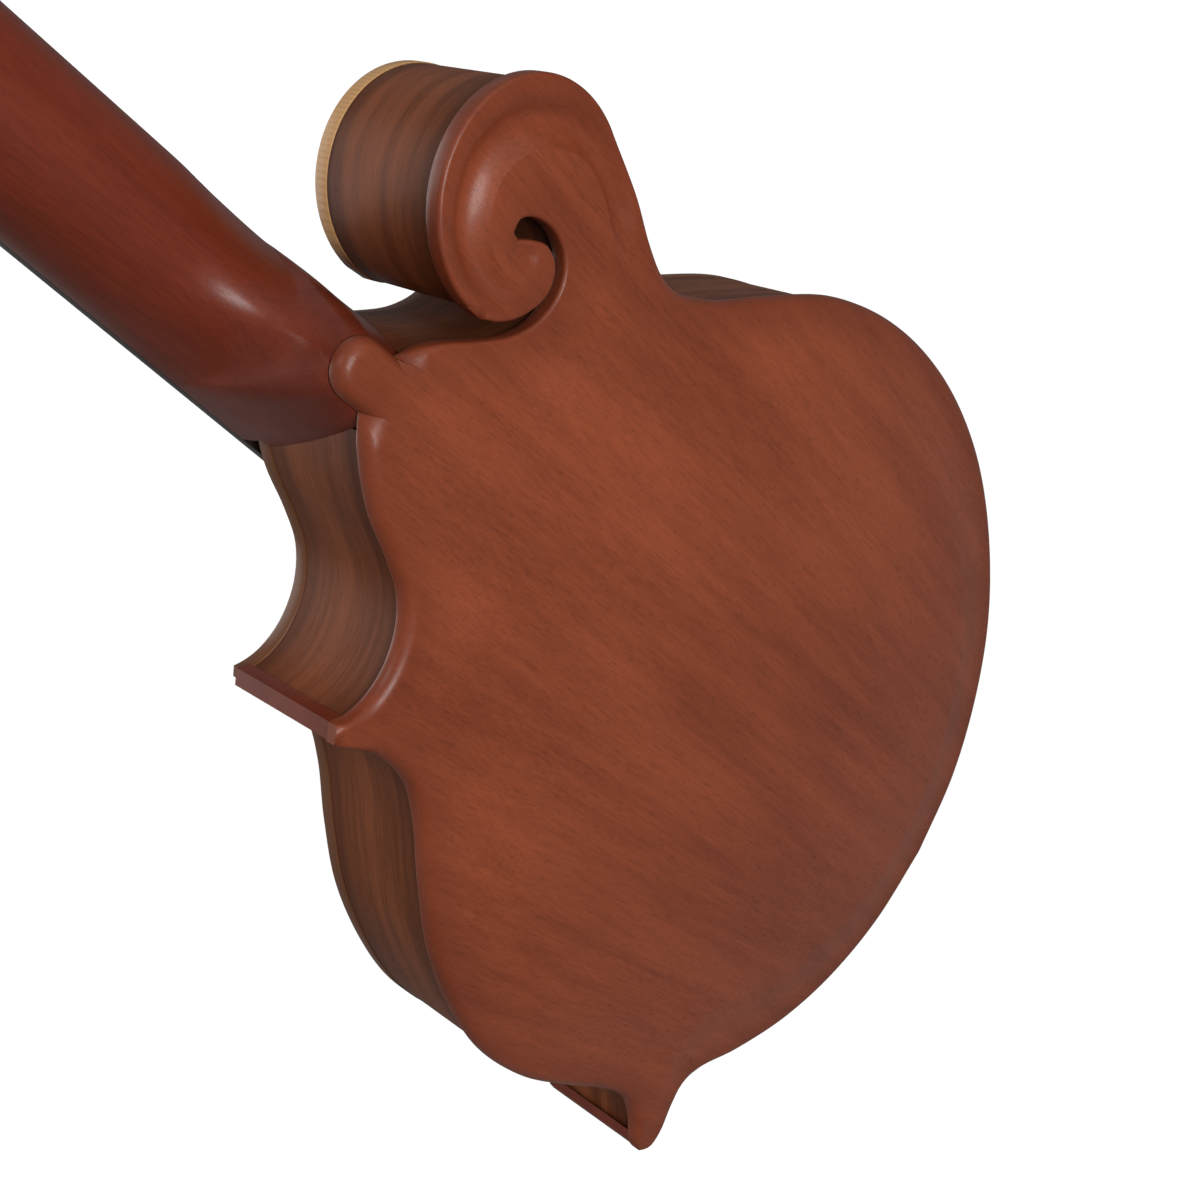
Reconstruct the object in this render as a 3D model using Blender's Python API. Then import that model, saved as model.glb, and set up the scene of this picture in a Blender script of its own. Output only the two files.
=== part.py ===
"""F-style mandolin: carved body with a scroll and two points, neck, tuners, bridge and strings.

Upright, neck along +Z, soundboard facing -Y, back facing +Y, treble side at +X.
The origin is the middle of the end pin's flat outer face, on the body's centre line.
"""
import math

import bmesh
import bpy
import numpy as np
from mathutils import Matrix, Vector
from mathutils.geometry import delaunay_2d_cdt

# Body, in metres. Plan coordinates: x to the treble side, y up the centre line from the tail,
# depth from the plane of the back plate's edge towards the soundboard.
BODY_WIDTH = 0.2510
BODY_LENGTH = 0.3370
BODY_DEPTH = 0.0458
BACK_ARCH = 0.0095
TOP_ARCH = 0.0105
PLATE_EDGE = 0.0048
PLATE_MIDDLE = 0.0044
EDGE_ROUND = 0.0022
OVERHANG = 0.0018
RIB_WALL = 0.0022
LINING_WIDTH = 0.0056
LINING_HEIGHT = 0.0070
TONE_BAR_WIDTH = 0.0060
TONE_BAR_ENDS = 0.0030
TONE_BAR_DEPTH = 0.0080
RECURVE = 0.0300
GLUE_EDGE = 0.0110
SCROLL_RADIUS = 0.0281
SCROLL_GROOVE = 0.0026
BUTTON_RADIUS = 0.0071
BUTTON_REACH = 0.0064
CLEAR = 0.0003

# Neck and fretboard. Neck coordinates: x across, s up the neck from the body joint,
# n out of the neck's gluing plane towards the strings.
SCALE_LENGTH = 0.3524
JOINT_FRET = 15
FRET_COUNT = 22
NECK_SLOPE_DEG = 4.9
NECK_LIFT = 0.0027
NUT_WIDTH = 0.0286
JOINT_WIDTH = 0.0390
NECK_DEPTH = 0.0150
NECK_DEPTH_AT_HEEL = 0.0185
HEEL_LENGTH = 0.0440
HEEL_CHEEK = 0.0105
TENON_WIDTH = 0.0150
NECK_BLOCK_WIDTH = 0.0500
TAIL_BLOCK_WIDTH = 0.0560
TAIL_BLOCK_DEPTH = 0.0270
TENON_LENGTH = 0.0160
BOARD_THICKNESS = 0.0048
FRET_HEIGHT = 0.0010
FRET_WIDTH = 0.0016
NUT_LENGTH = 0.0046
TRUSS_ROD_RADIUS = 0.0022
TRUSS_ROD_DEPTH = 0.0066
TRUSS_NUT_RADIUS = 0.0032
TRUSS_NUT_LENGTH = 0.0080
RISER_WIDTH = 0.0270
RISER_LENGTH = 0.0520

# Headstock. Head coordinates: x across, s up the headstock from the nut, n out of its face.
HEAD_ANGLE_DEG = 15.0
HEAD_THICKNESS = 0.0140
VENEER_THICKNESS = 0.0016
POST_SPACING = 0.0230
FIRST_POST = 0.0360
POST_OFFSET = 0.0175
POST_RADIUS = 0.0029
POST_REACH = 0.0115
BUSHING_RADIUS = 0.0044
TUNER_PLATE = 0.0012
TUNER_PLATE_WIDTH = 0.0150
TUNER_PLATE_MARGIN = 0.0070
GEAR_RADIUS = 0.0064
GEAR_TOOTH = 0.0011
GEAR_TEETH = 15
GEAR_WIDTH = 0.0034
WORM_RADIUS = 0.0022
WORM_LENGTH = 0.0076
SHAFT_RADIUS = 0.0014
BRACKET_WALL = 0.0014
KNOB_LENGTH = 0.0150
KNOB_WIDTH = 0.0175
KNOB_THICKNESS = 0.0070
KNOB_GAP = 0.0040
COVER_THICKNESS = 0.0015
COVER_WIDTH = 0.0200
COVER_LENGTH = 0.0290

# Strings, bridge and tailpiece
STRING_RADII = {"g": 0.00050, "d": 0.00033, "a": 0.00022, "e": 0.00020}
PAIR_SPREAD_NUT = 0.0066
PAIR_SPREAD_BRIDGE = 0.0120
COURSE_GAP = 0.0022
STRING_HEIGHT_NUT = 0.0009
STRING_HEIGHT_BRIDGE = 0.0042
POST_STRING_HEIGHT = 0.0065
BRIDGE_LENGTH = 0.1120
BRIDGE_WIDTH = 0.0100
BRIDGE_BASE_HEIGHT = 0.0056
BRIDGE_RELIEF = 0.0022
SADDLE_LENGTH = 0.0680
SADDLE_WIDTH = 0.0060
STUD_RADIUS = 0.0016
STUD_SPACING = 0.0460
WHEEL_RADIUS = 0.0050
WHEEL_THICKNESS = 0.0014
WHEEL_LIFT = 0.0021
TAILPIECE_LENGTH = 0.0560
TAILPIECE_WIDTH = 0.0380
TAILPIECE_METAL = 0.0010
TAILPIECE_RISE = 0.0052
TAILPIECE_LEG_WIDTH = 0.0260
HOOK_HEIGHT = 0.0036
HOOK_RADIUS = 0.0008
COVER_RISE = 0.0080
END_PIN_RADIUS = 0.0072
END_PIN_REACH = 0.0120
END_PIN_SHANK = 0.0040
END_PIN_DEPTH = 0.0200

# The outline as it was drawn, at a body 251 mm wide and 337 mm from tail to heel
DRAWN_WIDTH = 0.2510
DRAWN_LENGTH = 0.3370
BASS_SIDE = (
    (0.0000, -0.0017), (-0.0310, 0.0032), (-0.0590, 0.0168), (-0.0840, 0.0380), (-0.1050, 0.0690),
    (-0.1187, 0.1040), (-0.1235, 0.1415), (-0.1193, 0.1790), (-0.1070, 0.2125), (-0.0889, 0.2395),
    (-0.0755, 0.2575), (-0.0684, 0.2735), (-0.0708, 0.2895), (-0.0768, 0.3030), (-0.0806, 0.3150),
)
SCROLL_CENTRE = (-0.0540, 0.3279)
CURL_SIDE = (
    (-0.0263, 0.3235), (-0.0288, 0.3185), (-0.0340, 0.3134), (-0.0415, 0.3105), (-0.0476, 0.3126),
    (-0.0499, 0.3180), (-0.0482, 0.3226), (-0.0458, 0.3262),
)
SLOT_SIDE = (
    (-0.0461, 0.3288), (-0.0490, 0.3291), (-0.0518, 0.3262), (-0.0535, 0.3195), (-0.0516, 0.3128),
    (-0.0466, 0.3087), (-0.0410, 0.3078), (-0.0350, 0.3090), (-0.0285, 0.3133), (-0.0222, 0.3208),
    (-0.0163, 0.3290), (-0.0124, 0.3333),
)
HEEL_CHORD = ((-0.0071, 0.3368), (0.0071, 0.3368))
CUTAWAY = (
    (0.0124, 0.3328), (0.0184, 0.3262), (0.0238, 0.3186), (0.0292, 0.3075), (0.0345, 0.2990),
    (0.0422, 0.2933), (0.0515, 0.2908), (0.0592, 0.2917), (0.0640, 0.2942), (0.0668, 0.2972),
)
WAIST = (
    (0.0708, 0.2946), (0.0692, 0.2870), (0.0681, 0.2775), (0.0706, 0.2650), (0.0780, 0.2544),
    (0.0910, 0.2410), (0.1054, 0.2239), (0.1175, 0.2020), (0.1246, 0.1820), (0.1273, 0.1580),
    (0.1256, 0.1370), (0.1228, 0.1165), (0.1234, 0.1015), (0.1288, 0.0912), (0.1362, 0.0835),
)
TAIL_SIDE = (
    (0.1372, 0.0798), (0.1345, 0.0753), (0.1275, 0.0731), (0.1195, 0.0746), (0.1125, 0.0749),
    (0.1065, 0.0703), (0.0960, 0.0537), (0.0780, 0.0316), (0.0570, 0.0150), (0.0310, 0.0032),
    (0.0000, -0.0017),
)
UPPER_TIP = (0.0686, 0.2960)
LOWER_TIP = (0.1368, 0.0815)
# Where the scroll's block meets the neck's, and where both end above the open box
BLOCK_SPLIT = (-0.0440, 0.2860)
# The ridge of the scroll's carving, from its foot on the body round the curl to its tip
RIDGE = (
    (-0.0590, 0.2900), (-0.0645, 0.3040), (-0.0690, 0.3135), (-0.0700, 0.3235), (-0.0660, 0.3322),
    (-0.0590, 0.3382), (-0.0515, 0.3398), (-0.0440, 0.3372), (-0.0392, 0.3318), (-0.0375, 0.3255),
    (-0.0385, 0.3195), (-0.0412, 0.3150),
)
F_HOLE = (
    (0.0330, 0.2140), (0.0352, 0.2105), (0.0400, 0.2090), (0.0420, 0.2020), (0.0440, 0.1930),
    (0.0476, 0.1800), (0.0520, 0.1660), (0.0520, 0.1560), (0.0560, 0.1530), (0.0610, 0.1570),
    (0.0600, 0.1620), (0.0562, 0.1640), (0.0540, 0.1740), (0.0498, 0.1880), (0.0470, 0.2010),
    (0.0440, 0.2120), (0.0390, 0.2180), (0.0345, 0.2175),
)
# Foot and head of each bar under the soundboard
TONE_BARS = {
    "bass_tone_bar": ((-0.0340, 0.0850), (-0.0190, 0.2620)),
    "treble_tone_bar": ((0.0380, 0.0850), (0.0190, 0.2620)),
}
HEAD_OUTLINE = (
    (0.0150, 0.0000), (0.0162, 0.0060), (0.0215, 0.0150), (0.0275, 0.0235), (0.0300, 0.0340),
    (0.0296, 0.0700), (0.0285, 0.1080), (0.0310, 0.1220), (0.0390, 0.1330), (0.0410, 0.1400),
    (0.0340, 0.1415), (0.0240, 0.1400), (0.0140, 0.1430), (0.0060, 0.1500), (-0.0030, 0.1540),
    (-0.0110, 0.1590), (-0.0190, 0.1700), (-0.0290, 0.1730), (-0.0390, 0.1690), (-0.0430, 0.1590),
    (-0.0420, 0.1490), (-0.0370, 0.1370), (-0.0310, 0.1250), (-0.0285, 0.1080), (-0.0296, 0.0700),
    (-0.0300, 0.0340), (-0.0275, 0.0235), (-0.0215, 0.0150), (-0.0162, 0.0060), (-0.0150, 0.0000),
)

ARCH_GRID = 0.005
BODY_STEP = 0.0085
SCROLL_STEP = 0.0042
RIB_STEP = 0.0045
ROUND_SIDES = 10
SLIVER = 2e-9

BACK_WOOD = ((0.245, 0.070, 0.040, 1.0), 0.42, 0.0)
RIB_WOOD = ((0.190, 0.070, 0.038, 1.0), 0.45, 0.0)
TOP_WOOD = ((0.560, 0.330, 0.160, 1.0), 0.42, 0.0)
INNER_WOOD = ((0.500, 0.330, 0.190, 1.0), 0.70, 0.0)
NECK_WOOD = ((0.150, 0.040, 0.024, 1.0), 0.40, 0.0)
DARK_WOOD = ((0.030, 0.018, 0.014, 1.0), 0.50, 0.0)
NICKEL = ((0.720, 0.700, 0.660, 1.0), 0.25, 1.0)
BRASS = ((0.700, 0.500, 0.220, 1.0), 0.30, 1.0)
BRONZE = ((0.620, 0.400, 0.220, 1.0), 0.35, 1.0)
STEEL = ((0.560, 0.560, 0.580, 1.0), 0.30, 1.0)
BONE = ((0.850, 0.800, 0.680, 1.0), 0.40, 0.0)
PEARLOID = ((0.820, 0.790, 0.720, 1.0), 0.30, 0.0)
BLACK_PLASTIC = ((0.020, 0.020, 0.020, 1.0), 0.30, 0.0)


def clear_scene():
    """Remove every object of the open scene."""
    for item in list(bpy.data.objects):
        bpy.data.objects.remove(item, do_unlink=True)


def material(name, finish):
    """A plain Principled material from a colour, a roughness and a metallic value."""
    made = bpy.data.materials.get(name)
    if made is None:
        made = bpy.data.materials.new(name)
        made.use_nodes = True
        shader = made.node_tree.nodes["Principled BSDF"]
        shader.inputs["Base Color"].default_value = finish[0]
        shader.inputs["Roughness"].default_value = finish[1]
        shader.inputs["Metallic"].default_value = finish[2]
    return made


def body_frame():
    """Plan coordinates (x, y, depth) to the part's frame."""
    return Matrix.Translation((0.0, BODY_DEPTH / 2, pin_height())) @ Matrix.Rotation(math.pi / 2, 4, "X")


def pin_height():
    """Height of the plan's zero above the end pin's face."""
    return END_PIN_REACH + CLEAR - OVERHANG - tail_end()


def neck_frame():
    """Neck coordinates (x, s, n) to the part's frame."""
    place = body_frame() @ Matrix.Translation((0.0, joint_height(), BODY_DEPTH + NECK_LIFT))
    return place @ Matrix.Rotation(-math.radians(NECK_SLOPE_DEG), 4, "X")


def head_frame():
    """Head coordinates (x, s, n) to the part's frame."""
    place = neck_frame() @ Matrix.Translation((0.0, nut_reach() + NUT_LENGTH + CLEAR, 0.0))
    return place @ Matrix.Rotation(-math.radians(HEAD_ANGLE_DEG), 4, "X")


def fret_distance(number):
    """Distance of a fret from the nut's front edge."""
    return SCALE_LENGTH * (1.0 - 2.0 ** (-number / 12.0))


def joint_height():
    """Height of the neck's joint above the plan's zero."""
    return HEEL_CHORD[0][1] * BODY_LENGTH / DRAWN_LENGTH - 0.0018


def nut_reach():
    """Distance from the joint to the nut's front edge along the neck."""
    return fret_distance(JOINT_FRET)


def tail_end():
    """Plan height of the outline's tail."""
    return BASS_SIDE[0][1] * BODY_LENGTH / DRAWN_LENGTH


def scaled(points):
    """Drawn outline points at the body's own width and length."""
    drawn = np.array(points, dtype=float)
    return drawn * np.array([BODY_WIDTH / DRAWN_WIDTH, BODY_LENGTH / DRAWN_LENGTH])


def smooth_through(points, step):
    """A smooth curve through the points, sampled about every step."""
    knots = np.array(points, dtype=float)
    padded = np.vstack([2 * knots[0] - knots[1], knots, 2 * knots[-1] - knots[-2]])
    curve = []
    for index in range(1, len(padded) - 2):
        before, start, end, after = padded[index - 1:index + 3]
        count = max(1, int(round(np.linalg.norm(end - start) / step)))
        for piece in range(count):
            curve.append(curve_point(before, start, end, after, piece / count))
    curve.append(knots[-1])
    return np.array(curve)


def curve_point(before, start, end, after, share):
    """A point of a centripetal Catmull-Rom stretch."""
    gaps = [max(math.sqrt(np.linalg.norm(b - a)), 1e-6)
            for a, b in ((before, start), (start, end), (end, after))]
    slope_start = ((start - before) / gaps[0] - (end - before) / (gaps[0] + gaps[1])
                   + (end - start) / gaps[1]) * gaps[1]
    slope_end = ((end - start) / gaps[1] - (after - start) / (gaps[1] + gaps[2])
                 + (after - end) / gaps[2]) * gaps[1]
    square = share * share
    cube = square * share
    return (start * (2 * cube - 3 * square + 1) + slope_start * (cube - 2 * square + share)
            + end * (3 * square - 2 * cube) + slope_end * (cube - square))


def scroll_arc(step):
    """The round of the scroll, from its stem over the top to the curl."""
    first, last = math.radians(198.0), math.radians(2.0)
    angles = np.linspace(first, last, int(SCROLL_RADIUS * (first - last) / step) + 1)
    return scaled(np.array(SCROLL_CENTRE) + SCROLL_RADIUS * np.column_stack([np.cos(angles), np.sin(angles)]))


def stretches():
    """The body's outline, clockwise from the tail, as named runs between its corners."""
    bass = smooth_through(scaled(BASS_SIDE), BODY_STEP)
    arc = scroll_arc(SCROLL_STEP)
    return {
        "bass": np.vstack([bass[:-1], arc]),
        "curl": smooth_through(scaled(CURL_SIDE), SCROLL_STEP),
        "slot": smooth_through(scaled(SLOT_SIDE), SCROLL_STEP),
        "heel": scaled(HEEL_CHORD),
        "cutaway": smooth_through(scaled(CUTAWAY), BODY_STEP * 0.75),
        "waist": smooth_through(scaled(WAIST), BODY_STEP),
        "tail": smooth_through(scaled(TAIL_SIDE), BODY_STEP)[:-1],
    }


def join_runs(runs, names):
    """Several runs of the outline as one list of points."""
    return np.vstack([runs[name] for name in names])


def button(runs):
    """The back plate's button over the heel, as a run that replaces the heel's chord."""
    left, right = runs["heel"]
    centre = (left + right) / 2 + np.array([0.0, BUTTON_REACH])
    angles = [math.pi * (1.0 - index / 8) for index in range(9)]
    arc = [centre + BUTTON_RADIUS * np.array([math.cos(a), math.sin(a)]) for a in angles]
    return np.vstack([[left], arc, [right]])


def to_loop(points, loop):
    """Distance of each point to a closed outline."""
    ends = np.roll(loop, -1, axis=0)
    run = ends - loop
    away = points[:, None, :] - loop[None]
    length = np.maximum((run * run).sum(axis=1), 1e-18)
    share = np.clip((away * run[None]).sum(axis=2) / length, 0.0, 1.0)
    return np.linalg.norm(away - share[..., None] * run[None], axis=2).min(axis=1)


def to_path(points, path):
    """Distance of each point to an open path, and the share of the path where it is nearest."""
    run = path[1:] - path[:-1]
    away = points[:, None, :] - path[None, :-1]
    length = np.maximum((run * run).sum(axis=1), 1e-18)
    share = np.clip((away * run[None]).sum(axis=2) / length, 0.0, 1.0)
    offset = away - share[..., None] * run[None]
    distance = np.linalg.norm(offset, axis=2)
    nearest = distance.argmin(axis=1)
    rows = np.arange(len(points))
    cross = run[nearest, 0] * offset[rows, nearest, 1] - run[nearest, 1] * offset[rows, nearest, 0]
    along = (nearest + share[rows, nearest]) / len(run)
    return distance[rows, nearest] * np.sign(cross), along


def inside(points, loop):
    """Whether each point lies inside a closed outline."""
    ends = np.roll(loop, -1, axis=0)
    x, y = points[:, 0][:, None], points[:, 1][:, None]
    crosses = (loop[:, 1][None] > y) != (ends[:, 1][None] > y)
    rise = np.where(np.abs(ends[:, 1] - loop[:, 1]) < 1e-12, 1e-12, ends[:, 1] - loop[:, 1])
    at = (ends[:, 0] - loop[:, 0])[None] * (y - loop[:, 1][None]) / rise[None] + loop[:, 0][None]
    return (np.logical_and(crosses, x < at).sum(axis=1) % 2) == 1


def shifted(run, distance):
    """A run of the outline moved to its right by a distance."""
    along = np.gradient(run, axis=0)
    along /= np.linalg.norm(along, axis=1)[:, None]
    return run + distance * np.column_stack([along[:, 1], -along[:, 0]])


def inset(run, distance, loop, trim=0.98):
    """A run of the outline moved inside the body, without the points that run past a corner."""
    moved = shifted(run, distance)
    keep = np.logical_and(to_loop(moved, loop) > distance * trim, inside(moved, loop))
    return moved[keep]


def smooth_step(value):
    """0 to 1 with level ends."""
    value = np.clip(value, 0.0, 1.0)
    return value * value * (3.0 - 2.0 * value)


class Arching:
    """The dome of a carved plate: the shape a loaded skin takes over the outline, with a recurve."""

    def __init__(self, loop, height):
        self.loop = loop
        self.height = height
        self.low = loop.min(axis=0) - 2 * ARCH_GRID
        size = np.ceil((loop.max(axis=0) - self.low) / ARCH_GRID).astype(int) + 3
        grid = np.stack(np.meshgrid(np.arange(size[0]), np.arange(size[1]), indexing="ij"), axis=-1)
        mask = inside(self.low + grid.reshape(-1, 2) * ARCH_GRID, loop).reshape(size)
        skin = np.zeros(size)
        for _ in range(2500):
            around = (np.roll(skin, 1, 0) + np.roll(skin, -1, 0)
                      + np.roll(skin, 1, 1) + np.roll(skin, -1, 1))
            skin = np.where(mask, (around + 1.0) / 4.0, 0.0)
        self.skin = skin / skin.max()

    def dome(self, points):
        """The skin's share of its full height at each point."""
        place = (points - self.low) / ARCH_GRID
        cell = np.floor(place).astype(int)
        share = place - cell
        i, j = cell[:, 0], cell[:, 1]
        low = self.skin[i, j] * (1 - share[:, 0]) + self.skin[i + 1, j] * share[:, 0]
        high = self.skin[i, j + 1] * (1 - share[:, 0]) + self.skin[i + 1, j + 1] * share[:, 0]
        return np.power(np.maximum(low * (1 - share[:, 1]) + high * share[:, 1], 0.0), 0.8)

    def rise(self, points, start):
        """Height of the dome over the edge plane, level up to start inside the outline."""
        reach = to_loop(points, self.loop)
        return self.height * self.dome(points) * smooth_step((reach - start) / RECURVE)

    def round_over(self, points):
        """How far the plate's rounded edge falls back at each point."""
        reach = np.minimum(to_loop(points, self.loop), EDGE_ROUND)
        return EDGE_ROUND - np.sqrt(np.maximum(EDGE_ROUND ** 2 - (EDGE_ROUND - reach) ** 2, 0.0))


def scroll_carving(points):
    """Depth of the groove beside the scroll's ridge at each point."""
    side, along = to_path(points, smooth_through(scaled(RIDGE), SCROLL_STEP))
    fade = smooth_step(along / 0.25) * smooth_step((1.0 - along) / 0.18)
    outer = np.where(side > 0, smooth_step(1.0 - side / 0.011), smooth_step(1.0 + side / 0.0016))
    return SCROLL_GROOVE * outer * fade


def doubled_area(corners):
    """Twice the area of each of many triangles, given as three corners each."""
    first, second = corners[:, 1] - corners[:, 0], corners[:, 2] - corners[:, 0]
    return np.abs(first[:, 0] * second[:, 1] - first[:, 1] * second[:, 0])


def crosses(a, b, c, d):
    """Whether the step from a to b crosses the step from c to d."""
    def turn(start, end, point):
        return (end[0] - start[0]) * (point[1] - start[1]) - (end[1] - start[1]) * (point[0] - start[0])
    return turn(a, b, c) * turn(a, b, d) < 0 and turn(c, d, a) * turn(c, d, b) < 0


def untangled(loop, reach=12):
    """A closed outline without the small knots where two of its runs cross at a corner."""
    points = list(loop)
    index = 0
    while index < len(points) - 3:
        step = points[index:index + 2]
        far = range(min(index + reach, len(points) - 2), index + 1, -1)
        knot = next((end for end in far if crosses(*step, *points[end:end + 2])), None)
        if knot is not None:
            del points[index + 1:knot + 1]
        index += 1
    return np.array(points)


def triangles(loops, points):
    """Triangles over the area inside the first loop and outside the others."""
    flat = [np.asarray(loop) for loop in loops]
    corners = [Vector(p) for loop in flat for p in loop] + [Vector(p) for p in points]
    edges = []
    start = 0
    for loop in flat:
        count = len(loop)
        edges += [(start + i, start + (i + 1) % count) for i in range(count)]
        start += count
    made, _, faces, _, _, _ = delaunay_2d_cdt(corners, edges, [], 0, 1e-7)
    if len(made) != len(corners):
        raise ValueError("an outline crosses itself")
    spots = np.array([list(v) for v in made])
    shapes = spots[np.array(faces)]
    keep = np.logical_and(inside(shapes.mean(axis=1), flat[0]), doubled_area(shapes) > SLIVER)
    for hole in flat[1:]:
        keep = np.logical_and(keep, ~inside(shapes.mean(axis=1), hole))
    return spots, [face for face, kept in zip(faces, keep) if kept]


def sheet_solid(loops, outer_points, outer, inner_points, inner):
    """A closed plate between two height functions, both over the same loops."""
    top, top_faces = triangles(loops, outer_points)
    low, low_faces = triangles(loops, inner_points)
    verts = [(x, y, z) for (x, y), z in zip(top, outer(top))]
    verts += [(x, y, z) for (x, y), z in zip(low, inner(low))]
    base = len(top)
    faces = [tuple(face) for face in top_faces]
    faces += [tuple(base + corner for corner in reversed(face)) for face in low_faces]
    start = 0
    for loop in loops:
        count = len(loop)
        for i in range(count):
            a, b = start + i, start + (i + 1) % count
            faces.append((a, b, base + b, base + a))
        start += count
    return verts, faces


def slab(loops, low, high):
    """A flat plate with holes, between two heights."""
    return sheet_solid(loops, [], lambda p: np.full(len(p), high), [], lambda p: np.full(len(p), low))


def loft(rings):
    """A closed solid through rings of as many points each, with flat ends."""
    count = len(rings[0])
    verts = [tuple(point) for ring in rings for point in ring]
    faces = [tuple(range(count - 1, -1, -1))]
    for row in range(len(rings) - 1):
        for i in range(count):
            a, b = row * count + i, row * count + (i + 1) % count
            faces.append((a, b, b + count, a + count))
    start = (len(rings) - 1) * count
    faces.append(tuple(start + i for i in range(count)))
    return verts, faces


def circle(centre, radius, sides=ROUND_SIDES, turn=0.0):
    """Points of a circle in the plane."""
    angles = [2 * math.pi * (index + turn) / sides for index in range(sides)]
    return np.array([[centre[0] + radius * math.cos(a), centre[1] + radius * math.sin(a)] for a in angles])


def turned(profile, sides=ROUND_SIDES):
    """A solid turned about the local Z axis, from (radius, height) pairs."""
    rings = [[(x, y, height) for x, y in circle((0, 0), radius, sides)] for radius, height in profile]
    return loft(rings)


def box(low, high):
    """A box from its two corners."""
    corners = [(low[0], low[1]), (high[0], low[1]), (high[0], high[1]), (low[0], high[1])]
    return slab([np.array(corners)], low[2], high[2])


def merge(*solids):
    """Several separate solids in one mesh."""
    verts, faces = [], []
    for part_verts, part_faces in solids:
        base = len(verts)
        verts += list(part_verts)
        faces += [tuple(base + corner for corner in face) for face in part_faces]
    return verts, faces


def moved(solid, matrix):
    """A solid carried by a matrix."""
    verts, faces = solid
    return [tuple(matrix @ Vector(v)) for v in verts], faces


def mesh_of(name, solid):
    """A triangulated mesh with its faces pointing out."""
    mesh = bpy.data.meshes.new(name)
    mesh.from_pydata([tuple(map(float, v)) for v in solid[0]], [], solid[1])
    edit = bmesh.new()
    edit.from_mesh(mesh)
    bmesh.ops.triangulate(edit, faces=edit.faces[:])
    bmesh.ops.recalc_face_normals(edit, faces=edit.faces[:])
    edit.to_mesh(mesh)
    edit.free()
    return mesh


def add_piece(name, solid, finish, place=None, sharp=35.0):
    """One named object, placed by a matrix."""
    mesh = mesh_of(name, solid) if isinstance(solid, tuple) else solid
    piece = bpy.data.objects.new(name, mesh)
    bpy.context.collection.objects.link(piece)
    piece.matrix_world = place or Matrix.Identity(4)
    mesh.materials.clear()
    mesh.materials.append(material(finish[0], finish[1]))
    mesh.shade_smooth()
    mesh.set_sharp_from_angle(angle=math.radians(sharp))
    return piece


def shaped(base, cuts=(), joins=(), keep=()):
    """The mesh of a solid after exact cuts, unions and intersections with other solids."""
    mesh = mesh_of("shaping", base) if isinstance(base, tuple) else base
    target = bpy.data.objects.new("shaping", mesh)
    bpy.context.collection.objects.link(target)
    tools = []
    for operation, solids in (("UNION", joins), ("INTERSECT", keep), ("DIFFERENCE", cuts)):
        for solid in solids:
            tool = bpy.data.objects.new("cutter", mesh_of("cutter", solid))
            bpy.context.collection.objects.link(tool)
            tool.hide_render = True
            tool.display_type = "WIRE"
            step = target.modifiers.new(operation.lower(), "BOOLEAN")
            step.operation = operation
            step.solver = "EXACT"
            step.object = tool
            tools.append(tool)
    bpy.context.view_layer.update()
    ready = target.evaluated_get(bpy.context.evaluated_depsgraph_get())
    mesh = bpy.data.meshes.new_from_object(ready)
    for item in tools + [target]:
        bpy.data.objects.remove(item, do_unlink=True)
    edit = bmesh.new()
    edit.from_mesh(mesh)
    bmesh.ops.dissolve_degenerate(edit, dist=1e-6, edges=edit.edges[:])
    bmesh.ops.triangulate(edit, faces=edit.faces[:])
    edit.to_mesh(mesh)
    edit.free()
    return mesh


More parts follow.
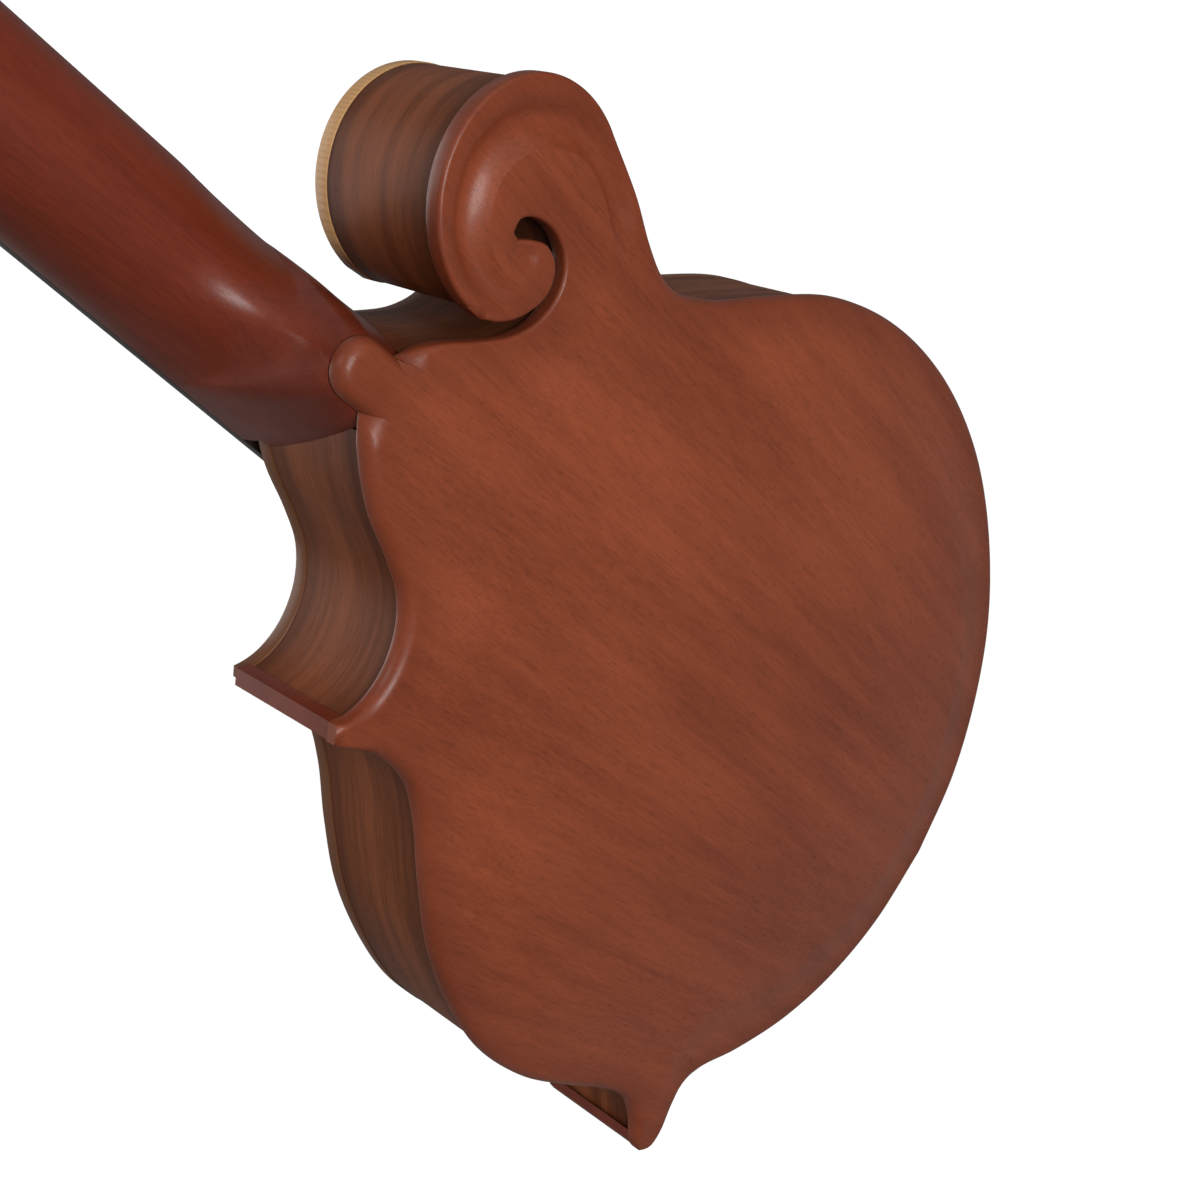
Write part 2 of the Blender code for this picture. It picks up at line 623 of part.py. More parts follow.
class Body:
    """The sound box: two carved plates, ribs, blocks, linings and tone bars."""

    def __init__(self):
        self.runs = stretches()
        names = ("bass", "curl", "slot", "heel", "cutaway", "waist", "tail")
        self.outline = join_runs(self.runs, names)
        with_button = dict(self.runs, heel=button(self.runs))
        self.back_outline = join_runs(with_button, names)
        self.back_arch = Arching(self.outline, BACK_ARCH)
        self.top_arch = Arching(self.outline, TOP_ARCH)
        self.place = body_frame()
        self.rib_low = PLATE_EDGE + CLEAR
        self.rib_high = BODY_DEPTH - PLATE_EDGE - CLEAR

    def build(self):
        """Add every piece of the box."""
        self.plates()
        self.ribs()
        self.blocks()
        self.linings()
        self.tone_bars()

    def seeds(self, spacing, loops, rings, carved=False):
        """Points that carry a plate's curved faces: rows beside its edge and a loose grid."""
        found = []
        for reach, thin in rings:
            row = np.vstack([shifted(run, reach)[::thin] for run in self.runs.values()])
            near = to_loop(row, self.outline)
            found.append(row[np.logical_and(near > reach * 0.9, inside(row, self.outline))])
        if carved:
            ridge = smooth_through(scaled(RIDGE), SCROLL_STEP)
            for side in (-0.0018, -0.0001, 0.0035, 0.0075):
                row = ridge + (shifted(ridge, -side) - ridge)
                found.append(row[to_loop(row, self.outline) > 0.0024])
        low, high = self.outline.min(axis=0), self.outline.max(axis=0)
        across = np.arange(low[0], high[0], spacing)
        up = np.arange(low[1], high[1], spacing * 0.87)
        grid = np.array([(x + (k % 2) * spacing / 2, y) for k, y in enumerate(up) for x in across])
        deep = rings[-1][0] + spacing * 0.5
        found.append(grid[np.logical_and(inside(grid, self.outline), to_loop(grid, self.outline) > deep)])
        points = np.vstack(found)
        for loop in loops:
            points = points[to_loop(points, loop) > 0.0012]
        return thinned(points, 0.0016)

    def back_outer(self, points):
        """Depth of the back's outer face."""
        return self.back_arch.round_over(points) + scroll_carving(points) - self.back_arch.rise(points, 0.0)

    def back_inner(self, points):
        """Depth of the back's inner face."""
        level = PLATE_EDGE - (PLATE_EDGE - PLATE_MIDDLE) * self.back_arch.dome(points)
        return level - self.back_arch.rise(points, GLUE_EDGE)

    def top_outer(self, points):
        """Depth of the soundboard's outer face."""
        fall = self.top_arch.round_over(points)
        return BODY_DEPTH + self.top_arch.rise(points, 0.0) - fall

    def top_inner(self, points):
        """Depth of the soundboard's inner face."""
        level = PLATE_EDGE - (PLATE_EDGE - PLATE_MIDDLE) * self.top_arch.dome(points)
        return BODY_DEPTH - level + self.top_arch.rise(points, GLUE_EDGE)

    def f_holes(self):
        """The two sound holes."""
        right = smooth_through(scaled(F_HOLE + F_HOLE[:1]), 0.007)[:-1]
        return [right, (right * np.array([-1.0, 1.0]))[::-1]]

    def plates(self):
        """The carved back with its scroll and button, and the soundboard."""
        loops = [self.back_outline]
        outer = self.seeds(0.021, loops, ((0.0009, 1), (EDGE_ROUND, 2), (0.013, 3)), carved=True)
        inner = self.seeds(0.024, loops, ((GLUE_EDGE, 3), (0.026, 4)))
        verts, faces = sheet_solid(loops, outer, self.back_outer, inner, self.back_inner)
        add_piece("back_plate", (verts, faces), ("back_wood", BACK_WOOD), self.place)
        loops = [self.outline] + self.f_holes()
        outer = self.seeds(0.021, loops, ((0.0009, 1), (EDGE_ROUND, 2), (0.013, 3)))
        inner = self.seeds(0.024, loops, ((GLUE_EDGE, 3), (0.026, 4)))
        glued = np.vstack([np.vstack(bar_sections(bar)) for bar in TONE_BARS.values()])
        apart = np.linalg.norm(inner[:, None] - glued[None], axis=2).min(axis=1) > 0.008
        inner = np.vstack([inner[apart], glued])
        verts, faces = sheet_solid(loops, outer, self.top_outer, inner, self.top_inner)
        add_piece("top_plate", (verts, faces), ("top_wood", TOP_WOOD), self.place)

    def ribs(self):
        """The bent sides, each between two corners of the outline."""
        plans = {
            "bass_rib": self.bass_rib_plan(),
            "cutaway_rib": self.side_plan("cutaway"),
            "treble_rib": self.side_plan("waist"),
            "lower_rib": self.side_plan("tail"),
        }
        for name, plan in plans.items():
            solid = slab([plan], self.rib_low, self.rib_high)
            cuts = self.tail_holes(CLEAR) if name in ("bass_rib", "lower_rib") else ()
            mesh = shaped(solid, cuts=cuts)
            add_piece(name, mesh, ("rib_wood", RIB_WOOD), self.place)

    def side_plan(self, name):
        """A rib between two corners, cut back so that it clears the next rib."""
        run = self.runs[name]
        others = np.vstack([line for key, line in self.runs.items() if key != name])
        lines = []
        for reach in (OVERHANG, OVERHANG + RIB_WALL):
            line = inset(dense(run), reach, self.outline)
            far = np.linalg.norm(line[:, None] - others[None], axis=2).min(axis=1)
            line = line[far > reach + CLEAR]
            if name == "tail":
                seam = np.array([CLEAR / 2, tail_end() + reach])
                line = np.vstack([line[line[:, 0] > 0.004], seam])
            lines.append(coarse(line, RIB_STEP))
        return np.vstack([lines[0], lines[1][::-1]])

    def bass_rib_plan(self):
        """The long rib from the tail up the bass side and round the scroll to the curl's tip."""
        run = np.vstack([self.runs["bass"], self.runs["curl"][:-3]])
        lines = []
        for reach in (OVERHANG, OVERHANG + RIB_WALL):
            line = inset(run, reach, self.outline, trim=0.96)
            line = line[line[:, 0] < -0.004]
            seam = np.array([-CLEAR / 2, tail_end() + reach])
            lines.append(np.vstack([seam, line]))
        return np.vstack([lines[0], lines[1][::-1]])

    def core(self):
        """The plan inside the ribs, which the blocks fill in part."""
        skin = OVERHANG + RIB_WALL + 2 * CLEAR
        lines = []
        for name, run in self.runs.items():
            reach = OVERHANG if name in ("slot", "heel") else skin
            if name == "curl":
                run = run[:-3]
            lines.append(inset(dense(run), reach, self.outline, trim=0.99))
        return untangled(np.vstack(lines))

    def blocks(self):
        """The wood blocks inside the corners, the neck joint, the tail and the scroll."""
        core = slab([self.core()], self.rib_low, self.rib_high)
        low, high = self.rib_low - 0.01, self.rib_high + 0.01
        split, base = scaled([BLOCK_SPLIT])[0]
        neck_side = slab([self.neck_side(split + CLEAR, base)], low, high)
        mesh = shaped(core, keep=[neck_side], cuts=[self.tenon(CLEAR)])
        add_piece("neck_block", mesh, ("block_wood", INNER_WOOD), self.place)
        upper = box((-BODY_WIDTH, base, low), (0.0, base + BODY_WIDTH, high))
        rest = slab([self.neck_side(split, base - 0.01)], low - 0.01, high + 0.01)
        mesh = shaped(core, keep=[upper], cuts=[rest])
        add_piece("scroll_block", mesh, ("block_wood", INNER_WOOD), self.place)
        for name, (left, foot, right, head) in self.block_areas().items():
            cuts = self.tail_holes(CLEAR) if name == "tail_block" else ()
            region = box((left, foot, low), (right, head, high))
            mesh = shaped(core, keep=[region], cuts=cuts)
            add_piece(name, mesh, ("block_wood", INNER_WOOD), self.place)

    def block_areas(self):
        """The plan areas of the small blocks: left, foot, right and head."""
        upper, lower = scaled([UPPER_TIP, LOWER_TIP])
        half = TAIL_BLOCK_WIDTH / 2
        return {
            "upper_point_block": (upper[0] - 0.012, upper[1] - 0.026, upper[0] + 0.02, upper[1] + 0.02),
            "lower_point_block": (lower[0] - 0.022, lower[1] - 0.020, lower[0] + 0.02, lower[1] + 0.02),
            "tail_block": (-half, tail_end() - 0.01, half, tail_end() + TAIL_BLOCK_DEPTH),
        }

    def neck_side(self, split, base):
        """The plan area of the neck block: below the scroll's slot and beside the joint."""
        slot = shifted(self.runs["slot"], -0.0008)
        slot = slot[np.logical_and(slot[:, 0] > split, slot[:, 1] < self.runs["heel"][0][1])]
        beside = self.runs["slot"][-1][1]
        slot = slot[slot[:, 1] < beside]
        half = NECK_BLOCK_WIDTH / 2
        above = self.runs["heel"][0][1] + 0.01
        corners = [(-half * 0.5, above), (half, above), (half, base), (split, base), (split, slot[0][1])]
        return np.vstack([slot, corners])

    def tenon(self, gap):
        """The neck's tenon, or with a gap the mortise for it, in plan coordinates."""
        joint = joint_height()
        low = (-TENON_WIDTH / 2 - gap, joint - TENON_LENGTH - gap, PLATE_EDGE + 0.006 - gap)
        return box(low, (TENON_WIDTH / 2 + gap, joint + 0.008, BODY_DEPTH - PLATE_EDGE - 0.004 + gap))

    def tail_holes(self, gap):
        """Clearance for the end pin."""
        return [pin_solid(END_PIN_SHANK + gap, -0.01, END_PIN_DEPTH + 0.001)]

    def linings(self):
        """The strips that widen the gluing edge between ribs and plates."""
        spans = (("bass", "bass"), ("treble", "waist"), ("lower", "tail"))
        for side, low, high in (
            ("back", self.rib_low, self.rib_low + LINING_HEIGHT),
            ("top", self.rib_high - LINING_HEIGHT, self.rib_high),
        ):
            for name, run_name in spans:
                strip = slab([self.lining_plan(run_name)], low, high)
                add_piece(f"{name}_{side}_lining", strip, ("block_wood", INNER_WOOD), self.place)

    def lining_plan(self, name):
        """A lining strip beside one run, between the blocks at its ends."""
        reach = OVERHANG + RIB_WALL + CLEAR
        base = scaled([BLOCK_SPLIT])[0][1]
        lines = []
        for depth in (reach, reach + LINING_WIDTH):
            line = inset(self.runs[name], depth, self.outline)
            keep = line[:, 1] < base - 2 * CLEAR
            for left, foot, right, head in self.block_areas().values():
                beside = np.abs(line[:, 0] - (left + right) / 2) > (right - left) / 2 + LINING_WIDTH
                past = np.abs(line[:, 1] - (foot + head) / 2) > (head - foot) / 2 + LINING_WIDTH / 2
                keep = np.logical_and(keep, np.logical_or(beside, past))
            lines.append(line[keep])
        return np.vstack([lines[0], lines[1][::-1]])

    def tone_bars(self):
        """Two long bars glued under the soundboard."""
        for name, bar in TONE_BARS.items():
            rings = []
            sections = bar_sections(bar)
            for index, sides in enumerate(sections):
                top = self.top_inner(sides) - 1.5 * CLEAR
                share = index / (len(sections) - 1)
                deep = TONE_BAR_ENDS + TONE_BAR_DEPTH * math.sin(math.pi * share) ** 0.7
                (x0, y0), (x1, y1) = sides
                low = top.min() - deep
                rings.append([(x0, y0, low), (x1, y1, low), (x1, y1, top[1]), (x0, y0, top[0])])
            add_piece(name, loft(rings), ("block_wood", INNER_WOOD), self.place)


def bar_sections(bar):
    """The two edges of a tone bar at each of its sections, from its foot up."""
    foot, head = scaled(bar)
    half = np.array([TONE_BAR_WIDTH / 2, 0.0])
    middles = [foot * (1 - share) + head * share for share in np.linspace(0.0, 1.0, 9)]
    return [np.array([middle - half, middle + half]) for middle in middles]


def thinned(points, gap):
    """The points without those closer than a gap to one before them."""
    kept = []
    for point in points:
        if not kept or np.linalg.norm(np.array(kept) - point, axis=1).min() > gap:
            kept.append(point)
    return np.array(kept)


def dense(run):
    """A run with three more points on each of its steps."""
    share = np.linspace(0.0, 1.0, 4, endpoint=False)[None, :, None]
    filled = run[:-1, None] * (1 - share) + run[1:, None] * share
    return np.vstack([filled.reshape(-1, 2), run[-1:]])


def coarse(line, step):
    """A line with its ends kept and about one point every step between them."""
    kept = [line[0]]
    for point in line[1:-1]:
        near_end = np.linalg.norm(point - line[-1]) < step * 0.5
        if np.linalg.norm(point - kept[-1]) >= step * 0.7 and not near_end:
            kept.append(point)
    kept.append(line[-1])
    return np.array(kept)


def along_y(x, depth, radius, start, end, sides=8):
    """A cylinder along the plan's y axis."""
    rings = []
    for y in (start, end):
        rings.append([(x + px, y, depth + pz) for px, pz in circle((0, 0), radius, sides)])
    return loft(rings)


def pin_solid(radius, start, end):
    """A cylinder on the end pin's axis."""
    return along_y(0.0, BODY_DEPTH / 2, radius, start, end, 12)


class Neck:
    """The neck with its heel and headstock, the fretboard and what is fixed to them."""

    def __init__(self, body):
        self.body = body
        self.plan = body_frame()
        self.place = neck_frame()
        self.head = head_frame()
        self.joint = joint_height()
        self.slope = math.tan(math.radians(NECK_SLOPE_DEG))
        self.nut_end = nut_reach() + NUT_LENGTH
        self.board_top = CLEAR + BOARD_THICKNESS
        self.face = CLEAR + VENEER_THICKNESS

    def build(self):
        """Add the neck and every piece fixed to it."""
        self.wood()
        self.riser()
        self.truss_rod()
        self.board()
        self.nut()
        self.veneer()
        self.cover()

    def half_width(self, s):
        """Half the fretboard's width at a distance from the joint."""
        return (JOINT_WIDTH + (NUT_WIDTH - JOINT_WIDTH) * s / nut_reach()) / 2

    def top_depth(self, y):
        """Plan depth of the gluing plane at a plan height."""
        return BODY_DEPTH + NECK_LIFT - (y - self.joint) * self.slope

    def button_half(self, y):
        """Half the heel's width at its back, at a plan height."""
        centre = HEEL_CHORD[0][1] * BODY_LENGTH / DRAWN_LENGTH + BUTTON_REACH
        above = max(0.0, y - centre)
        round_end = math.sqrt(max(BUTTON_RADIUS ** 2 - above ** 2, 0.0003 ** 2))
        flare = max(0.0, 1.0 - (y - self.joint) / (centre - self.joint)) ** 2
        return round_end + (HEEL_CHEEK - BUTTON_RADIUS) * min(flare, 1.6)

    def ring(self, y):
        """The neck's cross-section at a plan height: flat gluing face, round or heel-shaped back."""
        s = y - self.joint
        centre = HEEL_CHORD[0][1] * BODY_LENGTH / DRAWN_LENGTH + BUTTON_REACH
        cap = centre + BUTTON_RADIUS - 0.0002 - self.joint
        share = min(max((s - cap) / (nut_reach() - cap), 0.0), 1.0)
        plain = NECK_DEPTH_AT_HEEL + (NECK_DEPTH - NECK_DEPTH_AT_HEEL) * share
        full = self.top_depth(y) - PLATE_EDGE - CLEAR
        sweep = min(max((HEEL_LENGTH - s) / (HEEL_LENGTH - cap), 0.0), 1.0)
        depth = plain + (full - plain) * (1.0 - math.sqrt(1.0 - sweep * sweep))
        heel = float(smooth_step((HEEL_LENGTH + 0.006 - s) / (HEEL_LENGTH - cap + 0.010)))
        half = self.half_width(s)
        back = self.button_half(y)
        side = []
        for index in range(8):
            fall = math.sin(math.pi / 2 * index / 7)
            round_x = half * math.cos(math.pi / 2 * index / 7) ** 0.9
            heel_x = back + (half - back) * (1.0 - fall) ** 2
            x = max(round_x * (1.0 - heel) + heel_x * heel, 0.0003)
            side.append((x, self.top_depth(y) - depth * fall))
        return [(x, y, z) for x, z in side] + [(-x, y, z) for x, z in reversed(side)]

    def head_ring(self, s, low, high, half):
        """A rectangle across the headstock, with as many points as the neck's sections."""
        step = self.plan.inverted() @ self.head
        side = [(half, high + (low - high) * index / 7) for index in range(8)]
        points = [(x, s, n) for x, n in side] + [(-x, s, n) for x, n in reversed(side)]
        return [tuple(step @ Vector(point)) for point in points]

    def nose(self, reach, low, high):
        """The body's front at the neck joint, moved in by a reach, as a cutter."""
        runs = self.body.runs
        line = np.vstack([runs["slot"][-7:], runs["heel"], runs["cutaway"][:5]])
        line = shifted(line, reach)
        middle = line.mean(axis=0) - np.array([0.0, 0.09])
        return slab([np.vstack([line, middle])], low, high)

    def wood(self):
        """Neck, heel, tenon and headstock from one piece of wood."""
        shares = (-0.0130, -0.0080, -0.0040, 0.0, 0.0035, 0.0070, 0.0100, 0.0125, 0.0142, 0.0152,
                  0.0165, 0.0190, 0.0230, 0.0280, 0.0340, 0.0410, 0.0500, 0.0900, 0.1400)
        rings = [self.ring(self.joint + s) for s in shares]
        step = self.plan.inverted() @ self.place
        for s in (nut_reach(), self.nut_end):
            rings.append(self.ring((step @ Vector((0, s, 0)))[1]))
        rings.append(self.head_ring(0.006, -HEAD_THICKNESS + 0.0008, -0.0008, 0.0135))
        to_plan = self.plan.inverted() @ self.head
        head = moved(slab(self.head_loops(), -HEAD_THICKNESS, 0.0), to_plan)
        top = BODY_DEPTH + 0.03
        channel = box((-TRUSS_ROD_RADIUS - CLEAR, 0.002, -TRUSS_ROD_DEPTH - TRUSS_ROD_RADIUS - CLEAR),
                      (TRUSS_ROD_RADIUS + CLEAR, self.nut_end + 0.006, 0.012))
        reach = TRUSS_NUT_RADIUS + 2 * CLEAR
        pocket = box((-reach, self.nut_end + 0.0018, -TRUSS_ROD_DEPTH - reach),
                     (reach, self.nut_end + 0.0150, 0.008))
        cuts = [
            self.nose(OVERHANG - CLEAR, PLATE_EDGE - 0.002, top),
            self.nose(-CLEAR, BODY_DEPTH - PLATE_EDGE - CLEAR, top),
            moved(channel, step),
            moved(pocket, step),
        ]
        mesh = shaped(loft(rings), joins=[head], cuts=cuts)
        mesh = shaped(mesh, joins=[self.body.tenon(0.0)])
        add_piece("neck", mesh, ("neck_wood", NECK_WOOD), self.plan)

    def head_loops(self):
        """The headstock's outline and its post holes."""
        outline = smooth_through(HEAD_OUTLINE, 0.009)
        holes = [circle(spot, BUSHING_RADIUS + CLEAR, 10)[::-1] for spot in post_spots()]
        return [outline] + holes

    def riser(self):
        """The extension block between the soundboard and the fretboard's end."""
        half = RISER_WIDTH / 2
        foot = self.joint - RISER_LENGTH * BODY_LENGTH / DRAWN_LENGTH
        corners = np.array([(-half, foot), (half, foot), (half, self.joint - 0.0050),
                            (half * 0.6, self.joint), (-half * 0.6, self.joint),
                            (-half, self.joint - 0.0050)])
        loop = dense(np.vstack([corners, corners[:1]]))[:-1]
        points = np.array([(0.0, foot + (self.joint - foot) * share) for share in (0.15, 0.37, 0.60, 0.83)])
        solid = sheet_solid(
            [loop], points, lambda p: self.top_depth(p[:, 1]) - CLEAR,
            points, lambda p: self.body.top_outer(p) + CLEAR)
        add_piece("fretboard_riser", solid, ("neck_wood", NECK_WOOD), self.plan)

    def truss_rod(self):
        """The steel rod in its channel and the nut that tightens it."""
        along = Matrix.Translation((0, 0, -TRUSS_ROD_DEPTH)) @ Matrix.Rotation(-math.pi / 2, 4, "X")
        rod = turned(((TRUSS_ROD_RADIUS, 0.004), (TRUSS_ROD_RADIUS, self.nut_end + 0.0125)), 8)
        add_piece("truss_rod", rod, ("steel", STEEL), self.place @ along)
        start = self.nut_end + 0.0032
        inner = TRUSS_ROD_RADIUS + CLEAR
        nut = ring_solid(((TRUSS_NUT_RADIUS, 0.0), (TRUSS_NUT_RADIUS, TRUSS_NUT_LENGTH),
                          (inner, TRUSS_NUT_LENGTH), (inner, 0.0)), 12)
        seat = self.place @ along @ Matrix.Translation((0, 0, start))
        add_piece("truss_rod_nut", nut, ("brass", BRASS), seat)

    def board(self):
        """The fretboard from the nut to its end over the soundboard, with its pressed-in frets."""
        foot = nut_reach() - fret_distance(FRET_COUNT) - 0.006
        head = nut_reach() - CLEAR
        corners = [(-self.half_width(foot), foot), (self.half_width(foot), foot),
                   (self.half_width(head), head), (-self.half_width(head), head)]
        wires = []
        for number in range(1, FRET_COUNT + 1):
            s = nut_reach() - fret_distance(number)
            half = self.half_width(s) - FRET_WIDTH / 4
            wires.append(box((-half, s - FRET_WIDTH / 2, self.board_top - FRET_HEIGHT),
                             (half, s + FRET_WIDTH / 2, self.board_top + FRET_HEIGHT)))
        mesh = shaped(slab([np.array(corners)], CLEAR, self.board_top), joins=[merge(*wires)])
        add_piece("fretboard", mesh, ("dark_wood", DARK_WOOD), self.place)

    def string_plane(self, s):
        """Height of the strings' centres over the gluing plane at a distance from the joint."""
        fret_top = self.board_top + FRET_HEIGHT
        share = (nut_reach() - s) / SCALE_LENGTH
        return fret_top + STRING_HEIGHT_NUT + (STRING_HEIGHT_BRIDGE - STRING_HEIGHT_NUT) * share

    def nut(self):
        """The string nut between fretboard and headstock."""
        half = self.half_width(nut_reach())
        high = self.string_plane(nut_reach()) - max(STRING_RADII.values()) - CLEAR
        add_piece("nut", box((-half, nut_reach(), CLEAR), (half, self.nut_end, high)),
                  ("bone", BONE), self.place)

    def veneer(self):
        """The dark face of the headstock, open over the truss rod's pocket."""
        loops = self.head_loops()
        reach = TRUSS_NUT_RADIUS + 2 * CLEAR
        loops.append(np.array([(-reach, 0.0012), (-reach, 0.0165), (reach, 0.0165), (reach, 0.0012)]))
        add_piece("headstock_veneer", slab(loops, CLEAR, self.face), ("dark_wood", DARK_WOOD), self.head)

    def cover(self):
        """The plate over the truss rod's pocket."""
        half = COVER_WIDTH / 2
        outline = smooth_through(
            ((half * 0.95, 0.0012), (half, 0.0060), (half * 0.80, 0.0140), (half * 0.42, 0.0220),
             (half * 0.36, 0.0260), (0.0, COVER_LENGTH), (-half * 0.36, 0.0260), (-half * 0.42, 0.0220),
             (-half * 0.80, 0.0140), (-half, 0.0060), (-half * 0.95, 0.0012)), 0.005)
        low = self.face + CLEAR
        add_piece("truss_rod_cover", slab([outline], low, low + COVER_THICKNESS),
                  ("black_plastic", BLACK_PLASTIC), self.head)


def ring_solid(profile, sides):
    """A closed ring turned about the local Z axis from a closed profile of radius and height."""
    count = len(profile)
    verts, faces = [], []
    for radius, height in profile:
        verts += [(x, y, height) for x, y in circle((0, 0), radius, sides)]
    for row in range(count):
        following = (row + 1) % count
        for i in range(sides):
            j = (i + 1) % sides
            faces.append((row * sides + i, row * sides + j, following * sides + j, following * sides + i))
    return verts, faces


def post_spots():
    """Where the string posts stand, bass side first, each side from the nut up."""
    return [(side * POST_OFFSET, FIRST_POST + POST_SPACING * index) for side in (-1, 1) for index in range(4)]


def worm_offset():
    """Distance from a post's axis to its worm's axis."""
    return GEAR_RADIUS + WORM_RADIUS + CLEAR


class Tuners:
    """Two plates of four worm tuners on the headstock's back, with their posts and bushings."""

    def __init__(self, neck):
        self.neck = neck
        self.place = neck.head
        self.plate_back = -HEAD_THICKNESS - CLEAR - TUNER_PLATE
        self.axis = self.plate_back - CLEAR - WORM_RADIUS
        self.knob_start = max(abs(x) for x, s in HEAD_OUTLINE if s < 0.11) + KNOB_GAP

    def build(self):
        """Add every piece of the tuners."""
        post = mesh_of("post", self.post())
        post = shaped(post, joins=[self.gear()])
        knob = mesh_of("knob", self.knob())
        for order, (x, s) in enumerate(post_spots()):
            side, number = ("bass", order + 1) if x < 0 else ("treble", order - 3)
            seat = self.place @ Matrix.Translation((x, s, 0.0))
            add_piece(f"{side}_post_{number}", post.copy(), ("nickel", NICKEL), seat)
            turn = Matrix.Rotation(math.pi if x < 0 else 0.0, 4, "Z")
            seat = self.place @ Matrix.Translation((0.0, s - worm_offset(), self.axis)) @ turn
            add_piece(f"{side}_knob_{number}", knob.copy(), ("pearloid", PEARLOID), seat)
        self.plates()

    def post(self):
        """A string post, from below its gear to its top."""
        top = self.neck.face + POST_REACH
        wrap = self.neck.face + POST_STRING_HEIGHT
        return turned(((POST_RADIUS * 0.8, self.axis - GEAR_WIDTH / 2 - 0.0012),
                       (POST_RADIUS, self.axis - GEAR_WIDTH / 2 - 0.0006),
                       (POST_RADIUS, wrap - 0.0022), (POST_RADIUS * 0.84, wrap),
                       (POST_RADIUS, wrap + 0.0022), (POST_RADIUS, top - 0.0008),
                       (POST_RADIUS * 0.7, top)), 10)

    def gear(self):
        """The toothed wheel at a post's foot."""
        outline = []
        for tooth in range(GEAR_TEETH):
            for half, radius in ((0.0, GEAR_RADIUS), (0.5, GEAR_RADIUS - GEAR_TOOTH)):
                angle = 2 * math.pi * (tooth + half) / GEAR_TEETH
                outline.append((radius * math.cos(angle), radius * math.sin(angle)))
        return slab([np.array(outline)], self.axis - GEAR_WIDTH / 2, self.axis + GEAR_WIDTH / 2)

    def knob(self):
        """A worm, its shaft and its button, along the local X axis."""
        middle = POST_OFFSET
        near = middle - WORM_LENGTH / 2
        far = middle + WORM_LENGTH / 2
        start = self.knob_start
        sizes = (
            (near - 3 * CLEAR - BRACKET_WALL, SHAFT_RADIUS, SHAFT_RADIUS), (near, SHAFT_RADIUS, SHAFT_RADIUS),
            (near, WORM_RADIUS, WORM_RADIUS), (far, WORM_RADIUS, WORM_RADIUS),
            (far, SHAFT_RADIUS, SHAFT_RADIUS),
            (start, SHAFT_RADIUS, SHAFT_RADIUS), (start, 0.0026, 0.0026),
            (start + 0.0018, 0.0034, 0.0030),
            (start + KNOB_LENGTH * 0.32, KNOB_WIDTH * 0.42, KNOB_THICKNESS * 0.48),
            (start + KNOB_LENGTH * 0.66, KNOB_WIDTH * 0.50, KNOB_THICKNESS * 0.50),
            (start + KNOB_LENGTH * 0.92, KNOB_WIDTH * 0.36, KNOB_THICKNESS * 0.38),
            (start + KNOB_LENGTH, KNOB_WIDTH * 0.20, KNOB_THICKNESS * 0.22),
        )
        rings = []
        for x, wide, thick in sizes:
            rings.append([(x, wide * px, thick * pz) for px, pz in circle((0, 0), 1.0, 8, 0.5)])
        return loft(rings)

    def plates(self):
        """The two metal plates with the ears that carry their worm shafts."""
        low = FIRST_POST - worm_offset() - WORM_RADIUS - TUNER_PLATE_MARGIN
        high = FIRST_POST + POST_SPACING * 3 + GEAR_RADIUS + TUNER_PLATE_MARGIN
        for side, name in ((-1, "bass"), (1, "treble")):
            near = side * POST_OFFSET - TUNER_PLATE_WIDTH / 2
            far = side * POST_OFFSET + TUNER_PLATE_WIDTH / 2
            corners = np.array([(near, low), (far, low), (far, high), (near, high)])
            spots = [spot for spot in post_spots() if spot[0] * side > 0]
            holes = [circle(spot, POST_RADIUS + CLEAR, 10)[::-1] for spot in spots]
            plate = slab([corners] + holes, self.plate_back, self.plate_back + TUNER_PLATE)
            brackets = []
            for spot in spots:
                brackets += self.brackets(side, spot[1] - worm_offset())
            mesh = shaped(plate, joins=brackets)
            add_piece(f"tuner_plate_{name}", mesh, ("nickel", NICKEL), self.place)

    def brackets(self, side, s):
        """Two ears that carry a worm's shaft."""
        low = self.axis - SHAFT_RADIUS - 0.0016
        high = self.plate_back + TUNER_PLATE * 0.5
        half = SHAFT_RADIUS + 0.0013
        outline = np.array([(s - half, low), (s + half, low), (s + half, high), (s - half, high)])
        hole = circle((s, self.axis), SHAFT_RADIUS + CLEAR, 8, 0.5)[::-1]
        turn = Matrix(((0, 0, 1, 0), (1, 0, 0, 0), (0, 1, 0, 0), (0, 0, 0, 1)))
        made = []
        reach = WORM_LENGTH / 2 + CLEAR
        for edge in (POST_OFFSET - reach - BRACKET_WALL, POST_OFFSET + reach):
            ends = sorted((side * edge, side * (edge + BRACKET_WALL)))
            made.append(moved(slab([outline, hole], ends[0], ends[1]), turn))
        return made


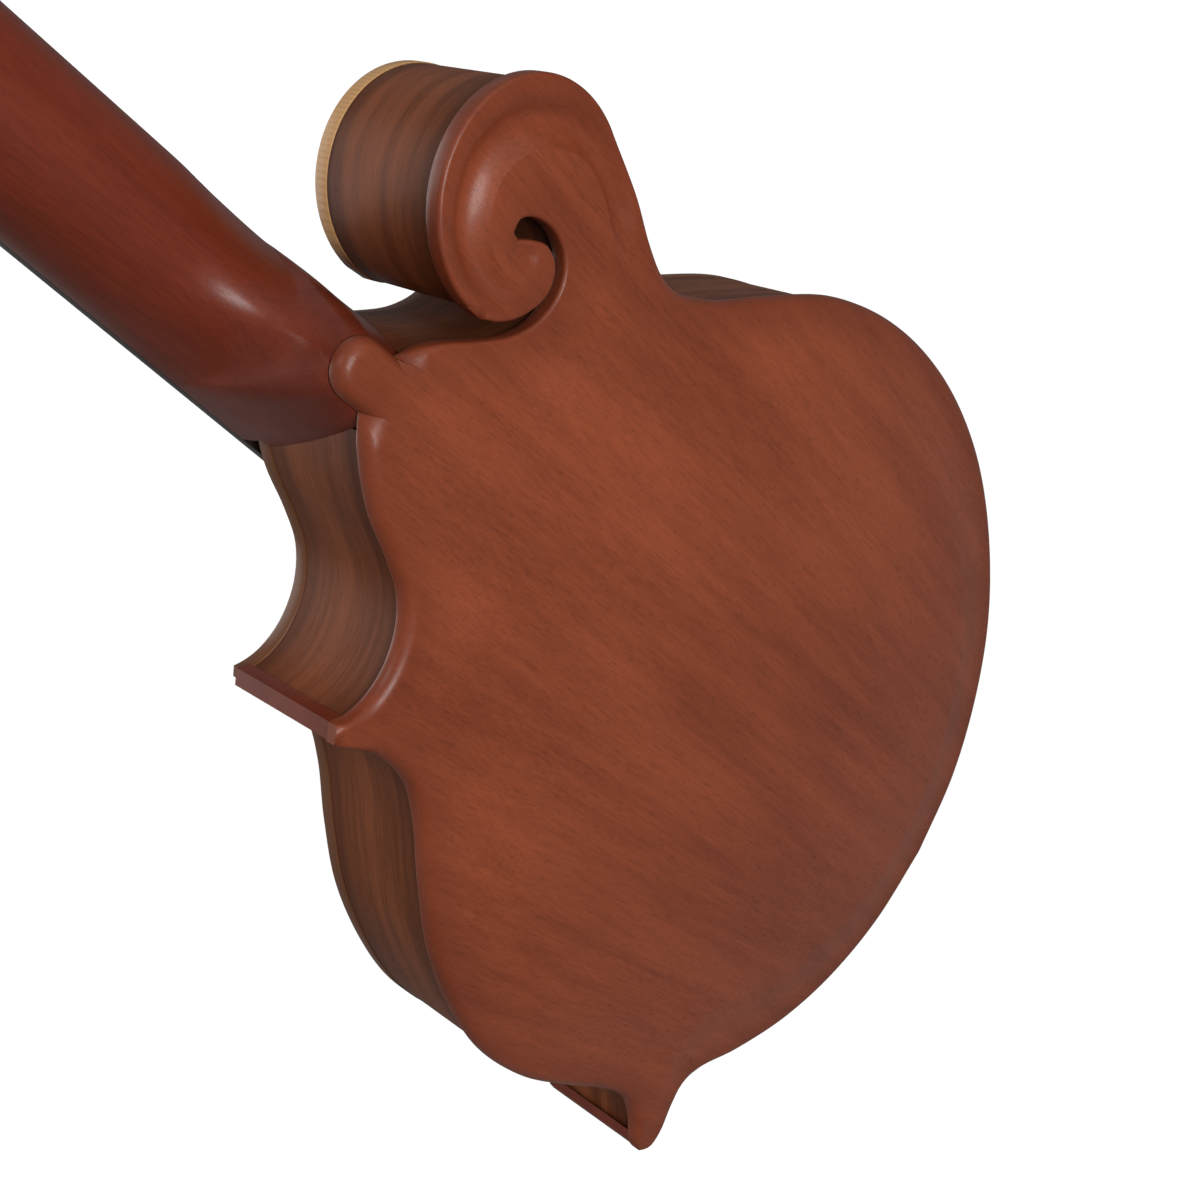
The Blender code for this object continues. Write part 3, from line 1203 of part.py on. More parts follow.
class Stringing:
    """The bridge, the tailpiece, the strings between them and the end pin."""

    def __init__(self, body, neck):
        self.body = body
        self.neck = neck
        self.plan = body_frame()
        self.from_neck = self.plan.inverted() @ neck.place
        self.from_head = self.plan.inverted() @ neck.head
        reach = nut_reach() - SCALE_LENGTH
        self.bridge = self.from_neck @ Vector((0.0, reach, neck.string_plane(reach)))
        self.thickest = max(STRING_RADII.values())
        arch = float(body.top_outer(np.array([[0.0, self.bridge.y]]))[0])
        self.base_top = arch + CLEAR + BRIDGE_BASE_HEIGHT
        self.wheel_low = self.base_top + WHEEL_LIFT
        self.saddle_low = self.wheel_low + WHEEL_THICKNESS + CLEAR
        self.saddle_top = self.bridge.z - self.thickest - CLEAR
        self.stud_top = self.saddle_low + (self.saddle_top - self.saddle_low) * 0.5
        self.slope = math.atan2(TAILPIECE_RISE, TAILPIECE_LENGTH)
        tail = Matrix.Translation((0.0, tail_end() + 0.0015, BODY_DEPTH + 0.0042))
        self.tail = tail @ Matrix.Rotation(self.slope, 4, "X")

    def build(self):
        """Add every piece that the strings bear on, and the strings."""
        self.bridge_base()
        self.saddle()
        self.tailpiece()
        self.tail_cover()
        self.strings()
        self.end_pin()

    def bridge_base(self):
        """The foot of the bridge, fitted to the soundboard, with the two studs set in it."""
        rings = []
        half = BRIDGE_LENGTH / 2
        for share in np.linspace(-1.0, 1.0, 17):
            x = half * share
            width = BRIDGE_WIDTH / 2 * (1.0 - 0.45 * abs(share) ** 6)
            sides = np.array([(x, self.bridge.y - width), (x, self.bridge.y + width)])
            under = self.body.top_outer(sides) + CLEAR
            lift = BRIDGE_RELIEF * float(smooth_step((0.42 - abs(share)) / 0.10))
            slope_in = float(smooth_step((abs(share) - 0.58) / 0.42))
            tip = float(under.max()) + 0.0026
            top = self.base_top * (1.0 - slope_in) + min(tip, self.base_top) * slope_in
            narrow = 0.75
            rings.append([
                (x, sides[0][1], under[0] + lift), (x, sides[1][1], under[1] + lift),
                (x, self.bridge.y + width * narrow, top), (x, self.bridge.y - width * narrow, top)])
        studs = [self.upright(x, STUD_RADIUS, self.base_top - BRIDGE_BASE_HEIGHT / 2, self.stud_top)
                 for x in (-STUD_SPACING / 2, STUD_SPACING / 2)]
        mesh = shaped(loft(rings), joins=studs)
        add_piece("bridge_base", mesh, ("dark_wood", DARK_WOOD), self.plan)

    def upright(self, x, radius, low, high):
        """A cylinder across the bridge's middle line, out of the soundboard."""
        return moved(turned(((radius, low), (radius, high)), 10), Matrix.Translation((x, self.bridge.y, 0.0)))

    def saddle(self):
        """The bridge's saddle and the wheels that set its height."""
        inner = STUD_RADIUS + CLEAR
        for x, side in ((-STUD_SPACING / 2, "bass"), (STUD_SPACING / 2, "treble")):
            profile = ((inner, 0.0), (WHEEL_RADIUS, 0.0),
                       (WHEEL_RADIUS, WHEEL_THICKNESS), (inner, WHEEL_THICKNESS))
            seat = self.plan @ Matrix.Translation((x, self.bridge.y, self.wheel_low))
            add_piece(f"{side}_thumbwheel", ring_solid(profile, 16), ("brass", BRASS), seat)
        half = SADDLE_LENGTH / 2
        rings = []
        for share in (-1.0, -0.9, -0.5, 0.5, 0.9, 1.0):
            x = half * share
            low = self.saddle_low + (0.0016 if abs(share) == 1.0 else 0.0)
            high = self.saddle_top - (0.0012 if abs(share) == 1.0 else 0.0)
            y, wide = self.bridge.y, SADDLE_WIDTH / 2
            crown = wide * 0.45
            rings.append([(x, y - wide, low), (x, y + wide, low),
                          (x, y + crown, high), (x, y - crown, high)])
        top = self.stud_top + saddle_travel() + CLEAR
        holes = [self.upright(x, STUD_RADIUS + CLEAR, self.saddle_low - 0.002, top)
                 for x in (-STUD_SPACING / 2, STUD_SPACING / 2)]
        mesh = shaped(loft(rings), cuts=holes)
        add_piece("bridge_saddle", mesh, ("dark_wood", DARK_WOOD), self.plan)

    def tailpiece(self):
        """The bent metal plate over the tail that the strings hook on."""
        out = tail_end() - CLEAR - TAILPIECE_METAL
        leg = BODY_DEPTH / 2 + END_PIN_RADIUS + 0.0012
        bend = self.tail @ Vector((0.0, 0.0035, 0.0))
        path = ((out, leg, 0.6), (out, leg + 0.006, 1.0), (out, BODY_DEPTH - 0.001, 1.0),
                (out + 0.0008, BODY_DEPTH + 0.0020, 1.0), (bend.y, bend.z, 1.0))
        rings = []
        metal = TAILPIECE_METAL
        for index, (y, z, wide) in enumerate(path):
            half = TAILPIECE_LEG_WIDTH / 2 * wide
            lean = min(index / 4, 1.0) if index > 2 else 0.0
            dy, dz = metal * (1.0 - lean), -metal * lean
            rings.append([(-half, y, z), (half, y, z), (half, y + dy, z + dz), (-half, y + dy, z + dz)])
        half = TAILPIECE_WIDTH / 2
        flat = moved(box((-half, 0.0020, -metal), (half, TAILPIECE_LENGTH, 0.0)), self.tail)
        hooks = [moved(turned(((HOOK_RADIUS, -metal * 0.5), (HOOK_RADIUS, HOOK_HEIGHT)), 6),
                       self.tail @ Matrix.Translation((x, hook_reach(row), 0.0)))
                 for row, x in enumerate(self.hook_spots())]
        mesh = shaped(loft(rings), joins=[flat] + hooks)
        add_piece("tailpiece_base", mesh, ("nickel", NICKEL), self.plan)

    def hook_spots(self):
        """Where the hooks stand across the tailpiece."""
        return [x * 0.78 for x in string_places(PAIR_SPREAD_BRIDGE)]

    def tail_cover(self):
        """The cover that slides over the tailpiece's hooks."""
        half = TAILPIECE_WIDTH / 2 + CLEAR
        wall = TAILPIECE_METAL
        low, high = -1.4 * TAILPIECE_METAL, COVER_RISE
        outer = arch_outline(half + wall, low, high)
        inner = arch_outline(half, low - 0.004, high - wall)
        turn = Matrix(((1, 0, 0, 0), (0, 0, 1, 0), (0, 1, 0, 0), (0, 0, 0, 1)))
        start, end = -0.0095, TAILPIECE_LENGTH + 0.010
        shell = shaped(moved(slab([outer], start, end), self.tail @ turn),
                       cuts=[moved(slab([inner], start + wall * 1.2, end + 0.02), self.tail @ turn)])
        add_piece("tailpiece_cover", shell, ("nickel", NICKEL), self.plan)

    def strings(self):
        """Eight strings in four pairs, each from its hook over bridge and nut to its post."""
        names = ("g", "g", "d", "d", "a", "a", "e", "e")
        posts = post_spots()
        order = (0, 1, 2, 3, 7, 6, 5, 4)
        reach = nut_reach() - SCALE_LENGTH
        nut_s = nut_reach() + NUT_LENGTH
        for index, name in enumerate(names):
            radius = STRING_RADII[name]
            bridge_x = string_places(PAIR_SPREAD_BRIDGE)[index]
            nut_x = string_places(PAIR_SPREAD_NUT)[index]
            lift = radius - self.thickest
            hook = self.tail @ Vector((self.hook_spots()[index],
                                       hook_reach(index) + HOOK_RADIUS + CLEAR + radius, HOOK_HEIGHT * 0.55))
            bridge = self.from_neck @ Vector((bridge_x, reach, self.neck.string_plane(reach) + lift))
            nut = self.from_neck @ Vector((nut_x, nut_s, self.neck.string_plane(nut_s) + lift))
            post = posts[order[index]]
            side = -1 if post[0] < 0 else 1
            inside_x = post[0] - side * (POST_RADIUS + CLEAR + radius)
            end = self.from_head @ Vector((inside_x, post[1], self.neck.face + POST_STRING_HEIGHT))
            solid = wire((hook, bridge, nut, end), radius)
            add_piece(f"string_{name}_{index % 2 + 1}", solid, ("bronze", BRONZE), self.plan)

    def end_pin(self):
        """The strap pin in the tail, with a flat outer face."""
        start = tail_end() + OVERHANG - CLEAR
        profile = ((END_PIN_RADIUS * 0.80, -END_PIN_REACH), (END_PIN_RADIUS, -END_PIN_REACH + 0.0010),
                   (END_PIN_RADIUS, -END_PIN_REACH + 0.0034), (0.0046, -END_PIN_REACH + 0.0050),
                   (0.0046, -0.0030), (0.0062, -0.0016), (0.0062, 0.0), (END_PIN_SHANK, 0.0),
                   (END_PIN_SHANK * 0.85, END_PIN_DEPTH - 0.002))
        rings = [[(x, start + along, BODY_DEPTH / 2 + z) for x, z in circle((0, 0), radius, 12)]
                 for radius, along in profile]
        add_piece("end_pin", loft(rings), ("dark_wood", DARK_WOOD), self.plan)


def saddle_travel():
    """How far the saddle can be let down."""
    return 0.0012


def hook_reach(index):
    """How far up the tailpiece a string's hook stands, in two staggered rows."""
    return 0.026 + 0.008 * (index % 2)


def string_places(spread):
    """Where the eight strings cross a line, for a distance between pairs."""
    places = []
    for pair in range(4):
        middle = (pair - 1.5) * spread
        places += [middle - COURSE_GAP / 2, middle + COURSE_GAP / 2]
    return places


def arch_outline(half, low, high):
    """A low arch over a flat foot, as a closed outline across the tailpiece."""
    side = high * 0.45
    top = [(half * math.cos(a), side + (high - side) * math.sin(a)) for a in np.linspace(0.0, math.pi, 9)]
    return np.array([(half, low)] + top + [(-half, low)])


def wire(points, radius):
    """A string as a six-sided tube through its bearing points."""
    rings = []
    for index, point in enumerate(points):
        before = points[max(index - 1, 0)]
        after = points[min(index + 1, len(points) - 1)]
        along = (after - before).normalized()
        across = along.cross(Vector((0, 0, 1))).normalized()
        rise = across.cross(along)
        rings.append([tuple(point + radius * (across * math.cos(a) + rise * math.sin(a)))
                      for a in [math.pi * k / 3 for k in range(6)]])
    return loft(rings)


def main():
    """Build the mandolin."""
    clear_scene()
    body = Body()
    body.build()
    neck = Neck(body)
    neck.build()
    Tuners(neck).build()
    Stringing(body, neck).build()
    bpy.context.view_layer.update()


if __name__ == "__main__":
    main()
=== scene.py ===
"""Looks of an f-style mandolin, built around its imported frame.

Plan coordinates run x to the treble side, y up the centre line from the tail, and depth from the
back plate's edge to the soundboard. Neck and head coordinates run x across, s up the neck and n out
of its face. Every piece ends in the part's frame: neck along +Z, soundboard facing -Y.
"""
import logging
import math
from dataclasses import dataclass, field
from enum import Enum
from math import cos, pi, sin, sqrt
from typing import Callable, Dict, List, Optional, Sequence, Tuple

import bmesh
import bpy
import numpy as np
from mathutils import Matrix, Vector
from mathutils.geometry import delaunay_2d_cdt


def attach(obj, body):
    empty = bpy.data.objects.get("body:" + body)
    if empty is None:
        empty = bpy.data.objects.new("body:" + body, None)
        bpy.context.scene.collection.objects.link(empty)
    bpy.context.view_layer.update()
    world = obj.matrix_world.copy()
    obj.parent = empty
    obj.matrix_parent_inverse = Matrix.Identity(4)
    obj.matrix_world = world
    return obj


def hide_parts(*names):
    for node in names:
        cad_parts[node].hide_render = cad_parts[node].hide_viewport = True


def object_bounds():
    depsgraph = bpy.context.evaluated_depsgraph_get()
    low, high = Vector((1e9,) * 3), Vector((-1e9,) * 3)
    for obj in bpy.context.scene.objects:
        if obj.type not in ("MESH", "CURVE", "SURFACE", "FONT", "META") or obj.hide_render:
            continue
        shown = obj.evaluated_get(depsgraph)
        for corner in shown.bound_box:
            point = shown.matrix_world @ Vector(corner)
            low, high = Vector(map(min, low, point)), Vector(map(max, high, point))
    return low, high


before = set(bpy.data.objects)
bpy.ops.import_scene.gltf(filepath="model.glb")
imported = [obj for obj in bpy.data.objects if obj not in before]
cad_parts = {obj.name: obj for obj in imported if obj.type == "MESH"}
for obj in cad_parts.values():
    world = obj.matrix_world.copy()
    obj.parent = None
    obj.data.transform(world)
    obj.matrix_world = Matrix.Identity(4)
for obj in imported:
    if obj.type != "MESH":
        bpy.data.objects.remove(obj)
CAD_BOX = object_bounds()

LOG = logging.getLogger("mandolin")
Array = np.ndarray
Mesh = bpy.types.Mesh
Node = bpy.types.Node
NodeTree = bpy.types.NodeTree
Socket = bpy.types.NodeSocket
Flat = Tuple[float, float]
Point = Tuple[float, float, float]
Rgb = Tuple[float, float, float]
Height = Callable[[Array], Array]


def traced(*tenths: Tuple[int, int]) -> Tuple[Flat, ...]:
    """Corners in metres from tenths of a millimetre."""
    return tuple((x / 10000, y / 10000) for x, y in tenths)


# The outline of the body in runs between its corners, clockwise from the tail, seen from the front
BASS_SIDE = traced(
    (0, -17), (-310, 32), (-590, 168), (-840, 380), (-1050, 690), (-1187, 1040), (-1235, 1415),
    (-1193, 1790), (-1070, 2125), (-889, 2395), (-755, 2575), (-684, 2735), (-706, 2895), (-759, 3035))
CURL_SIDE = traced(
    (-263, 3235), (-288, 3185), (-340, 3134), (-415, 3105), (-476, 3126), (-499, 3180), (-482, 3226),
    (-458, 3262))
SLOT_SIDE = traced(
    (-461, 3288), (-490, 3291), (-518, 3262), (-535, 3195), (-516, 3128), (-466, 3087), (-410, 3078),
    (-350, 3090), (-285, 3133), (-222, 3208), (-163, 3290), (-124, 3333))
HEEL_CHORD = traced((-71, 3368), (71, 3368))
CUTAWAY = traced(
    (124, 3328), (184, 3262), (238, 3186), (292, 3075), (345, 2990), (422, 2933), (515, 2908), (592, 2917),
    (640, 2942), (668, 2972))
WAIST = traced(
    (708, 2946), (692, 2870), (681, 2775), (706, 2650), (780, 2544), (910, 2410), (1054, 2239),
    (1175, 2020), (1246, 1820), (1273, 1580), (1256, 1370), (1228, 1165), (1234, 1015), (1288, 912),
    (1362, 835))
TAIL_SIDE = traced(
    (1372, 798), (1345, 753), (1275, 731), (1195, 746), (1125, 749), (1065, 703), (960, 537), (780, 316),
    (570, 150), (310, 32), (0, -17))
# The ridge of the scroll's carving, from its foot on the body round the curl to its tip
RIDGE = traced(
    (-590, 2900), (-645, 3040), (-690, 3135), (-700, 3235), (-660, 3322), (-590, 3382), (-515, 3398),
    (-440, 3372), (-392, 3318), (-375, 3255), (-385, 3195), (-412, 3150))
# The short groove round the tongue beside the scroll's eye
TONGUE_GROOVE = traced((-440, 3285), (-437, 3250), (-446, 3215), (-462, 3185))
F_HOLE = traced(
    (330, 2140), (352, 2105), (400, 2090), (420, 2020), (440, 1930), (476, 1800), (520, 1660), (520, 1560),
    (560, 1530), (610, 1570), (600, 1620), (562, 1640), (540, 1740), (498, 1880), (470, 2010), (440, 2120),
    (390, 2180), (345, 2175))
HEAD_OUTLINE = traced(
    (150, 0), (162, 60), (215, 150), (275, 235), (300, 340), (296, 700), (285, 1080), (310, 1220),
    (390, 1330), (410, 1400), (340, 1415), (240, 1400), (140, 1430), (60, 1500), (-30, 1540), (-110, 1590),
    (-190, 1700), (-290, 1730), (-390, 1690), (-430, 1590), (-420, 1490), (-370, 1370), (-310, 1250),
    (-285, 1080), (-296, 700), (-300, 340), (-275, 235), (-215, 150), (-162, 60), (-150, 0))
POSITION_DOTS = (3, 5, 7, 10, 12, 15)
# How many points are measured at once, and a gap in metres that doesn't show
BATCH = 1500
HAIR = 0.00005
NO_CORNERS = np.zeros((0, 2))


class Side(Enum):
    """The two sides of the instrument, as the sign of x."""

    BASS = -1
    TREBLE = 1


class Grain(Enum):
    """Which way a piece's wood grain runs."""

    ALONG_BODY = "object z"
    ACROSS_BODY = "object x"
    ALONG_PIECE = "uv"


@dataclass(frozen=True)
class Sizes:
    """The sizes that the frame gives the pieces, in metres."""

    body_depth: float = 0.0458
    back_arch: float = 0.0095
    top_arch: float = 0.0105
    plate_edge: float = 0.0048
    plate_middle: float = 0.0044
    edge_round: float = 0.0022
    overhang: float = 0.0018
    recurve: float = 0.0300
    glue_edge: float = 0.0110
    scroll_centre: Flat = (-0.0540, 0.3279)
    scroll_radius: float = 0.0281
    button_radius: float = 0.0071
    button_reach: float = 0.0064
    clear: float = 0.0003
    scale_length: float = 0.3524
    joint_fret: int = 15
    fret_count: int = 22
    neck_slope: float = math.radians(4.9)
    neck_lift: float = 0.0027
    nut_width: float = 0.0286
    joint_width: float = 0.0390
    neck_depth: float = 0.0150
    neck_depth_at_heel: float = 0.0185
    heel_length: float = 0.0440
    heel_cheek: float = 0.0078
    board_thickness: float = 0.0048
    fret_height: float = 0.0010
    fret_width: float = 0.0016
    nut_length: float = 0.0046
    head_angle: float = math.radians(15.0)
    head_thickness: float = 0.0140
    veneer: float = 0.0016
    post_spacing: float = 0.0230
    first_post: float = 0.0360
    post_offset: float = 0.0175
    end_pin_reach: float = 0.0120

    @property
    def joint(self) -> float:
        """Plan height of the neck joint."""
        return HEEL_CHORD[0][1] - self.overhang

    @property
    def nut_reach(self) -> float:
        """Distance from the joint to the nut's front edge."""
        return self.fret(self.joint_fret)

    @property
    def nut_end(self) -> float:
        """Distance from the joint to the nut's far edge."""
        return self.nut_reach + self.nut_length

    @property
    def board_top(self) -> float:
        """Height of the fretboard over the gluing plane."""
        return self.clear + self.board_thickness

    @property
    def face(self) -> float:
        """Height of the headstock's face in head coordinates."""
        return self.clear + self.veneer

    def fret(self, number: int) -> float:
        """Distance of a fret from the nut."""
        return self.scale_length * (1.0 - 2.0 ** (-number / 12.0))

    def half_width(self, s: float) -> float:
        """Half the fretboard's width at a distance from the joint."""
        return (self.joint_width + (self.nut_width - self.joint_width) * s / self.nut_reach) / 2

    def plan(self) -> Matrix:
        """Plan coordinates to the part's frame."""
        lift = self.end_pin_reach + self.clear - self.overhang - BASS_SIDE[0][1]
        return Matrix.Translation((0.0, self.body_depth / 2, lift)) @ Matrix.Rotation(pi / 2, 4, "X")

    def neck(self) -> Matrix:
        """Neck coordinates to the part's frame."""
        place = self.plan() @ Matrix.Translation((0.0, self.joint, self.body_depth + self.neck_lift))
        return place @ Matrix.Rotation(-self.neck_slope, 4, "X")

    def head(self) -> Matrix:
        """Head coordinates to the part's frame."""
        place = self.neck() @ Matrix.Translation((0.0, self.nut_end + self.clear, 0.0))
        return place @ Matrix.Rotation(-self.head_angle, 4, "X")

    def post_spots(self, side: Side) -> List[Flat]:
        """Where the string posts of one side stand, from the nut up."""
        x = side.value * self.post_offset
        return [(x, self.first_post + self.post_spacing * index) for index in range(4)]


SIZES = Sizes()


def smooth_through(points: Sequence[Flat], step: float) -> Array:
    """A smooth curve through points.

    Args:
        points: The points that it passes through.
        step: About how far its samples lie apart.

    Returns:
        The samples, one row each.
    """
    knots = np.array(points, dtype=float)
    padded = np.vstack([2 * knots[0] - knots[1], knots, 2 * knots[-1] - knots[-2]])
    curve = []
    for index in range(1, len(padded) - 2):
        before, start, end, after = padded[index - 1:index + 3]
        count = max(1, int(round(np.linalg.norm(end - start) / step)))
        shares = np.arange(count)[:, None] / count
        curve.append(curve_stretch(before, start, end, after, shares))
    curve.append(knots[-1:])
    return np.vstack(curve)


def curve_stretch(before: Array, start: Array, end: Array, after: Array,
                  share: Array) -> Array:
    """Points of a centripetal Catmull-Rom stretch.

    Args:
        before: The knot before the stretch.
        start: The knot at its start.
        end: The knot at its end.
        after: The knot after it.
        share: How far along each point lies, as a column.

    Returns:
        One point for each share.
    """
    gaps = [max(sqrt(np.linalg.norm(b - a)), 1e-6)
            for a, b in ((before, start), (start, end), (end, after))]
    slope_start = ((start - before) / gaps[0] - (end - before) / (gaps[0] + gaps[1])
                   + (end - start) / gaps[1]) * gaps[1]
    slope_end = ((end - start) / gaps[1] - (after - start) / (gaps[1] + gaps[2])
                 + (after - end) / gaps[2]) * gaps[1]
    square = share * share
    cube = square * share
    return (start * (2 * cube - 3 * square + 1) + slope_start * (cube - 2 * square + share)
            + end * (3 * square - 2 * cube) + slope_end * (cube - square))


def smooth_step(value: Array) -> Array:
    """0 to 1 with level ends."""
    value = np.clip(value, 0.0, 1.0)
    return value * value * (3.0 - 2.0 * value)


def eased(value: float) -> float:
    """The smooth step of one number."""
    return float(smooth_step(np.array(value)))


def nearest_on(points: Array, starts: Array, ends: Array) -> Tuple[Array, Array, Array]:
    """The nearest place on a set of straight steps.

    Args:
        points: The points to measure from.
        starts: Where each step starts.
        ends: Where each step ends.

    Returns:
        The signed distance, positive left of a step, the step's number, and the share along it.
    """
    run = ends - starts
    length = np.maximum((run * run).sum(axis=1), 1e-18)
    found = []
    for block in np.array_split(points, max(1, len(points) // BATCH + 1)):
        away = block[:, None, :] - starts[None]
        share = np.clip((away * run[None]).sum(axis=2) / length, 0.0, 1.0)
        offset = away - share[..., None] * run[None]
        distance = np.linalg.norm(offset, axis=2)
        near = distance.argmin(axis=1)
        rows = np.arange(len(block))
        cross = run[near, 0] * offset[rows, near, 1] - run[near, 1] * offset[rows, near, 0]
        sign = np.where(cross < 0, -1.0, 1.0)
        found.append(np.column_stack([distance[rows, near] * sign, near, share[rows, near]]))
    table = np.vstack(found)
    return table[:, 0], table[:, 1].astype(int), table[:, 2]


def to_loop(points: Array, loop: Array) -> Array:
    """Distance of each point to a closed outline."""
    return np.abs(nearest_on(points, loop, np.roll(loop, -1, axis=0))[0])


def to_path(points: Array, path: Array) -> Tuple[Array, Array]:
    """Signed distance of each point to an open path, and the share of the path where it is nearest."""
    distance, near, share = nearest_on(points, path[:-1], path[1:])
    return distance, (near + share) / (len(path) - 1)


def inside(points: Array, loop: Array) -> Array:
    """Whether each point lies inside a closed outline.

    Args:
        points: Plan points.
        loop: The outline's corners.

    Returns:
        True for each point inside.
    """
    ends = np.roll(loop, -1, axis=0)
    rise = np.where(np.abs(ends[:, 1] - loop[:, 1]) < 1e-12, 1e-12, ends[:, 1] - loop[:, 1])
    found = []
    for block in np.array_split(points, max(1, len(points) // (2 * BATCH) + 1)):
        x, y = block[:, 0][:, None], block[:, 1][:, None]
        crosses = (loop[:, 1][None] > y) != (ends[:, 1][None] > y)
        at = (ends[:, 0] - loop[:, 0])[None] * (y - loop[:, 1][None]) / rise[None] + loop[:, 0][None]
        found.append((crosses & (x < at)).sum(axis=1) % 2 == 1)
    return np.concatenate(found)


def level(height: float) -> Height:
    """The same height at every point."""
    return lambda points: np.full(len(points), height)


def shifted(run: Array, distance: object) -> Array:
    """A run of the outline moved to its right by one distance, or by one for each of its points.

    Args:
        run: The run's corners.
        distance: How far, in metres.

    Returns:
        The moved corners.
    """
    along = np.gradient(run, axis=0)
    along /= np.linalg.norm(along, axis=1)[:, None]
    return run + np.reshape(distance, (-1, 1)) * np.column_stack([along[:, 1], -along[:, 0]])


def circle(centre: Flat, radius: float, sides: int, turn: float = 0.0) -> Array:
    """Points of a circle in the plane."""
    angles = 2 * pi * (np.arange(sides) + turn) / sides
    return np.column_stack([centre[0] + radius * np.cos(angles), centre[1] + radius * np.sin(angles)])


def linked(name: str, data: object) -> bpy.types.Object:
    """A new object in the scene.

    Args:
        name: Its name.
        data: Its mesh, lamp or camera.

    Returns:
        The object.
    """
    made = bpy.data.objects.new(name, data)
    bpy.context.scene.collection.objects.link(made)
    return made


def rectangle(half: float, deep: float) -> Array:
    """A rectangle about the origin, from half its width and half its depth."""
    return np.array([(-half, -deep), (half, -deep), (half, deep), (-half, deep)])


@dataclass
class Shell:
    """Points and faces of a closed shape before it becomes a mesh."""

    points: List[Point] = field(default_factory=list)
    faces: List[Tuple[int, ...]] = field(default_factory=list)

    def moved(self, place: Matrix) -> "Shell":
        """The shell carried by a matrix.

        Args:
            place: Where the shell goes.

        Returns:
            The moved shell.
        """
        if not self.points:
            return self
        turn = np.array(place)
        spots = np.array(self.points, dtype=float) @ turn[:3, :3].T + turn[:3, 3]
        return Shell([tuple(spot) for spot in spots], self.faces)

    def joined(self, *others: "Shell") -> "Shell":
        """This shell and others as one.

        Args:
            others: The shells to add.

        Returns:
            One shell of them all.
        """
        points, faces = list(self.points), list(self.faces)
        for other in others:
            base = len(points)
            points += list(other.points)
            faces += [tuple(base + corner for corner in face) for face in other.faces]
        return Shell(points, faces)

    def mesh(self, name: str, outwards: bool = True) -> Mesh:
        """The shell as a mesh.

        Args:
            name: The mesh's name.
            outwards: Whether its faces are turned to point out.

        Returns:
            The mesh.
        """
        made = bpy.data.meshes.new(name)
        made.from_pydata([tuple(map(float, point)) for point in self.points], [], self.faces)
        if outwards:
            edit = bmesh.new()
            edit.from_mesh(made)
            bmesh.ops.recalc_face_normals(edit, faces=edit.faces[:])
            edit.to_mesh(made)
            edit.free()
        return made


def triangles(loops: Sequence[Array], points: Array) -> Tuple[Array, List[Tuple[int, ...]]]:
    """Triangles over the area inside the first loop and outside the others.

    Args:
        loops: The outline and its holes.
        points: Further corners inside.

    Returns:
        All corners, the loops' first, and the triangles.
    """
    corners = [Vector(p) for loop in loops for p in loop] + [Vector(p) for p in points]
    edges = []
    start = 0
    for loop in loops:
        count = len(loop)
        edges += [(start + i, start + (i + 1) % count) for i in range(count)]
        start += count
    made, _, faces, _, _, _ = delaunay_2d_cdt(corners, edges, [], 0, 1e-8)
    spots = np.array([list(v) for v in made])
    centres = spots[np.array(faces)].mean(axis=1)
    keep = inside(centres, np.asarray(loops[0]))
    for hole in loops[1:]:
        keep = keep & ~inside(centres, np.asarray(hole))
    return spots, [tuple(face) for face, kept in zip(faces, keep) if kept]


def plate_shell(loops: Sequence[Array], outer_points: Array, outer: Height,
                inner_points: Array, inner: Height, rim: int = 3) -> Shell:
    """A closed plate between two height functions over the same loops.

    Args:
        loops: The outline and its holes.
        outer_points: Corners that carry the outer face.
        outer: Height of the outer face at points of the plan.
        inner_points: Corners that carry the inner face.
        inner: Height of the inner face.
        rim: How many steps the wall between them has.

    Returns:
        The plate.
    """
    top, top_faces = triangles(loops, outer_points)
    low, low_faces = triangles(loops, inner_points)
    high = outer(top)
    deep = inner(low)
    points = [(x, y, z) for (x, y), z in zip(top, high)] + [(x, y, z) for (x, y), z in zip(low, deep)]
    base = len(top)
    faces = list(top_faces) + [tuple(base + corner for corner in reversed(face)) for face in low_faces]
    start = 0
    for loop in loops:
        count = len(loop)
        rows = [list(range(start, start + count))]
        for step in range(1, rim):
            share = step / rim
            rows.append(list(range(len(points), len(points) + count)))
            for i in range(start, start + count):
                points.append((top[i][0], top[i][1], high[i] * (1 - share) + deep[i] * share))
        rows.append([base + i for i in range(start, start + count)])
        for upper, lower in zip(rows, rows[1:]):
            for i in range(count):
                j = (i + 1) % count
                faces.append((upper[i], upper[j], lower[j], lower[i]))
        start += count
    return Shell(points, faces)


def slab(loops: Sequence[Array], low: float, high: float) -> Shell:
    """A flat plate with holes, between two heights."""
    return plate_shell(loops, NO_CORNERS, level(high), NO_CORNERS, level(low), 1)


def loft(rings: Sequence[Sequence[Point]], closed: bool = False) -> Shell:
    """A closed shape through rings of as many points each.

    Args:
        rings: The rings in order.
        closed: Whether the last ring leads back to the first, instead of flat ends.

    Returns:
        The shape.
    """
    count = len(rings[0])
    points = [tuple(point) for ring in rings for point in ring]
    faces: List[Tuple[int, ...]] = [] if closed else [tuple(range(count - 1, -1, -1))]
    steps = len(rings) if closed else len(rings) - 1
    for row in range(steps):
        following = (row + 1) % len(rings)
        for i in range(count):
            j = (i + 1) % count
            faces.append((row * count + i, row * count + j, following * count + j, following * count + i))
    if not closed:
        start = (len(rings) - 1) * count
        faces.append(tuple(start + i for i in range(count)))
    return Shell(points, faces)


def turned(profile: Sequence[Flat], sides: int, ring: bool = False) -> Shell:
    """A shape turned about the local Z axis."""
    rings = [[(x, y, height) for x, y in circle((0.0, 0.0), radius, sides)] for radius, height in profile]
    return loft(rings, ring)


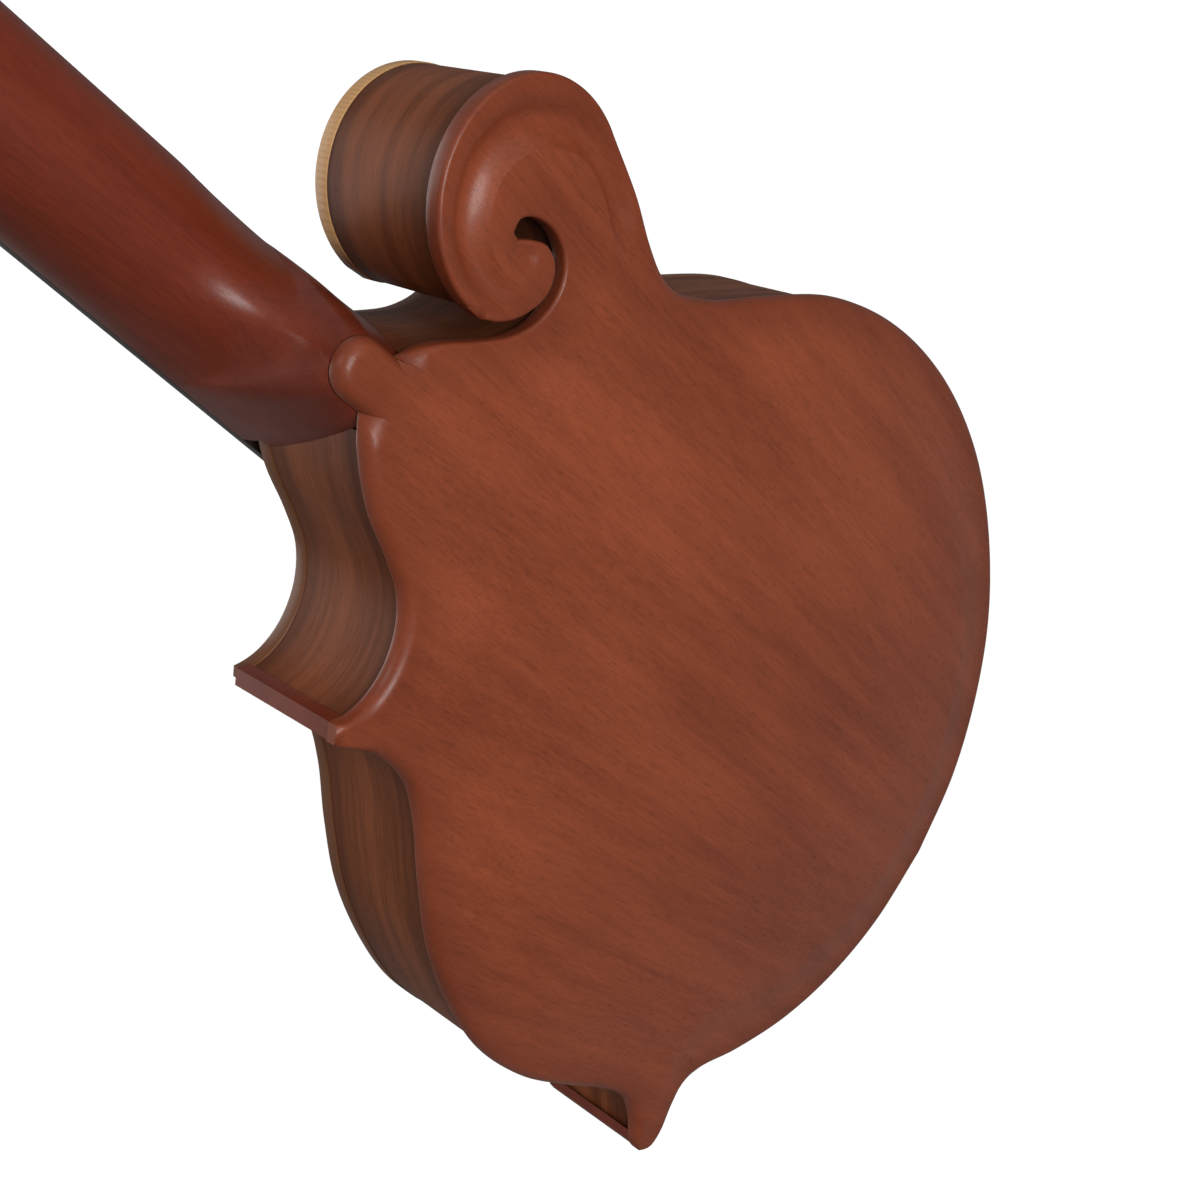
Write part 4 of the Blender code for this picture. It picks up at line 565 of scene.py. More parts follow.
def swept(path: Sequence[Vector], radius: float, sides: int, rise: Vector = Vector((0, 0, 1))) -> Shell:
    """A round wire along a path.

    Args:
        path: The points that it follows.
        radius: Its radius.
        sides: How many sides it has.
        rise: A direction that the path never takes.

    Returns:
        The wire.
    """
    rings = []
    for index, point in enumerate(path):
        before, after = path[max(index - 1, 0)], path[min(index + 1, len(path) - 1)]
        along = (after - before).normalized()
        across = along.cross(rise).normalized()
        up = across.cross(along)
        rings.append([tuple(point + radius * (across * cos(a) + up * sin(a)))
                      for a in np.arange(sides) * 2 * pi / sides])
    return loft(rings)


def rounded_profile(outline: Array, low: float, high: float, bevel: float, steps: int = 3) -> Shell:
    """A flat piece with rounded edges all round.

    Args:
        outline: Its plan, anticlockwise.
        low: Height of its underside.
        high: Height of its face.
        bevel: Radius of its edges.
        steps: How many steps the rounding has.

    Returns:
        The piece.
    """
    levels = []
    for step in range(steps + 1):
        angle = pi / 2 * step / steps
        levels.append((bevel * (1 - sin(angle)), low + bevel * (1 - cos(angle))))
    levels += [(reach, high + low - level) for reach, level in reversed(levels)]
    closed = np.vstack([outline[-1:], outline, outline[:1]])
    rings = []
    for reach, level in levels:
        moved_in = shifted(closed, -reach)[1:-1]
        rings.append([(x, y, level) for x, y in moved_in])
    return loft(rings)


class Tree:
    """A small writer of nodes."""

    def __init__(self, tree: NodeTree) -> None:
        """Keep the node tree to write in."""
        self.tree = tree

    def node(self, kind: str, **settings: object) -> Node:
        """A new node.

        Args:
            kind: Its type.
            settings: Its properties.

        Returns:
            The node.
        """
        made = self.tree.nodes.new(kind)
        for name, value in settings.items():
            setattr(made, name, value)
        return made

    def feed(self, socket: Socket, value: object) -> None:
        """Link an output to a socket, or set its constant.

        Args:
            socket: The input.
            value: The output or the constant.
        """
        if isinstance(value, bpy.types.NodeSocket):
            self.tree.links.new(value, socket)
        elif isinstance(value, tuple) and len(value) == 3 and socket.type == "RGBA":
            socket.default_value = (*value, 1.0)
        else:
            socket.default_value = value

    def fill(self, sockets: object, values: Dict[object, object]) -> None:
        """Feed several inputs, by index or name."""
        for key, value in values.items():
            self.feed(sockets[key], value)

    def made(self, kind: str, values: Dict[object, object], **settings: object) -> object:
        """The outputs of a new node.

        Args:
            kind: The node's type.
            values: What feeds its inputs, by index or name.
            settings: The node's properties.

        Returns:
            Its outputs.
        """
        node = self.node(kind, **settings)
        self.fill(node.inputs, values)
        return node.outputs

    def put(self, kind: str, values: Dict[object, object], output: object = 0, **settings: object) -> Socket:
        """One output of a new node, by index or name."""
        return self.made(kind, values, **settings)[output]

    def math(self, operation: str, first: object, second: object = 0.0, clamp: bool = False) -> Socket:
        """The result of a Math node."""
        return self.put("ShaderNodeMath", {0: first, 1: second}, operation=operation, use_clamp=clamp)

    def times(self, first: object, second: object, clamp: bool = False) -> Socket:
        """The product of two values."""
        return self.math("MULTIPLY", first, second, clamp)

    def plus(self, first: object, second: object, clamp: bool = False) -> Socket:
        """The sum of two values."""
        return self.math("ADD", first, second, clamp)

    def stretch(self, vector: object, *scale: float) -> Socket:
        """A vector multiplied by three numbers."""
        return self.put("ShaderNodeVectorMath", {0: vector, 1: scale}, operation="MULTIPLY")

    def noise(self, vector: object, detail: float = 2.0, rough: float = 0.5) -> Socket:
        """Noise at a scale of one over a vector in its own units."""
        values = {"Vector": vector, "Scale": 1.0, "Detail": detail, "Roughness": rough}
        return self.put("ShaderNodeTexNoise", values, "Fac")

    def span(self, value: object, low: float, high: float, start: float = 0.0, end: float = 1.0) -> Socket:
        """A value mapped smoothly from one range to another."""
        values = dict(enumerate((value, low, high, start, end)))
        return self.put("ShaderNodeMapRange", values, interpolation_type="SMOOTHSTEP")

    def mix(self, share: object, first: object, second: object) -> Socket:
        """A mix of two colours."""
        return self.put("ShaderNodeMix", {0: share, 6: first, 7: second}, 2, data_type="RGBA")

    def bump(self, height: object, distance: float, strength: float) -> Socket:
        """A normal from a height in metres."""
        return self.put("ShaderNodeBump", {"Height": height, "Distance": distance, "Strength": strength})

    def attribute(self, name: str) -> Socket:
        """A mesh's attribute, as a number."""
        return self.node("ShaderNodeAttribute", attribute_name=name).outputs["Fac"]


def group(name: str, inputs: Dict[str, object], outputs: Dict[str, str]) -> Tuple[Tree, object, object]:
    """A new shader node group.

    Args:
        name: Its name.
        inputs: For each input its default: a colour, a number, or None for a vector.
        outputs: For each output, the kind of socket.

    Returns:
        Its writer, its inputs as sockets to read from, and its outputs as sockets to feed.
    """
    made = bpy.data.node_groups.new(name, "ShaderNodeTree")
    for label, default in inputs.items():
        kind = "Vector" if default is None else "Color" if isinstance(default, tuple) else "Float"
        socket = made.interface.new_socket(label, in_out="INPUT", socket_type=f"NodeSocket{kind}")
        if default is not None:
            socket.default_value = (*default, 1.0) if kind == "Color" else default
    for label, kind in outputs.items():
        made.interface.new_socket(label, in_out="OUTPUT", socket_type=f"NodeSocket{kind}")
    writer = Tree(made)
    return writer, writer.node("NodeGroupInput").outputs, writer.node("NodeGroupOutput").inputs


def wood_group() -> NodeTree:
    """Wood with fibres, open pores and broad ribbons; its grain runs along the vector's Z.

    Returns:
        The node group.
    """
    tree, given, put = group(
        "wood grain",
        {"Vector": None, "Dark": (0.1, 0.04, 0.02), "Light": (0.3, 0.12, 0.07),
         "Ribbons": 0.5, "Pores": 0.6},
        {"Color": "Color", "Pore Mask": "Float", "Height": "Float"})
    vector = given["Vector"]
    ribbon = tree.noise(tree.stretch(vector, 130.0, 130.0, 9.0), 3.0, 0.55)
    broad = tree.noise(tree.stretch(vector, 26.0, 26.0, 8.0), 2.0)
    fibre = tree.noise(tree.stretch(vector, 1500.0, 1500.0, 42.0), 3.0, 0.6)
    pore = tree.noise(tree.stretch(vector, 3400.0, 3400.0, 260.0), 1.0, 0.4)
    patches = tree.noise(tree.stretch(vector, 240.0, 240.0, 60.0), 1.0)
    pores = tree.span(tree.plus(pore, tree.times(patches, 0.10)), 0.64, 0.72)
    share = tree.times(tree.span(ribbon, 0.30, 0.70), given["Ribbons"])
    share = tree.plus(share, tree.times(tree.span(broad, 0.3, 0.7), 0.30))
    share = tree.plus(share, tree.times(tree.span(fibre, 0.25, 0.75), 0.30), clamp=True)
    colour = tree.mix(share, given["Dark"], given["Light"])
    mask = tree.times(pores, given["Pores"])
    colour = tree.mix(mask, colour, tree.mix(0.72, colour, (0.012, 0.004, 0.002)))
    height = tree.math("SUBTRACT", tree.times(fibre, 0.25), mask)
    tree.fill(put, {"Color": colour, "Pore Mask": mask, "Height": height})
    return tree.tree


def wear_group() -> NodeTree:
    """Smudges and fine scratches that vary the gloss of a surface.

    Returns:
        The node group.
    """
    tree, given, put = group(
        "handling", {"Vector": None, "Base": 0.4, "Amount": 0.1},
        {"Roughness": "Float", "Scratches": "Float"})
    vector = given["Vector"]
    smudge = tree.noise(tree.stretch(vector, 38.0, 38.0, 38.0), 4.0, 0.6)
    speck = tree.noise(tree.stretch(vector, 900.0, 900.0, 900.0), 2.0)
    hair = tree.noise(tree.stretch(vector, 90.0, 2600.0, 2600.0), 1.0)
    other = tree.noise(tree.stretch(vector, 2400.0, 2400.0, 110.0), 1.0)
    lines = tree.math("MAXIMUM", tree.span(hair, 0.70, 0.74), tree.span(other, 0.71, 0.75))
    swing = tree.math("SUBTRACT", tree.plus(smudge, tree.times(speck, 0.4)), 0.7)
    rough = tree.plus(given["Base"], tree.times(swing, given["Amount"]))
    rough = tree.plus(rough, tree.times(lines, 0.06), clamp=True)
    tree.fill(put, {"Roughness": rough, "Scratches": lines})
    return tree.tree


def edge_group() -> NodeTree:
    """A darker colour near an edge, from the vertex attribute that tells how near an edge is: a stain on the
    soundboard's rim, painted shade on the back and the ribs.

    Returns:
        The node group.
    """
    tree, given, put = group(
        "edge shade", {"Color": (0.5, 0.5, 0.5), "Shade": (0.1, 0.05, 0.02),
                       "Near": 0.0, "Amount": 0.5},
        {"Color": "Color"})
    share = tree.times(given["Near"], given["Amount"], clamp=True)
    tree.feed(put["Color"], tree.mix(share, given["Color"], given["Shade"]))
    return tree.tree


class Effects:
    """The shader groups that several finishes share, each built once."""

    def __init__(self) -> None:
        """Start with no group built."""
        self.made: Dict[str, NodeTree] = {}
        self.makers = {"wood": wood_group, "wear": wear_group, "edge": edge_group}

    def place(self, tree: Tree, name: str, **values: object) -> object:
        """Put a group into a material.

        Args:
            tree: The material's writer.
            name: Which group.
            values: Its inputs.

        Returns:
            The outputs of the group's node.
        """
        if name not in self.made:
            self.made[name] = self.makers[name]()
        return tree.made("ShaderNodeGroup", values, node_tree=self.made[name])


EFFECTS = Effects()


@dataclass(frozen=True)
class Finish:
    """A surface finish that builds its own material."""

    name: str
    slot: str

    def material(self) -> bpy.types.Material:
        """The finish's material, built on first use.

        Returns:
            The material.
        """
        found = bpy.data.materials.get(self.name)
        if found is None:
            found = bpy.data.materials.new(self.name)
            found.use_nodes = True
            tree = Tree(found.node_tree)
            tree.fill(found.node_tree.nodes["Principled BSDF"].inputs, self.looks(tree))
        return found

    def looks(self, tree: Tree) -> Dict[str, object]:
        """What feeds the shader, by the names of its inputs."""
        raise NotImplementedError

    def spot(self, tree: Tree) -> Socket:
        """Object coordinates."""
        return tree.node("ShaderNodeTexCoord").outputs["Object"]


@dataclass(frozen=True)
class Wood(Finish):
    """Lacquered or bare wood."""

    dark: Rgb
    light: Rgb
    ribbons: float = 0.45
    pores: float = 0.6
    gloss: float = 0.42
    coat: float = 0.0
    grain: Grain = Grain.ALONG_BODY
    # The next two fields give the colour and the amount by which the wood darkens near an edge: painted shade
    # on the back and the ribs.
    shade: Rgb = (0.05, 0.018, 0.010)
    edge_stain_and_painted_shade: float = 0.0
    shine: float = 0.24

    def direction(self, tree: Tree) -> Socket:
        """Coordinates in metres whose Z runs along the grain.

        Args:
            tree: The writer of the material's nodes.

        Returns:
            The socket with the coordinates.
        """
        if self.grain is Grain.ALONG_BODY:
            return self.spot(tree)
        source = self.spot(tree)
        if self.grain is Grain.ALONG_PIECE:
            source = tree.node("ShaderNodeUVMap", uv_map="run").outputs[0]
        parts = tree.made("ShaderNodeSeparateXYZ", {0: source})
        order = (1, 2, 0) if self.grain is Grain.ACROSS_BODY else (1, 1, 0)
        return tree.put("ShaderNodeCombineXYZ", {axis: parts[given] for axis, given in enumerate(order)})

    def looks(self, tree: Tree) -> Dict[str, object]:
        """Wood grain under the finish, with dulled gloss in the pores.

        Args:
            tree: The writer of the material's nodes.

        Returns:
            What feeds the shader, by the names of its inputs.
        """
        vector = self.direction(tree)
        grain = EFFECTS.place(tree, "wood", Vector=vector, Dark=self.dark, Light=self.light,
                              Ribbons=self.ribbons, Pores=self.pores)
        wear = EFFECTS.place(tree, "wear", Vector=self.spot(tree), Base=self.gloss, Amount=0.16)
        # Darker near an edge by the attribute near: painted shade on the back and the ribs.
        near = tree.attribute("near")
        edge = EFFECTS.place(tree, "edge", Color=grain["Color"], Shade=self.shade, Near=near,
                             Amount=self.edge_stain_and_painted_shade)
        dulled = tree.times(grain["Pore Mask"], 0.25)
        return {"Base Color": edge["Color"],
                "Roughness": tree.plus(wear["Roughness"], dulled, clamp=True),
                "Normal": tree.bump(grain["Height"], 0.00007, 0.6),
                "Coat Weight": self.coat, "Coat Roughness": 0.22, "Specular IOR Level": self.shine}


@dataclass(frozen=True)
class Softwood(Finish):
    """Quarter-cut softwood with close year rings and a warm stain at its edge."""

    pale: Rgb
    ring: Rgb
    shade: Rgb
    edge_stain_and_painted_shade: float
    spacing: float = 0.0013

    def looks(self, tree: Tree) -> Dict[str, object]:
        """Straight year rings across the piece, silk between them and a darker edge.

        Args:
            tree: The writer of the material's nodes.

        Returns:
            What feeds the shader, by the names of its inputs.
        """
        vector = self.spot(tree)
        waves = {"Vector": tree.stretch(vector, 1.0, 0.25, 0.02), "Scale": 0.314 / self.spacing,
                 "Distortion": 0.8, "Detail": 1.5, "Detail Scale": 0.06, "Detail Roughness": 0.5}
        rings = tree.put("ShaderNodeTexWave", waves, "Fac", wave_type="BANDS", bands_direction="X",
                         wave_profile="SAW")
        drift = tree.noise(tree.stretch(vector, 70.0, 70.0, 3.0), 2.0)
        silk = tree.noise(tree.stretch(vector, 2200.0, 2200.0, 60.0), 2.0)
        late = tree.times(tree.span(rings, 0.55, 1.0), tree.span(drift, 0.2, 0.8, 0.35, 1.0))
        colour = tree.mix(late, self.pale, self.ring)
        colour = tree.mix(tree.times(silk, 0.22), colour, self.ring)
        near = tree.attribute("near")
        edge = EFFECTS.place(tree, "edge", Color=colour, Shade=self.shade, Near=near, Amount=self.edge_stain_and_painted_shade)
        wear = EFFECTS.place(tree, "wear", Vector=vector, Base=0.36, Amount=0.14)
        return {"Base Color": edge["Color"], "Roughness": wear["Roughness"],
                "Normal": tree.bump(tree.plus(late, silk), 0.00003, 0.5), "Specular IOR Level": 0.22}


@dataclass(frozen=True)
class Metal(Finish):
    """Plated or bare metal with a cast of tarnish."""

    colour: Rgb
    tarnish: Rgb
    gloss: float = 0.24
    brushed: float = 0.3

    def looks(self, tree: Tree) -> Dict[str, object]:
        """Metal with duller patches, fine scratches and brushing along the object.

        Args:
            tree: The writer of the material's nodes.

        Returns:
            What feeds the shader, by the names of its inputs.
        """
        vector = self.spot(tree)
        wear = EFFECTS.place(tree, "wear", Vector=vector, Base=self.gloss, Amount=0.20)
        cloud = tree.noise(tree.stretch(vector, 60.0, 60.0, 60.0), 4.0, 0.6)
        brush = tree.noise(tree.stretch(vector, 120.0, 3000.0, 3000.0), 2.0)
        share = tree.plus(tree.times(tree.span(cloud, 0.45, 0.8), 0.4),
                          tree.times(wear["Scratches"], 0.3), clamp=True)
        return {"Base Color": tree.mix(share, self.colour, self.tarnish), "Roughness": wear["Roughness"],
                "Normal": tree.bump(brush, 0.00002, self.brushed), "Metallic": 1.0}


@dataclass(frozen=True)
class Moulded(Finish):
    """Bone, ebony-like plastic and other plain dense materials."""

    colour: Rgb
    other: Rgb
    gloss: float
    grit: float = 0.00002
    cell: float = 400.0

    def looks(self, tree: Tree) -> Dict[str, object]:
        """A dense surface with faint mottling and wear.

        Args:
            tree: The writer of the material's nodes.

        Returns:
            What feeds the shader, by the names of its inputs.
        """
        vector = self.spot(tree)
        mottle = tree.noise(tree.stretch(vector, self.cell, self.cell, self.cell), 3.0)
        wear = EFFECTS.place(tree, "wear", Vector=vector, Base=self.gloss, Amount=0.14)
        colour = tree.mix(tree.span(mottle, 0.3, 0.7), self.colour, self.other)
        return {"Base Color": colour, "Roughness": wear["Roughness"],
                "Normal": tree.bump(mottle, self.grit, 0.5)}


@dataclass(frozen=True)
class Pearl(Finish):
    """Mother-of-pearl-like plastic with folded, shimmering cells."""

    def looks(self, tree: Tree) -> Dict[str, object]:
        """Cells of cream, grey and faint rose with a clear coat.

        Args:
            tree: The writer of the material's nodes.

        Returns:
            What feeds the shader, by the names of its inputs.
        """
        vector = self.spot(tree)
        bend = tree.noise(tree.stretch(vector, 260.0, 260.0, 260.0), 2.0)
        shift = tree.put("ShaderNodeVectorMath", {0: tree.stretch(vector, 300.0, 420.0, 300.0), 1: bend},
                         operation="ADD")
        cells = tree.made("ShaderNodeTexVoronoi", {"Vector": shift, "Scale": 1.0}, feature="SMOOTH_F1")
        shares = tree.made("ShaderNodeSeparateColor", {0: cells["Color"]})
        colour = tree.mix(shares[0], (0.76, 0.72, 0.64), (0.52, 0.51, 0.49))
        colour = tree.mix(tree.times(shares[1], 0.35), colour, (0.80, 0.62, 0.56))
        wear = EFFECTS.place(tree, "wear", Vector=vector, Base=0.24, Amount=0.10)
        return {"Base Color": colour, "Roughness": wear["Roughness"],
                "Normal": tree.bump(cells["Distance"], 0.00008, 0.4), "Coat Weight": 0.4}


@dataclass(frozen=True)
class Winding(Finish):
    """Wound or plain string metal, ringed along its own length."""

    colour: Rgb
    # The colour in the grooves between the windings, a painted shade.
    groove: Rgb
    pitch: float

    def looks(self, tree: Tree) -> Dict[str, object]:
        """Fine rings along the string's run, with painted shade in the grooves between the windings.

        Args:
            tree: The writer of the material's nodes.

        Returns:
            What feeds the shader, by the names of its inputs.
        """
        run = tree.node("ShaderNodeUVMap", uv_map="run").outputs[0]
        turns = tree.times(tree.put("ShaderNodeSeparateXYZ", {0: run}), 2 * pi / self.pitch)
        rings = tree.plus(tree.times(tree.math("SINE", turns), 0.5), 0.5)
        colour = tree.mix(rings, self.groove, self.colour)
        wear = EFFECTS.place(tree, "wear", Vector=self.spot(tree), Base=0.30, Amount=0.2)
        return {"Base Color": colour, "Roughness": wear["Roughness"],
                "Normal": tree.bump(rings, 0.00010, 0.7), "Metallic": 1.0}


# The back's and the ribs' darker edges are painted shade; the soundboard's darker rim is a stain.
BACK_WOOD = Wood("back mahogany", "back_wood", (0.150, 0.029, 0.010), (0.300, 0.066, 0.025),
                 ribbons=0.34, pores=0.32, gloss=0.40, coat=0.10, shade=(0.120, 0.022, 0.008), edge_stain_and_painted_shade=0.45)
RIB_WOOD = Wood("rib mahogany", "rib_wood", (0.062, 0.015, 0.005), (0.270, 0.080, 0.030), ribbons=0.4,
                pores=0.4, gloss=0.42, shine=0.10, grain=Grain.ALONG_PIECE, shade=(0.03, 0.008, 0.003),
                edge_stain_and_painted_shade=0.6)
NECK_WOOD = Wood("neck mahogany", "neck_wood", (0.085, 0.012, 0.005), (0.185, 0.030, 0.012), ribbons=0.35,
                 pores=0.2, gloss=0.34, coat=0.0, shine=0.28)
INNER_WOOD = Wood("bare inner wood", "block_wood", (0.420, 0.260, 0.140), (0.620, 0.430, 0.260), ribbons=0.4,
                  pores=0.15, gloss=0.68)
EBONY = Wood("ebony", "dark_wood", (0.010, 0.007, 0.006), (0.036, 0.024, 0.018), ribbons=0.4, pores=0.5,
             gloss=0.40)
TOP_WOOD = Softwood("soundboard spruce", "top_wood", (0.560, 0.320, 0.140), (0.420, 0.200, 0.075),
                    (0.110, 0.034, 0.013), 0.94)
BONE = Moulded("bone", "bone", (0.800, 0.740, 0.600), (0.700, 0.620, 0.460), 0.34)
BLACK_PLASTIC = Moulded("black plastic", "black_plastic", (0.012, 0.012, 0.013), (0.020, 0.020, 0.021), 0.22)
DOT_PEARL = Pearl("pearl inlay", "pearloid")
KNOB_PEARL = Pearl("pearl knob", "pearloid")
NICKEL = Metal("nickel plate", "nickel", (0.700, 0.680, 0.640), (0.520, 0.480, 0.420))
STEEL = Metal("steel", "steel", (0.560, 0.560, 0.570), (0.400, 0.390, 0.380), 0.30)
BRASS = Metal("brass", "brass", (0.720, 0.520, 0.240), (0.480, 0.310, 0.130), 0.30)
FRET_METAL = Metal("fret wire", "nickel", (0.640, 0.630, 0.600), (0.480, 0.460, 0.430), 0.20)
WOUND_STRING = Winding("wound string", "bronze", (0.720, 0.480, 0.270), (0.250, 0.140, 0.070), 0.0005)
PLAIN_STRING = Metal("plain string", "steel", (0.640, 0.640, 0.640), (0.520, 0.500, 0.470), 0.22, 0.1)


def add_piece(name: str, shape: object, finish: Finish, body: str, place: Matrix,
              replaces: Sequence[str] = (), sharp: float = 35.0,
              near: Optional[Array] = None) -> None:
    """One finished piece of the visual model.

    Args:
        name: The piece's name.
        shape: Its shell, or a mesh.
        finish: Its finish.
        body: The CAD body that it rides on.
        place: Its place, as a matrix to the part's frame.
        replaces: The CAD nodes that it stands for.
        sharp: Edges sharper than this many degrees stay hard.
        near: For each vertex, how near it is to the piece's edge.
    """
    mesh = shape.mesh(name) if isinstance(shape, Shell) else shape
    mesh.name = name
    mesh.transform(place)
    if near is not None:
        layer = mesh.attributes.new("near", "FLOAT", "POINT")
        layer.data.foreach_set("value", np.asarray(near, dtype=np.float32))
    mesh.materials.clear()
    mesh.materials.append(finish.material())
    mesh.shade_smooth()
    mesh.set_sharp_from_angle(angle=math.radians(sharp))
    piece = linked(name, mesh)
    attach(piece, body)
    if replaces:
        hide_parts(*replaces)
    LOG.info("%s: %d faces on %s", name, len(mesh.polygons), body)


def dress(node: str, finish: Finish) -> None:
    """Give a CAD node that stays in view its finish.

    Args:
        node: The CAD node's name.
        finish: Its finish.
    """
    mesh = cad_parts[node].data
    if not mesh.materials:
        mesh.materials.append(finish.material())
    for index in range(len(mesh.materials)):
        mesh.materials[index] = finish.material()
    LOG.info("%s: in %s", node, finish.name)


def along_run(mesh: Mesh, runs: Sequence[float], heights: Sequence[float]) -> None:
    """Give each corner of a mesh its run and height, in metres, as the UV map that grain follows.

    Args:
        mesh: The mesh.
        runs: Each vertex's way along the piece.
        heights: Each vertex's way across it.
    """
    layer = mesh.uv_layers.new(name="run")
    corners = np.zeros(len(mesh.loops), dtype=int)
    mesh.loops.foreach_get("vertex_index", corners)
    pairs = np.column_stack([np.asarray(runs)[corners], np.asarray(heights)[corners]])
    layer.data.foreach_set("uv", pairs.astype(np.float32).ravel())


def shaped(base: Mesh, joins: Sequence[Shell] = (), cuts: Sequence[Shell] = ()) -> Mesh:
    """A mesh after exact unions and cuts.

    Args:
        base: The mesh to start from.
        joins: Shells joined to it.
        cuts: Shells cut out of it.

    Returns:
        The new mesh.
    """
    target = linked("shaping", base)
    tools = []
    for operation, shells in (("UNION", joins), ("DIFFERENCE", cuts)):
        for shell in shells:
            tool = linked("cutter", shell.mesh("cutter"))
            step = target.modifiers.new(operation.lower(), "BOOLEAN")
            step.operation = operation
            step.solver = "EXACT"
            step.object = tool
            tools.append(tool)
    bpy.context.view_layer.update()
    ready = target.evaluated_get(bpy.context.evaluated_depsgraph_get())
    mesh = bpy.data.meshes.new_from_object(ready)
    for item in tools + [target]:
        bpy.data.objects.remove(item, do_unlink=True)
    return mesh


@dataclass
class Skin:
    """The dome of a carved plate: the shape that a loaded skin takes over the outline."""

    loop: Array
    steps: Tuple[float, ...] = (0.010, 0.005, 0.0025)
    rounds: int = 1300
    fullness: float = 0.8

    def __post_init__(self) -> None:
        """Solve the skin on a coarse grid, then on finer ones."""
        self.cell = 0.0
        self.low = np.zeros(2)
        self.skin = np.zeros((1, 1))
        for cell in self.steps:
            self.refine(cell)
        self.skin /= self.skin.max()

    def refine(self, cell: float) -> None:
        """Solve the skin on a finer grid, from the last one.

        Args:
            cell: The finer grid's spacing in metres.
        """
        low = self.loop.min(axis=0) - 2 * cell
        size = np.ceil((self.loop.max(axis=0) - low) / cell).astype(int) + 3
        grid = np.stack(np.meshgrid(np.arange(size[0]), np.arange(size[1]), indexing="ij"), axis=-1)
        spots = low + grid.reshape(-1, 2) * cell
        mask = inside(spots, self.loop).reshape(size)
        start = self.sample(spots).reshape(size) if self.cell else np.zeros(size)
        load = (cell / self.steps[0]) ** 2
        skin = np.where(mask, start, 0.0)
        for _ in range(self.rounds):
            around = (skin[:-2, 1:-1] + skin[2:, 1:-1] + skin[1:-1, :-2] + skin[1:-1, 2:])
            skin[1:-1, 1:-1] = np.where(mask[1:-1, 1:-1], (around + load) / 4.0, 0.0)
        self.cell, self.low, self.skin = cell, low, skin

    def sample(self, points: Array) -> Array:
        """The skin's value at points, between the grid's cells.

        Args:
            points: Plan points.

        Returns:
            The value at each point.
        """
        place = (points - self.low) / self.cell
        limit = np.array(self.skin.shape) - 2
        cell = np.clip(np.floor(place).astype(int), 0, limit)
        share = np.clip(place - cell, 0.0, 1.0)
        i, j = cell[:, 0], cell[:, 1]
        low = self.skin[i, j] * (1 - share[:, 0]) + self.skin[i + 1, j] * share[:, 0]
        high = self.skin[i, j + 1] * (1 - share[:, 0]) + self.skin[i + 1, j + 1] * share[:, 0]
        return low * (1 - share[:, 1]) + high * share[:, 1]

    def dome(self, points: Array) -> Array:
        """The dome's share of its full height at points."""
        return np.power(np.maximum(self.sample(points), 0.0), self.fullness)


